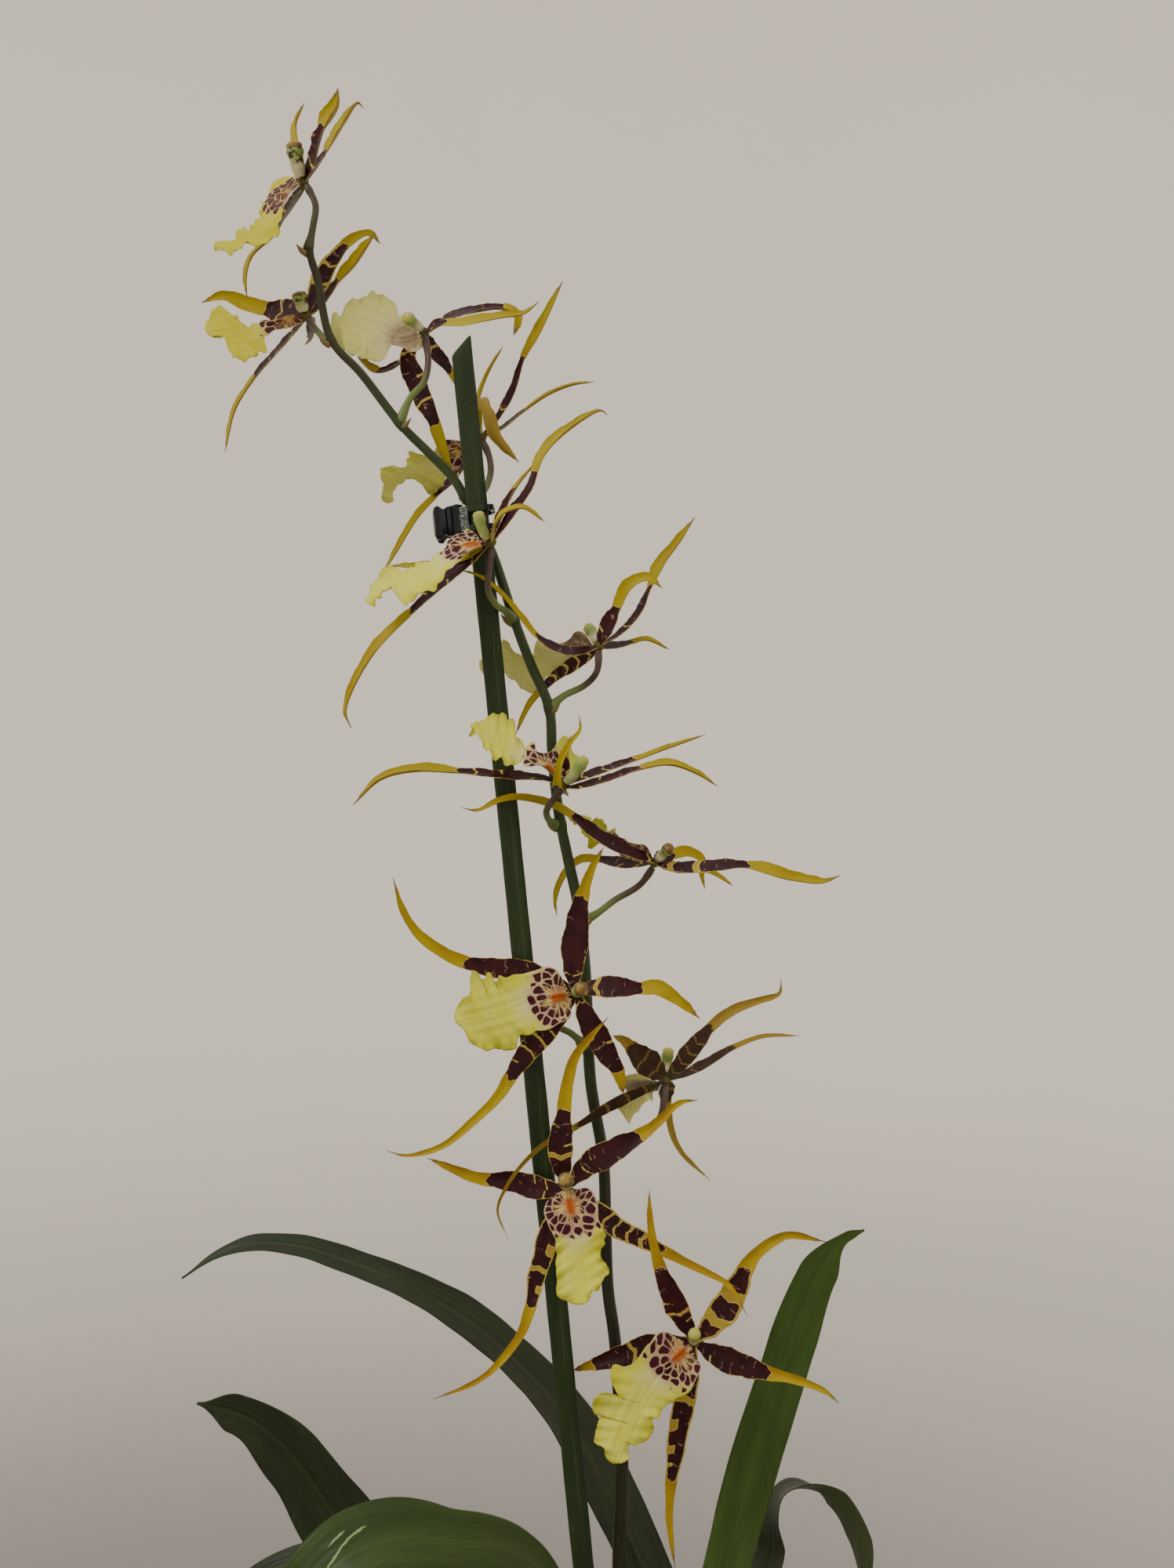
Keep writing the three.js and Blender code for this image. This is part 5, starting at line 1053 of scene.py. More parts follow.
def make_stem(coat):
    route = Route([place(point) for point in STEM_ROUTE])
    t = np.linspace(0, 1, choices().orchid_stem.rows)
    radii = profile(STEM_RADII, t)
    nodes = []
    for stalk in STALKS.values():
        gaps = on_sheet(route.points) - np.array(stalk[0][:2])
        nodes.append(route.shares[np.argmin(np.sum(gaps**2, axis=1))])
    nodes += BARE_NODES
    for node in nodes:
        away = (t - node) * route.length / MM
        radii += 0.35 * np.exp(-((away / 2.6) ** 2)) - 0.12 * np.exp(-(((away + 4) / 1.6) ** 2))
    sides = STEM_SIDES
    angles = circle(sides)
    ribs = 1 + 0.025 * np.cos(5 * angles)
    body = Body()
    body.loft(
        tube_rings(route, t, radii[:, None] * ribs * MM, sides),
        share=per_side(t, sides), stalk=0,
        along=per_side(t, sides) * route.length / MM,
        around=np.cos(angles) * 3,
    )
    for i, (name, stalk) in enumerate(STALKS.items()):
        add_stalk(body, name, stalk, nodes[i], i)
    dress(body.build("flower_stem_and_stalks", coat), PLANT, "flower_stem")


def add_stalk(body, name, stalk, node, seed):
    """Adds a bloom's stalk with its ovary, and the dry bract below it."""
    route = Route(seated(stalk, BLOOMS[name].hub, len(stalk) - 1, HUB_GAP))
    t = np.linspace(0, 1, 48)
    sides = STALK_SIDES
    angles = circle(sides)
    ovary = np.clip((t - 0.45) / 0.15, 0, 1)[:, None]
    ribs = 1 + 0.09 * ovary * np.cos(3 * angles + seed)
    radii = profile(STALK_RADII, t)[:, None] * ribs
    grown = per_side(t, sides)
    body.loft(
        tube_rings(route, t, radii * MM, sides),
        share=node, stalk=0.05 + grown, along=grown * route.length / MM + 17 * seed,
        around=np.cos(angles) * 2,
    )
    lean = 1 if stalk[1][0] > stalk[0][0] else -1
    if name in BRACT_FLIPPED:
        lean = -lean
    u, v, y = stalk[0]
    route = Route([place((u + lean * r, v + d, y + b)) for r, d, b in BRACT_ROUTE])
    t = np.linspace(0, 1, 12)
    radii = profile(BRACT_RADII, t)[:, None] * (1 + 0.1 * np.cos(4 * angles))
    rings = tube_rings(route, t, radii * MM, sides, squash=0.6)
    body.loft(rings, share=node, stalk=-1, along=0, around=0)


# ---------- leaves ----------
LEAF_THICK = 0.8
# How long the waves of a leaf's width and of its edges are, and how high its edges, its fine ribs
# and the grooves over and under its midrib stand, all in millimetres.
LEAF_SWELL_STEP = 22
LEAF_WAVE_STEP = 17
LEAF_WAVE = 0.5
LEAF_RIBS = 26
LEAF_RIB_HIGH = 0.09
MIDRIB_WIDE = 0.9
MIDRIB_GROOVES = (0.25, 0.2)
LEAF_EDGE = 0.25
LEAF_FOLD = ((0, 0.6), (0.33, 0.15), (1, 0.15))
# Old scratches on a leaf, each from one place to another along and across it, in millimetres.
SCARRED_LEAF = "leaf_c"
SCARS = ((160, -7.7, 185, -0.6), (168, -9.5, 178.5, -7.2))


def make_leaf(name, leaf, order, coat):
    """Makes a strap leaf, folded along its midrib at the foot and opening out above."""
    route = Route([place(point) for point in leaf.path])
    t = np.linspace(0, 1, choices().orchid_leaves.rows)
    s = np.linspace(-1, 1, choices().orchid_leaves.columns)
    at, side, up, along = route.frames(t, leaf.turn, 16)
    roll = np.radians(np.interp(t, *np.transpose(leaf.twist)))[:, None]
    turned = side * np.cos(roll) + np.cross(along, side) * np.sin(roll)
    over = up * np.cos(roll) + np.cross(along, up) * np.sin(roll)
    grid_t, grid_s = np.meshgrid(t, s, indexing="ij")
    length = grid_t * route.length / MM
    half = profile(leaf.widths, t)[:, None] / 2
    edge = np.abs(grid_s)
    half = half * (1 + 0.015 * ripple(length / LEAF_SWELL_STEP + np.sign(grid_s), order + 1))
    fold = half * profile(LEAF_FOLD, t)[:, None]
    rise = fold * (0.75 * edge + 0.25 * edge**2)
    wave = ripple(length / LEAF_WAVE_STEP + 2 * np.sign(grid_s), order + 4)
    rise += LEAF_WAVE * wave * edge**3
    rise += LEAF_RIB_HIGH * np.cos(LEAF_RIBS * grid_s) * (1 - edge**6) * np.minimum(1, half / 6)
    rib = np.exp(-((grid_s * half / MIDRIB_WIDE) ** 2))
    thick = LEAF_EDGE + (LEAF_THICK - LEAF_EDGE) * (1 - edge) ** 1.5
    thick = np.minimum(thick, 0.8 * half)

    def rows(height):
        across = turned[:, None] * (half * grid_s * MM)[..., None]
        return at[:, None] + across + over[:, None] * (height * MM)[..., None]

    body = Body()
    body.sheet(
        rows(rise + thick - MIDRIB_GROOVES[0] * rib), rows(rise - thick - MIDRIB_GROOVES[1] * rib),
        share=grid_t, along=length, across=grid_s * half, edge=edge, seed=order * 10.0,
        young=YOUNG.get(name, 0.0), scarred=float(name == SCARRED_LEAF),
    )
    dress(body.build(f"{name}_blade", coat), PLANT, name)


# ---------- stake ----------
STAKE_WIDTH = 9.7
STAKE_THICK = 4
STAKE_ROUNDING = 0.35
STAKE_ROWS = 150
STAKE_FLAT = 0.72
STAKE_FLANK = 0.3
STAKE_CENTRE = (588, 440)
STAKE_SLOPE = 0.1
STAKE_TOP = (427, 455)
STAKE_FOOT = 48


def stake_middle(v):
    return place((STAKE_CENTRE[0] + STAKE_SLOPE * (v - STAKE_CENTRE[1]), v, 0))


def make_stake(coat):
    """Makes a flat strip with broad rounded facets, cut off obliquely at the top."""
    half = STAKE_WIDTH / 2
    deep = STAKE_THICK / 2
    flat = STAKE_FLAT * half
    flank = STAKE_FLANK * deep
    corners = (
        (-half, -flank), (-flat, -deep), (flat, -deep), (half, -flank),
        (half, flank), (flat, deep), (-flat, deep), (-half, flank),
    )
    section = rounded(corners, STAKE_ROUNDING)
    foot = SHEET_CENTRE[1] + (EYE[2] / MM - STAKE_FOOT) / (SHEET_STEP / MM)
    levels = np.linspace(foot, STAKE_TOP[1] + 8, STAKE_ROWS)
    rings = []
    for v in levels:
        worn = 1 + 0.012 * math.sin(v / 37) + 0.008 * math.sin(v / 11)
        rings.append([stake_middle(v) + np.array((x * worn, y, 0)) * MM for x, y in section])
    for shrink in (1.0, 0.93):
        ring = []
        for x, y in section * shrink:
            lean = (1 + x / half) / 2
            v = STAKE_TOP[1] + (STAKE_TOP[0] - STAKE_TOP[1]) * lean + 1.5 * (shrink == 1.0)
            ring.append(stake_middle(v) + np.array((x, y, 0)) * MM)
        rings.append(ring)
    body = Body()
    heights = per_side(np.linspace(0, 1, len(rings)), len(section))
    body.loft(rings, share=heights, across=np.tile(section[:, 0], (len(rings), 1)))
    dress(body.build("stake_strip", coat, smooth=40), PLANT, "stake")


# ---------- clip ----------
CLIP_PIN = (585, 666, 3.6)
CLIP_HEIGHT = 16
CLIP_THICK = 1.7
CLIP_SIDES = 20
GRIP_RISE = 0.11
GRIP_RIB_THICK = 2.2
GRIP_RIBS = ((1.3, 1.5), (6.8, 1.7))
GRIP_TALL = ((-11, 0.72), (-10.2, 0.92), (-8.9, 0.97), (-6.4, 0.74), (-4.2, 0.86), (-2, 0.86), (0, 0.8))
FINGER_HEIGHT = 2.8
PLATE_END = 5.2
PLATE_HALF = 5.6
FINGER_AT = 4.4
KNUCKLE = 2.5
KNUCKLE_HEIGHT = 2.2
KNUCKLE_AT = {-1: 6.6, 1: 3.9}
ARM_OUT = 3.6
ARM_ASIDE = -0.4
SPRING_INNER = 1.35
SPRING_OUTER = 2.3
SPRING_LENGTH = 5
SPRING_TURNS = 5
PIN_RADIUS = 1.0
PIN_BEVEL = 0.25
PIN_SIDES = 24
CLAW_LINE = (
    (-11, -6.5), (-7, -5.2), (-3, -3.4), (0, -4.6), (4, -6.8), (10, -6.9), (14.8, -6.6),
    (16.2, -4.4), (16, -1.4),
)


def clip_place(points):
    """Places of points in the clip's own frame: x right, y back, z along the stake, in mm."""
    points = np.asarray(points, float)
    lean = math.atan(STAKE_SLOPE)
    x = points[..., 0] * math.cos(lean) - points[..., 2] * math.sin(lean)
    z = points[..., 0] * math.sin(lean) + points[..., 2] * math.cos(lean)
    return place(CLIP_PIN) + np.stack((x, points[..., 1], z), axis=-1) * MM


def smooth_line(line, rows):
    flat = Route([(x, y, 0) for x, y in line])
    return flat.at(np.linspace(0, 1, rows))[:, :2]


def strip_rings(line, thick, low, high, bevel=0.3, ends=0.7, tall=(), rise=()):
    """Rounded-rectangle rings along a line in the clip's frame, upright from low to high.
    tall and rise stretch and lift each ring."""
    ahead = unit(np.gradient(line, axis=0))
    across = np.stack((-ahead[:, 1], ahead[:, 0]), axis=1)
    half = thick / 2
    corners = ((-half, low), (half, low), (half, high), (-half, high))
    section = rounded(corners, bevel)
    middle = (low + high) / 2
    rings = []
    last = len(line) - 1
    for i, (point, aside) in enumerate(zip(line, across)):
        shrink = ends if i in (0, last) else 1.0
        scale = (0.5 + shrink / 2) * (tall[i] if len(tall) else 1)
        lift = rise[i] if len(rise) else 0
        ring = [
            (*(point + aside * offset * shrink), middle + lift + (z - middle) * scale)
            for offset, z in section
        ]
        rings.append(ring)
    return clip_place(rings)


def make_jaw(name, side, node, body_name, coat):
    """Makes a jaw: a ribbed grip, two knuckles round the pin and two claw fingers. side is -1
    for the front jaw and 1 for the back one."""
    line = np.array([(x, -y * side) for x, y in CLAW_LINE])
    half = CLIP_HEIGHT / 2
    body = Body()
    grip = smooth_line(line[:4], 48)
    tall = profile(GRIP_TALL, grip[:, 0])
    rise = GRIP_RISE * (grip[:, 0] + 5)
    body.loft(strip_rings(grip, CLIP_THICK, -half, half, 0.3, 0.7, tall, rise), x=-1)
    for centre, reach in GRIP_RIBS:
        near = np.abs(grip[:, 0] - line[0, 0] - centre) < reach
        wide = GRIP_RIB_THICK * CLIP_THICK
        shape = strip_rings(grip[near], wide, -half, half, 1.7, 0.3, tall[near] * 0.98, rise[near])
        body.loft(shape, x=-1)
    plate = smooth_line(line[2:6], 60)
    plate = plate[plate[:, 0] < PLATE_END]
    shape = strip_rings(plate, CLIP_THICK, -PLATE_HALF, PLATE_HALF)
    body.loft(shape, x=per_side(plate[:, 0], CLIP_SIDES))
    for z in (-FINGER_AT, FINGER_AT):
        low, high = z - FINGER_HEIGHT / 2, z + FINGER_HEIGHT / 2
        finger = smooth_line(line[2:], 40)
        shape = strip_rings(finger, CLIP_THICK, low, high)
        body.loft(shape, x=per_side(finger[:, 0], CLIP_SIDES))
    at = KNUCKLE_AT[side]
    arm = smooth_line(((0, side * 1.6), (ARM_ASIDE, side * ARM_OUT)), 4)
    for z in (-at, at):
        low, high = z - KNUCKLE_HEIGHT / 2, z + KNUCKLE_HEIGHT / 2
        add_knuckle(body, low, high)
        body.loft(strip_rings(arm, KNUCKLE_HEIGHT, low, high, bevel=0.2, ends=0.95), x=-1)
    dress(body.build(name, coat, smooth=50), body_name, node)


def add_knuckle(body, low, high):
    """Adds a ring round the pin."""
    angles = circle(28)
    bore = PIN_RADIUS + 0.4
    section = rounded(((bore, low), (KNUCKLE, low), (KNUCKLE, high), (bore, high)), 0.2)
    rings = []
    for angle in angles:
        rings.append([(r * math.cos(angle), r * math.sin(angle), z) for r, z in section])
    body.loft(clip_place(rings), closed=True, x=-1)


def make_pin(coat):
    high = CLIP_HEIGHT / 2
    outline = (
        (-high, PIN_RADIUS - PIN_BEVEL), (PIN_BEVEL - high, PIN_RADIUS),
        (high - PIN_BEVEL, PIN_RADIUS), (high, PIN_RADIUS - PIN_BEVEL),
    )
    angles = circle(PIN_SIDES)
    body = Body()
    body.loft(clip_place([[(r * math.cos(a), r * math.sin(a), z) for a in angles] for z, r in outline]))
    dress(body.build("clip_hinge_pin", coat, smooth=40), PLANT, "clip_pin")


def make_spring(coat):
    """Makes the coiled wire round the pin."""
    wire = (SPRING_OUTER - SPRING_INNER) / 2
    middle = (SPRING_OUTER + SPRING_INNER) / 2
    angles = np.linspace(0, SPRING_TURNS * FULL_TURN, SPRING_TURNS * 20)
    heights = np.linspace(-1, 1, len(angles)) * (SPRING_LENGTH / 2 - wire)
    section = circle(10)
    rings = []
    for angle, z in zip(angles, heights):
        reach = middle + wire * 0.95 * np.cos(section)
        up = z + wire * 0.95 * np.sin(section)
        ring = np.stack((reach * math.cos(angle), reach * math.sin(angle), up), axis=1)
        rings.append(ring)
    body = Body()
    body.loft(clip_place(rings))
    dress(body.build("clip_spring_coil", coat), PLANT, "clip_spring")


# ---------- pot, bark and pseudobulbs ----------
POT_HEIGHT = 130
RIM_RADIUS = 75
RIM_DROP = 14
RIM_PROUD = 3
BASE_RADIUS = 52
POT_WALL = 3.2
POT_ROUNDING = 1.1
POT_SIDES = 128
BARK_LEVEL = 113
BARK_GAP = 0.6
CHIP_SIZE = (15, 9, 6)
CHIP_ROUNDING = 0.35
BARK_SEED = 11
# How many rings there are across the bark's top, down its side and under it, and their points.
BARK_RINGS = (26, 8, 4)
BARK_SIDES = 96
GOLDEN_ANGLE = math.pi * (3 - math.sqrt(5))
BULB_HEIGHT = 82
BULB_SUNK = 14
BULB_HALF_WIDTH = 16
BULB_HALF_THICK = 10.5
BULB_ROWS = 60
BULB_SIDES = 48
# Each dry sheath's top by share of height, and how far it stands off the bulb.
SHEATHS = ((0.42, 0.5), (0.24, 1.0))
BULB_PROFILE = ((0, 0.72), (0.2, 0.86), (0.42, 1), (0.68, 0.86), (0.88, 0.5), (1, 0.22))
# Where each pseudobulb stands: x, y, lean towards +x and turn about z in degrees, and size.
BULBS = {
    "pseudobulb_1": (-21, -20, -5, -12, 1),
    "pseudobulb_2": (26, 6, 4, 14, 1.02),
    "pseudobulb_3": (34, 39, 6, -20, 0.92),
    "pseudobulb_4": (-28, 33, -6, 28, 0.85),
}


def pot_inside(z):
    """The pot's inner radius at a height, in millimetres."""
    bottom, top = BASE_RADIUS - POT_WALL, RIM_RADIUS - RIM_PROUD - POT_WALL
    return bottom + (top - bottom) * (z - POT_WALL) / (POT_HEIGHT - POT_WALL)


def lathe_rings(outline, sides):
    """Rings of a round body from its outline, pairs of radius and height in millimetres."""
    angles = circle(sides)
    around = np.stack((np.cos(angles), np.sin(angles)), axis=1)
    outline = np.asarray(outline, float)
    rings = np.zeros((len(outline), sides, 3))
    rings[..., :2] = outline[:, None, :1] * around
    rings[..., 2] = outline[:, 1:]
    return rings * MM


def make_pot(coat):
    under = POT_HEIGHT - RIM_DROP
    inner = pot_inside(POT_HEIGHT)
    corners = (
        (1, 2), (BASE_RADIUS - 9, 2), (BASE_RADIUS - 8, 0), (BASE_RADIUS, 0),
        (RIM_RADIUS - RIM_PROUD - 0.4, under - 1), (RIM_RADIUS, under), (RIM_RADIUS, POT_HEIGHT),
        (inner, POT_HEIGHT), (inner - 0.6, POT_HEIGHT - RIM_DROP), (pot_inside(POT_WALL), POT_WALL),
        (1, POT_WALL),
    )
    outline = rounded(corners, POT_ROUNDING, (0, 0.33, 0.67, 1), closed=False)
    body = Body()
    body.loft(lathe_rings(outline, POT_SIDES))
    dress(body.build("pot_shell", coat, smooth=50), PLANT, "pot")


def add_chip(body, centre, size, turn, tilt, draw, shade):
    """Adds one chip of bark, an irregular block with worn corners."""
    long, wide, deep = (axis * MM / 2 for axis in size)
    rows = np.linspace(-1, 1, 6)
    outline = rounded(((-1, -1), (1, -1), (1, 1), (-1, 1)), CHIP_ROUNDING, (0, 0.5, 1))
    rings = []
    for x in rows:
        taper = 1 - 0.35 * abs(x) ** 3 + draw.uniform(-0.12, 0.12)
        bend = draw.uniform(-0.1, 0.1)
        ring = [
            (
                x * long + draw.uniform(-0.04, 0.04) * long,
                y * wide * taper + bend * wide,
                z * deep * (taper + draw.uniform(-0.1, 0.1)),
            )
            for y, z in outline
        ]
        rings.append(ring)
    rings = np.array(rings)
    turn_about(rings, 1, 2, tilt[0])
    turn_about(rings, 0, 2, tilt[1])
    turn_about(rings, 0, 1, turn)
    body.loft(rings + centre, chip=shade)


def make_bark(coat):
    """Makes the bark: a lumpy fill and the chips that lie on it."""
    draw = random.Random(BARK_SEED)
    radius = pot_inside(BARK_LEVEL) - BARK_GAP
    floor = POT_WALL + BARK_GAP
    across, down, under = BARK_RINGS
    levels = [(r, BARK_LEVEL) for r in np.linspace(2, radius, across)]
    levels += [(pot_inside(z) - BARK_GAP, z) for z in np.linspace(BARK_LEVEL - 3, floor, down)]
    levels += [(r, floor) for r in np.linspace(pot_inside(floor) - 3, 2, under)]
    rings = lathe_rings(levels, BARK_SIDES)
    top = slice(0, across - 2)
    x, y = rings[top, :, 0] / MM, rings[top, :, 1] / MM
    rings[top, :, 2] += (1.2 * ripple(x / 4, 1) * ripple(y / 5, 2) - 1.5) * MM
    body = Body()
    body.loft(rings, chip=0.15)
    count = choices().orchid_pot.chips
    for i in range(count):
        reach = (radius - 9) * math.sqrt((i + 0.5) / count)
        angle = i * GOLDEN_ANGLE
        size = [axis * draw.uniform(0.6, 1.3) for axis in CHIP_SIZE]
        height = BARK_LEVEL + draw.uniform(-1.5, 2.2)
        centre = np.array((reach * math.cos(angle), reach * math.sin(angle), height)) * MM
        tilt = (draw.uniform(-0.45, 0.45), draw.uniform(-0.35, 0.35))
        add_chip(body, centre, size, draw.uniform(0, math.pi), tilt, draw, draw.uniform(0.2, 1))
    dress(body.build("bark_chips", coat, smooth=60), PLANT, "bark")


def make_bulb(name, coat):
    """Makes a pseudobulb, flattened and furrowed, with the dry sheaths round its foot."""
    x, y, lean, spin, size = BULBS[name]
    rows = np.linspace(0, 1, BULB_ROWS)
    sides = BULB_SIDES
    angles = circle(sides)
    levels = np.concatenate(([-BULB_SUNK / (BULB_HEIGHT - BULB_SUNK) / size], rows))
    bulge = np.where(levels < 0.2, profile(BULB_PROFILE, 0.2), profile(BULB_PROFILE, levels))
    furrow = 0.03 * np.cos(9 * angles + spin) + 0.02 * np.cos(14 * angles + x)
    ribs = 1 + 0.04 * np.cos(3 * angles) + furrow * np.sin(math.pi * np.clip(levels, 0, 1))[:, None]
    tall = levels * (BULB_HEIGHT - BULB_SUNK) * size

    def rings_at(bulge, ribs, tall, grow):
        rings = np.zeros((len(tall), sides, 3))
        rings[..., 0] = (BULB_HALF_WIDTH * size * bulge[:, None] * ribs + grow) * np.cos(angles)
        rings[..., 1] = (BULB_HALF_THICK * size * bulge[:, None] * ribs + grow) * np.sin(angles)
        rings[..., 2] = tall[:, None] if tall.ndim == 1 else tall
        turn_about(rings, 0, 1, math.radians(spin))
        turn_about(rings, 0, 2, -math.radians(lean))
        return (rings + np.array((x, y, BARK_LEVEL))) * MM

    body = Body()
    shades = per_side(levels, sides)
    body.loft(rings_at(bulge, ribs, tall, 0.0), share=shades, sheath=0.0)
    for top, grow in SHEATHS:
        share = np.linspace(0, 1, 14)
        level = -0.1 + (top + 0.1) * share
        torn = 1 + 0.16 * ripple(3 * angles + x, 3 + top)
        heights = level[:, None] * torn * (BULB_HEIGHT - BULB_SUNK) * size
        widths = np.where(level < 0.2, profile(BULB_PROFILE, 0.2), profile(BULB_PROFILE, level))
        crumple = 1 + 0.02 * np.cos(17 * angles + top * 9)
        outer = rings_at(widths, crumple * np.ones((14, 1)), heights, grow)
        inner = rings_at(widths, crumple * np.ones((14, 1)), heights, grow - 0.3)
        rings = np.concatenate((outer, inner[::-1]))
        body.loft(rings, closed=True, share=0.2, sheath=1.0)
    dress(body.build(f"{name}_and_sheaths", coat), PLANT, name)


# ---------- finishes ----------
def tint_group():
    """Drifts between two colours in soft patches, with a little fine mottling."""

    def build(n, given):
        soft = n.noise(given["Vector"], given["Scale"], 3)
        fine = n.noise(given["Vector"], n.times(given["Scale"], 9), 2)
        share = n.plus(n.ramp(soft, 0.3, 0.7), n.ramp(fine, 0.3, 0.7, -0.15, 0.15), clamp=True)
        return {"Color": n.mix(share, given["Color A"], given["Color B"]), "Share": share}

    inputs = {"Vector": "Vector", "Scale": 0.1, "Color A": "Color", "Color B": "Color"}
    outputs = {"Color": "Color", "Share": "Float"}
    return shader_group("Soft tint", inputs, outputs, build)


def vein_group():
    """Fine lengthwise veins: light and low between ridges that run along a blade."""

    def build(n, given):
        at = n.vector(
            n.times(given["Along"], 0.02), n.math("DIVIDE", given["Across"], given["Spacing"])
        )
        lines = n.noise(at, 2.0, 2)
        return {"Height": lines, "Mask": n.ramp(lines, 0.35, 0.65)}

    inputs = {"Along": 0, "Across": 0, "Spacing": 1}
    outputs = {"Height": "Float", "Mask": "Float"}
    return shader_group("Fine veins", inputs, outputs, build)


def ragged_group():
    """Turns a distance in millimetres into a mask with a ragged border and a thin outline."""

    def build(n, given):
        rough = n.noise(given["Vector"], 1.1, 3, 0.6)
        shift = n.times(n.minus(rough, 0.5), given["Raggedness"])
        distance = n.plus(given["Distance"], shift)
        mask = n.ramp(distance, -0.1, 0.12)
        outline = n.ramp(distance, -0.5, -0.15)
        return {"Mask": mask, "Outline": n.minus(outline, mask, clamp=True)}

    inputs = {"Vector": "Vector", "Distance": 0, "Raggedness": 1}
    outputs = {"Mask": "Float", "Outline": "Float"}
    return shader_group("Ragged border", inputs, outputs, build)


def petal_finish(groups, look):
    def build(n):
        along, across, face, tail = n.attributes("along", "across", "face", "tail")
        at = n.vector(along, across, n.times(face, 5))
        border = n.group(groups["ragged"], None, Vector=at, Distance=n.attribute("maroon"))
        border.inputs["Raggedness"].default_value = 0.9
        veins = n.veins(groups, along, across, 0.5)
        yellow = n.drift(groups, at, 0.09, look.tail_yellow, paint(158, 124, 22))
        yellow = n.mix(n.ramp(n.attribute("ripe"), 0.55, 0.9, 0.5, 0), yellow, paint(160, 152, 22))
        yellow = n.mix(n.times(n.attribute("bar"), 0.4), yellow, paint(176, 158, 84))
        yellow = n.mix(n.ramp(tail, 0.9, 0.99), yellow, paint(112, 88, 62))
        yellow = n.mix(n.times(veins["Mask"], 0.2), yellow, paint(130, 84, 20))
        maroon = n.drift(groups, at, 0.16, look.maroon, paint(60, 24, 27))
        bowed = n.plus(along, n.times(n.noise(at, 0.35, 1), 5))
        bands = n.math("PINGPONG", n.times(bowed, 0.21), 0.5)
        some = n.ramp(n.noise(at, 0.3, 1), 0.56, 0.6)
        line = n.times(n.ramp(bands, 0.02, 0.055, 1.0, 0.0), some)
        maroon = n.mix(n.times(line, 0.7), maroon, paint(176, 138, 108))
        front = n.mix(border.outputs["Mask"], yellow, maroon)
        front = n.mix(n.times(border.outputs["Outline"], 0.7), front, paint(212, 186, 96))
        brown = n.drift(groups, at, 0.2, paint(42, 25, 24), paint(60, 40, 30))
        dull = n.mix(n.times(n.attribute("bar"), 0.7), look.back_yellow, paint(104, 82, 48))
        dull = n.mix(n.times(border.outputs["Mask"], 0.97), dull, brown)
        dull = n.mix(n.times(veins["Mask"], 0.12), dull, paint(104, 88, 50))
        dull = n.mix(n.ramp(tail, 0.03, 0.13, 0.8, 0.0), dull, paint(70, 72, 42))
        color = n.mix(face, dull, front)
        return {
            "Base Color": color,
            "Roughness": n.ramp(border.outputs["Mask"], 0, 1, 0.5, 0.36),
            "Bump": (veins["Height"], 0.35, 0.0004),
        }

    return material("Barred petal", build, Specular_IOR_Level=0.12)


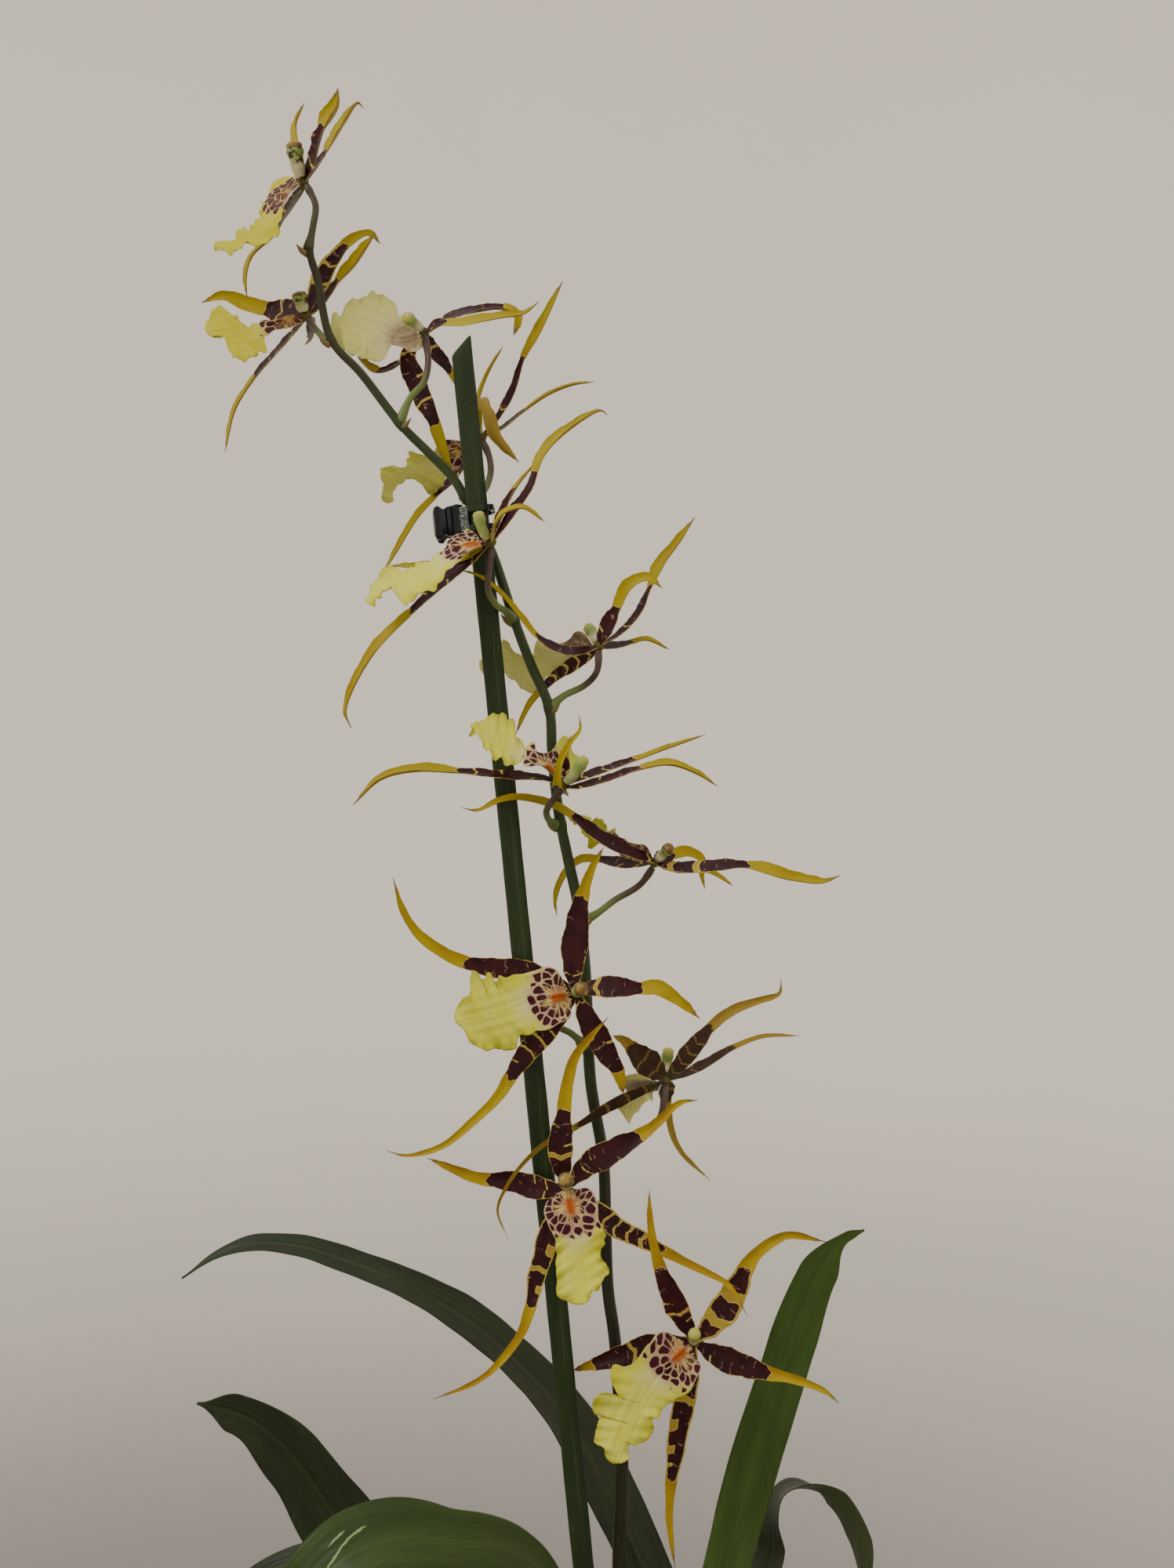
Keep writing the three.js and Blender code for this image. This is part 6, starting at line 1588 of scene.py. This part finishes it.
def lip_finish(groups, look):
    def build(n):
        along, across, edge, face = n.attributes("along", "across", "edge", "face")
        seed = n.times(n.attribute("seed"), 13.7)
        at = n.vector(along, across, seed)
        ahead = n.minus(along, 7.5)
        reach = n.math("SQRT", n.plus(n.math("POWER", ahead, 2), n.math("POWER", across, 2)))
        bearing = n.math("ARCTAN2", across, ahead)
        wobble = n.node("ShaderNodeTexNoise", None, "Color", Vector=at, Scale=0.5, Detail=1.0)
        polar = n.vector(
            n.plus(n.math("DIVIDE", bearing, 0.36), seed),
            n.plus(n.math("DIVIDE", reach, 4.6), seed),
        )
        polar = n.mix(0.3, polar, wobble, "ADD")
        gap = n.cells(polar, 1.0, "DISTANCE_TO_EDGE", 0.85, True)
        corner = n.ramp(n.cells(polar, 1.0, "F1", 0.85, True), 0.4, 0.8, 0, 0.2)
        squat = n.math("POWER", n.times(across, 0.82), 2)
        zone = n.math("SQRT", n.plus(n.math("POWER", ahead, 2), squat))
        zone = n.plus(zone, n.times(n.noise(at, 0.25, 1), 4))
        wide = n.plus(n.ramp(reach, 2, 15, 0.06, 0.075), corner)
        wide = n.plus(wide, n.ramp(zone, 13, 18.5, 0, 0.42))
        wide = n.minus(wide, n.ramp(n.attribute("tone"), 0.5, 1, 0, 0.05))
        spots = n.ramp(n.minus(gap, wide), -0.01, 0.02)
        fresh = n.ramp(n.attribute("tone"), 0.5, 1)
        inner = n.plus(reach, n.times(fresh, 2.5))
        kept_out = n.ramp(zone, 17.5, 18.5, 1, 0)
        spots = n.times(spots, n.ramp(inner, 3.5, 5.5), kept_out, n.ramp(edge, 0.92, 0.98, 1, 0))
        cream = n.drift(groups, at, 0.16, paint(196, 172, 126), paint(170, 132, 116))
        cream = n.mix(n.times(fresh, 0.6), cream, paint(180, 152, 66))
        cream = n.mix(n.ramp(edge, 0.85, 0.97, 0, 0.8), cream, paint(204, 182, 146))
        apron = n.drift(groups, at, 0.07, look.apron_yellow, paint(206, 206, 90))
        tone = n.attribute("tone")
        apron = n.mix(n.ramp(tone, 0, 1, 0, 0.85), apron, paint(178, 168, 14))
        # Painted light: a lip set below 0 gets a paler apron and loses its deep rim, lifting the shade on
        # its underside.
        apron = n.mix(n.ramp(tone, 0, -1, 0, 0.8), apron, paint(224, 220, 160))
        far = n.ramp(reach, 12, 25, 0.8, 0)
        middle = n.times(far, n.ramp(edge, 0.25, 0.8, 1, 0), n.ramp(tone, 0, 1, 1, 0.2))
        apron = n.mix(middle, apron, paint(212, 208, 152))
        rim = n.times(n.ramp(edge, 0.6, 1.0, 0, 0.7), n.ramp(tone, -0.5, 0), n.ramp(zone, 15, 24))
        apron = n.mix(rim, apron, paint(184, 178, 34))
        ground = n.mix(n.ramp(zone, 13, 18), cream, apron)
        veins = n.veins(groups, along, across, 0.9)
        ground = n.mix(n.times(veins["Mask"], 0.09), ground, paint(170, 158, 58))
        color = n.mix(spots, ground, look.spot_maroon)
        rays = n.noise(n.vector(n.math("DIVIDE", bearing, 0.2), n.times(reach, 0.08), seed), 1, 2)
        calm = n.ramp(tone, 0.2, 1, 1, 0.2)
        glow = n.times(n.ramp(reach, 5, 9, 0.9, 0), n.ramp(rays, 0.42, 0.52, 1, 0.0), calm)
        color = n.mix(glow, color, paint(208, 180, 108))
        flame = n.times(n.ramp(reach, 2, 6, 0.85, 0), n.ramp(rays, 0.46, 0.54), calm)
        color = n.mix(flame, color, paint(168, 100, 50))
        ragged = n.plus(n.size(across), n.times(rays, 4))
        narrow = n.ramp(ragged, 2.9, 4.3, 0.95, 0)
        heart = n.times(n.ramp(reach, 2.6, 4.6, 1, 0), narrow)
        color = n.mix(n.times(heart, calm), color, look.callus_orange)
        # The back is drawn lighter than the front's ground: painted light shining through the thin lip.
        pale = n.mix(0.6, ground, paint(220, 218, 146))
        smooth = n.ramp(tone, 0, 0.5)
        inward = n.plus(reach, n.times(smooth, 4))
        pale = n.mix(n.ramp(inward, 7, 15, 0.6, 0), pale, paint(138, 108, 106))
        faint = n.times(n.ramp(rays, 0.46, 0.56), n.ramp(smooth, 0, 1, 1, 0.3))
        faint = n.math("MAXIMUM", spots, faint)
        faint = n.times(faint, n.ramp(inward, 6, 15, 0.65, 0))
        pale = n.mix(faint, pale, paint(104, 62, 66))
        color = n.mix(face, pale, color)
        return {"Base Color": color, "Bump": (veins["Height"], 0.3, 0.0005)}

    return material("Spotted lip", build, Roughness=0.5, Specular_IOR_Level=0.12)


def column_finish(groups, look):
    def build(n):
        share, seed, dark = n.attributes("share", "seed", "dark")
        at = n.node("ShaderNodeMapping", Vector=n.place(), Location=n.vector(seed, 0, 0))
        body = n.drift(groups, at, 120, paint(204, 196, 158), paint(150, 156, 92))
        color = n.mix(n.ramp(share, 0.25, 0.55), body, look.column_green)
        fleck = n.ramp(n.noise(at, 520, 2), 0.5, 0.56)
        zone = n.times(n.ramp(share, 0.3, 0.45), n.ramp(share, 0.8, 0.76), dark)
        color = n.mix(n.times(fleck, zone), color, paint(70, 36, 34))
        cap = n.mix(dark, paint(172, 170, 78), paint(146, 120, 54))
        color = n.mix(n.ramp(share, 0.78, 0.8), color, cap)
        ring = n.times(n.ramp(share, 0.755, 0.77), n.ramp(share, 0.815, 0.8), dark)
        color = n.mix(n.times(ring, 0.8), color, paint(66, 40, 34))
        spot = n.ramp(n.noise(at, 330, 1), 0.5, 0.54)
        spot = n.times(spot, n.ramp(share, 0.8, 0.82), dark)
        color = n.mix(n.times(spot, 0.7), color, paint(88, 52, 34))
        return {"Base Color": color, "Bump": (n.noise(at, 1400, 2), 0.15, 0.0003)}

    return material("Waxy column", build, Roughness=0.35, Specular_IOR_Level=0.3)


def stem_finish(groups, look):
    def build(n):
        along, around, stalk, share = n.attributes("along", "around", "stalk", "share")
        at = n.vector(along, around)
        green = n.drift(groups, at, 0.03, look.stem_green, paint(44, 52, 30))
        low = n.ramp(share, 0.32, 0.56, 1, 0)
        green = n.mix(n.times(low, 0.9), green, paint(38, 35, 25))
        green = n.mix(n.ramp(share, 0.88, 0.94, 0, 0.85), green, paint(52, 46, 32))
        young = n.drift(groups, at, 0.08, look.stalk_green, paint(98, 112, 62))
        blush = n.drift(groups, at, 0.2, paint(92, 72, 66), paint(72, 58, 52))
        stalk_color = n.mix(n.ramp(stalk, 0.35, 0.75), young, blush)
        first = n.times(n.ramp(share, 0.97, 0.99), n.ramp(stalk, 0.3, 1.0, 0.9, 0.5))
        stalk_color = n.mix(first, stalk_color, paint(66, 62, 42))
        color = n.mix(n.ramp(stalk, 0.01, 0.04), green, stalk_color)
        color = n.mix(n.ramp(stalk, -0.5, -0.2, 1, 0), color, paint(120, 104, 64))
        lines = n.noise(n.vector(n.times(along, 0.03), around), 1.4, 2)
        color = n.mix(n.ramp(lines, 0.5, 0.7, 0, 0.12), color, paint(120, 132, 92))
        return {"Base Color": color, "Bump": (lines, 0.3, 0.0005)}

    return material("Green stem", build, Roughness=0.42, Specular_IOR_Level=0.2)


def leaf_finish(groups, look):
    def build(n):
        along, across, seed, face = n.attributes("along", "across", "seed", "face")
        at = n.vector(along, across, seed)
        stretched = n.vector(n.times(along, 0.12), across, seed)
        old = n.drift(groups, stretched, 0.12, look.leaf_deep, paint(42, 51, 29))
        young = n.drift(groups, stretched, 0.12, look.leaf_bright, paint(64, 86, 32))
        green = n.mix(n.attribute("young"), old, young)
        veins = n.veins(groups, along, across, 1.3)
        green = n.mix(n.times(veins["Mask"], 0.08), green, paint(70, 84, 44))
        rib = n.ramp(n.size(across), 0.25, 1.1, 1, 0)
        green = n.mix(n.times(rib, 0.1), green, paint(92, 108, 58))
        wavy = n.math("MULTIPLY_ADD", n.noise(at, 0.4, 2), 1.6, n.minus(across, 0.8))
        for start, left, end, right in SCARS:
            line = n.ramp(along, start, end, left, right)
            gap = n.size(n.minus(wavy, line))
            width = n.times(n.ramp(along, start, start + 3), n.ramp(along, end - 6, end, 0.55, 0))
            scar = n.ramp(n.minus(gap, width), -0.2, 0.05, 1, 0)
            scar = n.times(scar, n.attribute("scarred"), face)
            green = n.mix(n.times(scar, 0.8), green, paint(150, 164, 112))
        pale = n.mix(0.3, green, paint(112, 124, 84))
        color = n.mix(face, pale, green)
        spots = n.ramp(n.noise(at, 0.5, 3), 0.66, 0.72)
        color = n.mix(n.times(spots, 0.25), color, paint(96, 92, 52))
        height = n.plus(veins["Height"], n.times(rib, -0.6))
        return {"Base Color": color, "Bump": (height, 0.2, 0.0005)}

    return material("Strap leaf", build, Roughness=0.42, Specular_IOR_Level=0.2)


def stake_finish(groups, look):
    def build(n):
        at = n.place()
        across, share = n.attributes("across", "share")
        stretched = n.node("ShaderNodeMapping", Vector=at, Scale=(260, 260, 9))
        green = n.drift(groups, stretched, 0.5, look.stake_green, paint(32, 44, 24))
        # A painted highlight: a lighter band down one facet of the stake, fading in patches.
        painted_highlight = n.ramp(n.size(n.minus(across, 1.3)), 0.1, 0.9, 1, 0)
        fade = n.ramp(n.noise(stretched, 0.7, 2), 0.35, 0.6)
        light = n.times(painted_highlight, fade, 0.14)
        green = n.mix(light, green, paint(92, 112, 82))
        green = n.mix(n.ramp(share, 0.99, 1.0, 0, 0.5), green, paint(96, 104, 78))
        scratch = n.wear(groups, at, 900.0)
        green = n.mix(n.times(scratch["Mask"], 0.2), green, paint(110, 122, 100))
        rough = n.ramp(scratch["Mask"], 0, 1, 0.55, 0.7)
        return {
            "Base Color": green, "Roughness": rough,
            "Bump": (scratch["Height"], 0.25, 0.0003),
        }

    return material("Green stake", build, Specular_IOR_Level=0.2)


def wear_group():
    """Fine scuffs and pits of a handled surface."""

    def build(n, given):
        scuffs = n.noise(given["Vector"], given["Scale"], 4, 0.65)
        patch = n.noise(given["Vector"], n.times(given["Scale"], 0.08), 2)
        mask = n.times(n.ramp(scuffs, 0.55, 0.7), n.ramp(patch, 0.45, 0.65))
        return {"Mask": mask, "Height": scuffs}

    inputs = {"Vector": "Vector", "Scale": 400.0}
    outputs = {"Mask": "Float", "Height": "Float"}
    return shader_group("Handling wear", inputs, outputs, build)


def clip_finish(groups, look):
    def build(n):
        at = n.place()
        x = n.attribute("x")
        scratch = n.wear(groups, at, 1500.0)
        swirl = n.noise(at, 240, 3)
        color = n.mix(n.ramp(swirl, 0.4, 0.7), look.clip_navy, paint(8, 11, 18))
        clear = n.times(n.ramp(x, 1.2, 2.2), n.ramp(x, 12.2, 12.8, 1, 0))
        glass = n.mix(n.ramp(x, 4.6, 5.4), paint(72, 78, 76), paint(36, 48, 26))
        color = n.mix(clear, color, glass)
        glitter = n.times(n.ramp(n.cells(at, 1300), 0.3, 0.2), n.ramp(x, 4.6, 5.4, 1, 0.05))
        color = n.mix(n.times(glitter, clear), color, paint(214, 214, 210))
        rough = n.ramp(scratch["Mask"], 0, 1, 0.2, 0.24)
        return {"Base Color": color, "Roughness": rough}

    return material("Glossy clip", build, Specular_IOR_Level=0.3)


def metal_finish(groups, look):
    def build(n):
        scratch = n.wear(groups, n.place(), 2000.0)
        color = n.mix(scratch["Mask"], look.metal_grey, paint(92, 92, 96))
        return {"Base Color": color, "Roughness": n.ramp(scratch["Mask"], 0, 1, 0.25, 0.5)}

    return material("Spring steel", build, Metallic=1.0)


def pot_finish(groups, look):
    def build(n):
        at = n.place()
        drift = n.drift(groups, at, 14.0, look.pot_color, paint(118, 66, 44))
        scratch = n.wear(groups, at, 320.0)
        color = n.mix(n.times(scratch["Mask"], 0.45), drift, paint(182, 150, 126))
        height = n.node("ShaderNodeSeparateXYZ", None, "Z", Vector=at)
        bloom = n.times(n.ramp(height, 0.0, 0.035, 1, 0), n.ramp(n.noise(at, 30, 4), 0.4, 0.7))
        color = n.mix(n.times(bloom, 0.5), color, paint(190, 172, 154))
        grain = n.noise(at, 900, 3)
        return {
            "Base Color": color, "Roughness": n.ramp(grain, 0.3, 0.7, 0.72, 0.9),
            "Bump": (grain, 0.3, 0.0005),
        }

    return material("Fired clay", build)


def bark_finish(look):
    def build(n):
        at, chip = n.place(), n.attribute("chip")
        stretched = n.node("ShaderNodeMapping", Vector=at, Scale=(1, 1, 3))
        color = n.mix(chip, look.bark_brown, paint(128, 88, 56))
        mottled = n.noise(stretched, 260, 4, 0.6)
        color = n.mix(n.ramp(mottled, 0.42, 0.7, 0, 0.75), color, paint(48, 32, 24))
        pale = n.ramp(n.noise(at, 90, 3), 0.6, 0.75)
        color = n.mix(n.times(pale, 0.4), color, paint(170, 138, 100))
        return {"Base Color": color, "Bump": (mottled, 0.8, 0.0015)}

    return material("Pine bark", build, Roughness=0.88)


def bulb_finish(groups, look):
    def build(n):
        at = n.place()
        share, sheath = n.attributes("share", "sheath")
        stretched = n.node("ShaderNodeMapping", Vector=at, Scale=(420, 420, 30))
        green = n.drift(groups, at, 60.0, look.bulb_green, paint(92, 104, 48))
        green = n.mix(n.ramp(share, 0.25, 0.0, 0, 0.5), green, paint(122, 96, 54))
        fiber = n.noise(stretched, 1.0, 3)
        dry = n.mix(n.ramp(fiber, 0.35, 0.65), paint(150, 124, 86), paint(104, 78, 50))
        color = n.mix(sheath, green, dry)
        rough = n.ramp(sheath, 0, 1, 0.42, 0.85)
        return {"Base Color": color, "Roughness": rough, "Bump": (fiber, 0.4, 0.0006)}

    return material("Pseudobulb", build)


def floor_finish(look):
    def build(n):
        at = n.place()
        soft = n.noise(at, 3, 2)
        color = n.mix(n.ramp(soft, 0.3, 0.7, 0, 0.12), look.floor_color, paint(232, 225, 215))
        # Painted shade: darker round a point left of the pot, fading out towards the backdrop.
        painted_shade_place = n.node("ShaderNodeMapping", Vector=at, Location=(0.22, 0, 0))
        flat = n.node("ShaderNodeVectorMath", {"operation": "LENGTH"}, "Value", Vector=painted_shade_place)
        color = n.mix(n.ramp(flat, 0.35, 1.2, 0.62, 0), color, paint(70, 66, 62))
        color = n.mix(n.ramp(flat, 0.8, 2.6, 0.46, 0), color, paint(90, 87, 84))
        return {"Base Color": color}

    return material("Pale floor with painted shade", build, Roughness=0.9, Specular_IOR_Level=0.1)


# ---------- what a user can change ----------
def color_setting(name, description, value):
    return FloatVectorProperty(
        name=name, description=description, default=value, size=4, min=0, max=1, subtype="COLOR"
    )


def count_setting(name, description, value, least):
    return IntProperty(name=name, description=description, default=value, min=least)


class ORCHID_bloom_settings(bpy.types.PropertyGroup):
    dark_rows: count_setting("Dark rows", "Rows of points along a tepal's dark part", 64, 8)
    tail_rows: count_setting("Tail rows", "Rows of points along a tepal's tail", 44, 8)
    tepal_columns: count_setting("Tepal columns", "Points across a tepal", 13, 5)
    lip_rows: count_setting("Lip rows", "Rows of points along a lip", 90, 12)
    lip_columns: count_setting("Lip columns", "Points across a lip", 49, 9)


class ORCHID_stem_settings(bpy.types.PropertyGroup):
    rows: count_setting("Stem rows", "Rows of points along the flower stem", 420, 40)


class ORCHID_leaf_settings(bpy.types.PropertyGroup):
    rows: count_setting("Leaf rows", "Rows of points along a leaf", 150, 20)
    columns: count_setting("Leaf columns", "Points across a leaf", 33, 5)


class ORCHID_pot_settings(bpy.types.PropertyGroup):
    chips: count_setting("Bark chips", "Chips that lie on the bark", 130, 1)


class ORCHID_look_settings(bpy.types.PropertyGroup):
    maroon: color_setting("Maroon", "Dark part of the tepals", paint(43, 17, 22))
    tail_yellow: color_setting("Tail yellow", "Tails of the tepals", paint(173, 151, 28))
    back_yellow: color_setting("Back yellow", "Backs of the tepals", paint(146, 120, 42))
    apron_yellow: color_setting("Apron yellow", "Broad end of the lips", paint(208, 206, 58))
    spot_maroon: color_setting("Spot maroon", "Spots of the lips", paint(64, 20, 34))
    callus_orange: color_setting("Callus orange", "Heart of the lips", paint(180, 88, 26))
    column_green: color_setting("Column green", "Upper part of the columns", paint(134, 152, 80))
    stem_green: color_setting("Stem green", "Flower stem", paint(52, 68, 36))
    stalk_green: color_setting("Stalk green", "Stalks of the blooms", paint(110, 124, 66))
    leaf_deep: color_setting("Deep leaf green", "Older leaves", paint(32, 38, 22))
    leaf_bright: color_setting("Bright leaf green", "Younger leaves", paint(52, 72, 24))
    bulb_green: color_setting("Bulb green", "Pseudobulbs", paint(116, 130, 62))
    stake_green: color_setting("Stake green", "Stake", paint(42, 55, 26))
    clip_navy: color_setting("Clip navy", "Plastic of the clip", paint(10, 15, 24))
    metal_grey: color_setting("Metal grey", "Pin and spring", paint(150, 150, 152))
    pot_color: color_setting("Pot colour", "Fired clay of the pot", paint(150, 86, 58))
    bark_brown: color_setting("Bark brown", "Bark", paint(84, 56, 38))
    floor_color: color_setting("Floor colour", "Floor and backdrop", paint(246, 240, 230))


class ORCHID_stage_settings(bpy.types.PropertyGroup):
    lens: FloatProperty(name="Lens", description="Focal length", default=37.0, min=1, unit="CAMERA")
    bowl: FloatProperty(
        name="Backdrop radius", description="How far the backdrop stands", default=2.6, min=1,
        unit="LENGTH",
    )
    light: FloatProperty(
        name="Light", description="Strength of the soft light", default=1.0, min=0
    )


def choices():
    """The scene, which holds what a user can change."""
    return bpy.context.scene


def looks():
    return choices().orchid_looks


GROUPS = {
    "tint": ("Soft tint", tint_group), "veins": ("Fine veins", vein_group),
    "ragged": ("Ragged border", ragged_group), "wear": ("Handling wear", wear_group),
}


def groups():
    """The shader groups that the finishes share, made once."""
    return {key: bpy.data.node_groups.get(name) or make() for key, (name, make) in GROUPS.items()}


# ---------- operators ----------
class ORCHID_OT_pot(bpy.types.Operator):
    """Make the clay pot"""

    bl_idname = "orchid.pot"
    bl_label = "Pot"

    def execute(self, context):
        make_pot(pot_finish(groups(), looks()))
        return {"FINISHED"}


class ORCHID_OT_bark(bpy.types.Operator):
    """Make the bark and its chips"""

    bl_idname = "orchid.bark"
    bl_label = "Bark"

    def execute(self, context):
        make_bark(bark_finish(looks()))
        return {"FINISHED"}


class ORCHID_OT_pseudobulbs(bpy.types.Operator):
    """Make the pseudobulbs with their dry sheaths"""

    bl_idname = "orchid.pseudobulbs"
    bl_label = "Pseudobulbs"

    def execute(self, context):
        coat = bulb_finish(groups(), looks())
        for name in BULBS:
            make_bulb(name, coat)
        return {"FINISHED"}


class ORCHID_OT_leaves(bpy.types.Operator):
    """Make the strap leaves"""

    bl_idname = "orchid.leaves"
    bl_label = "Leaves"

    def execute(self, context):
        coat = leaf_finish(groups(), looks())
        for order, (name, leaf) in enumerate(LEAVES.items()):
            make_leaf(name, leaf, order, coat)
        return {"FINISHED"}


class ORCHID_OT_stem(bpy.types.Operator):
    """Make the flower stem with its stalks and bracts"""

    bl_idname = "orchid.stem"
    bl_label = "Flower stem"

    def execute(self, context):
        make_stem(stem_finish(groups(), looks()))
        return {"FINISHED"}


def make_on_blooms(make, finish):
    coat = finish(groups(), looks())
    for order, (name, bloom) in enumerate(BLOOMS.items()):
        make(name, bloom, order, coat)


class ORCHID_OT_tepals(bpy.types.Operator):
    """Make the sepals and petals of every bloom"""

    bl_idname = "orchid.tepals"
    bl_label = "Sepals and petals"

    def execute(self, context):
        make_on_blooms(make_tepals, petal_finish)
        return {"FINISHED"}


class ORCHID_OT_lips(bpy.types.Operator):
    """Make the lip of every bloom"""

    bl_idname = "orchid.lips"
    bl_label = "Lips"

    def execute(self, context):
        make_on_blooms(make_lip, lip_finish)
        return {"FINISHED"}


class ORCHID_OT_columns(bpy.types.Operator):
    """Make the column of every bloom"""

    bl_idname = "orchid.columns"
    bl_label = "Columns"

    def execute(self, context):
        make_on_blooms(make_column, column_finish)
        return {"FINISHED"}


class ORCHID_OT_stake(bpy.types.Operator):
    """Make the stake"""

    bl_idname = "orchid.stake"
    bl_label = "Stake"

    def execute(self, context):
        make_stake(stake_finish(groups(), looks()))
        return {"FINISHED"}


class ORCHID_OT_clip(bpy.types.Operator):
    """Make the claw clip with its pin and spring"""

    bl_idname = "orchid.clip"
    bl_label = "Claw clip"

    def execute(self, context):
        plastic = clip_finish(groups(), looks())
        steel = metal_finish(groups(), looks())
        make_jaw("clip_front_jaw", -1, "clip_jaw_front", PLANT, plastic)
        make_jaw("clip_rear_jaw", 1, "clip_jaw_back", CLIP_JAW, plastic)
        make_pin(steel)
        make_spring(steel)
        return {"FINISHED"}


class ORCHID_OT_stage(bpy.types.Operator):
    """Set up the floor, the soft light and the camera"""

    bl_idname = "orchid.stage"
    bl_label = "Stage"

    def execute(self, context):
        stage = choices().orchid_stage
        make_floor(stage.bowl, floor_finish(looks()))
        make_lights(stage.light)
        make_camera(stage.lens)
        return {"FINISHED"}


FLOOR_SIDES = 96
BACKDROP_BEND = 0.9
BACKDROP_TOP = 3.4
ROOM_COLOR = (252, 250, 247)
ROOM_STRENGTH = 0.56
SENSOR_HEIGHT = 36
CAMERA_RANGE = (0.01, 50)
LIGHTS_AIM = (0, 0, 0.5)
# Each light's place, size in metres and power in watts.
LIGHTS = {
    "key light": ((-1.5, -0.9, 2.4), 1.2, 36),
    "fill light": ((1.6, -1.2, 1.6), 1.8, 7),
    "top light": ((0.1, 0.3, 2.9), 2.0, 14),
}


def make_floor(bowl, coat):
    """Makes a floor that curves up into a pale backdrop all round."""
    start = bowl - BACKDROP_BEND
    outline = [(r, 0.0) for r in np.linspace(0.02, start, 12)]
    for a in np.linspace(0, math.pi / 2, 16)[1:]:
        outline.append((start + BACKDROP_BEND * math.sin(a), BACKDROP_BEND - BACKDROP_BEND * math.cos(a)))
    outline.append((bowl, BACKDROP_TOP))
    angles = circle(FLOOR_SIDES)
    points = [(r * math.cos(a), r * math.sin(a), z) for r, z in outline for a in angles]
    faces = [tuple(range(FLOOR_SIDES))]
    for i in range(len(outline) - 1):
        low, high = i * FLOOR_SIDES, (i + 1) * FLOOR_SIDES
        for j in range(FLOOR_SIDES):
            k = (j + 1) % FLOOR_SIDES
            faces.append((low + j, high + j, high + k, low + k))
    mesh = bpy.data.meshes.new("floor")
    mesh.from_pydata(points, [], faces)
    mesh.shade_smooth()
    mesh.materials.append(coat)
    floor = bpy.data.objects.new("floor", mesh)
    bpy.context.scene.collection.objects.link(floor)


def make_lights(strength):
    world = bpy.context.scene.world or bpy.data.worlds.new("Soft room")
    bpy.context.scene.world = world
    world.use_nodes = True
    backdrop = world.node_tree.nodes["Background"]
    backdrop.inputs["Color"].default_value = paint(*ROOM_COLOR)
    backdrop.inputs["Strength"].default_value = ROOM_STRENGTH * strength
    for name, (place_at, size, power) in LIGHTS.items():
        data = bpy.data.lights.new(name, "AREA")
        data.size = size
        data.energy = power * strength
        lamp = bpy.data.objects.new(name, data)
        lamp.location = place_at
        aim = Vector(LIGHTS_AIM) - Vector(place_at)
        lamp.rotation_euler = aim.to_track_quat("-Z", "Y").to_euler()
        bpy.context.scene.collection.objects.link(lamp)


def make_camera(lens):
    data = bpy.data.cameras.new("camera")
    data.lens = lens
    data.sensor_fit = "VERTICAL"
    data.sensor_height = SENSOR_HEIGHT
    data.clip_start, data.clip_end = CAMERA_RANGE
    camera = bpy.data.objects.new("camera", data)
    camera.location = EYE
    camera.rotation_euler = (math.pi / 2, 0, 0)
    bpy.context.scene.collection.objects.link(camera)
    bpy.context.scene.camera = camera


OPERATORS = (
    ORCHID_OT_pot, ORCHID_OT_bark, ORCHID_OT_pseudobulbs, ORCHID_OT_leaves, ORCHID_OT_stem,
    ORCHID_OT_tepals, ORCHID_OT_lips, ORCHID_OT_columns, ORCHID_OT_stake, ORCHID_OT_clip,
    ORCHID_OT_stage,
)
SETTINGS = {
    "orchid_blooms": ORCHID_bloom_settings,
    "orchid_stem": ORCHID_stem_settings,
    "orchid_leaves": ORCHID_leaf_settings,
    "orchid_pot": ORCHID_pot_settings,
    "orchid_looks": ORCHID_look_settings,
    "orchid_stage": ORCHID_stage_settings,
}


class ORCHID_PT_panel(bpy.types.Panel):
    """Lists the orchid's settings and pieces"""

    bl_idname = "ORCHID_PT_panel"
    bl_label = "Brassia Orchid"
    bl_space_type = "VIEW_3D"
    bl_region_type = "UI"
    bl_category = "Orchid"

    def draw(self, context):
        layout = self.layout
        for name, kind in SETTINGS.items():
            box = layout.box()
            for key in kind.__annotations__:
                box.prop(getattr(context.scene, name), key)
        for operator in OPERATORS:
            layout.operator(operator.bl_idname)


CLASSES = (*SETTINGS.values(), *OPERATORS, ORCHID_PT_panel)


def register():
    for cls in CLASSES:
        bpy.utils.register_class(cls)
    for name, kind in SETTINGS.items():
        setattr(bpy.types.Scene, name, PointerProperty(type=kind))


def unregister():
    for name in SETTINGS:
        delattr(bpy.types.Scene, name)
    for cls in reversed(CLASSES):
        bpy.utils.unregister_class(cls)


def main():
    register()
    for operator in OPERATORS:
        category, name = operator.bl_idname.split(".")
        getattr(getattr(bpy.ops, category), name)()


if __name__ == "__main__":
    main()
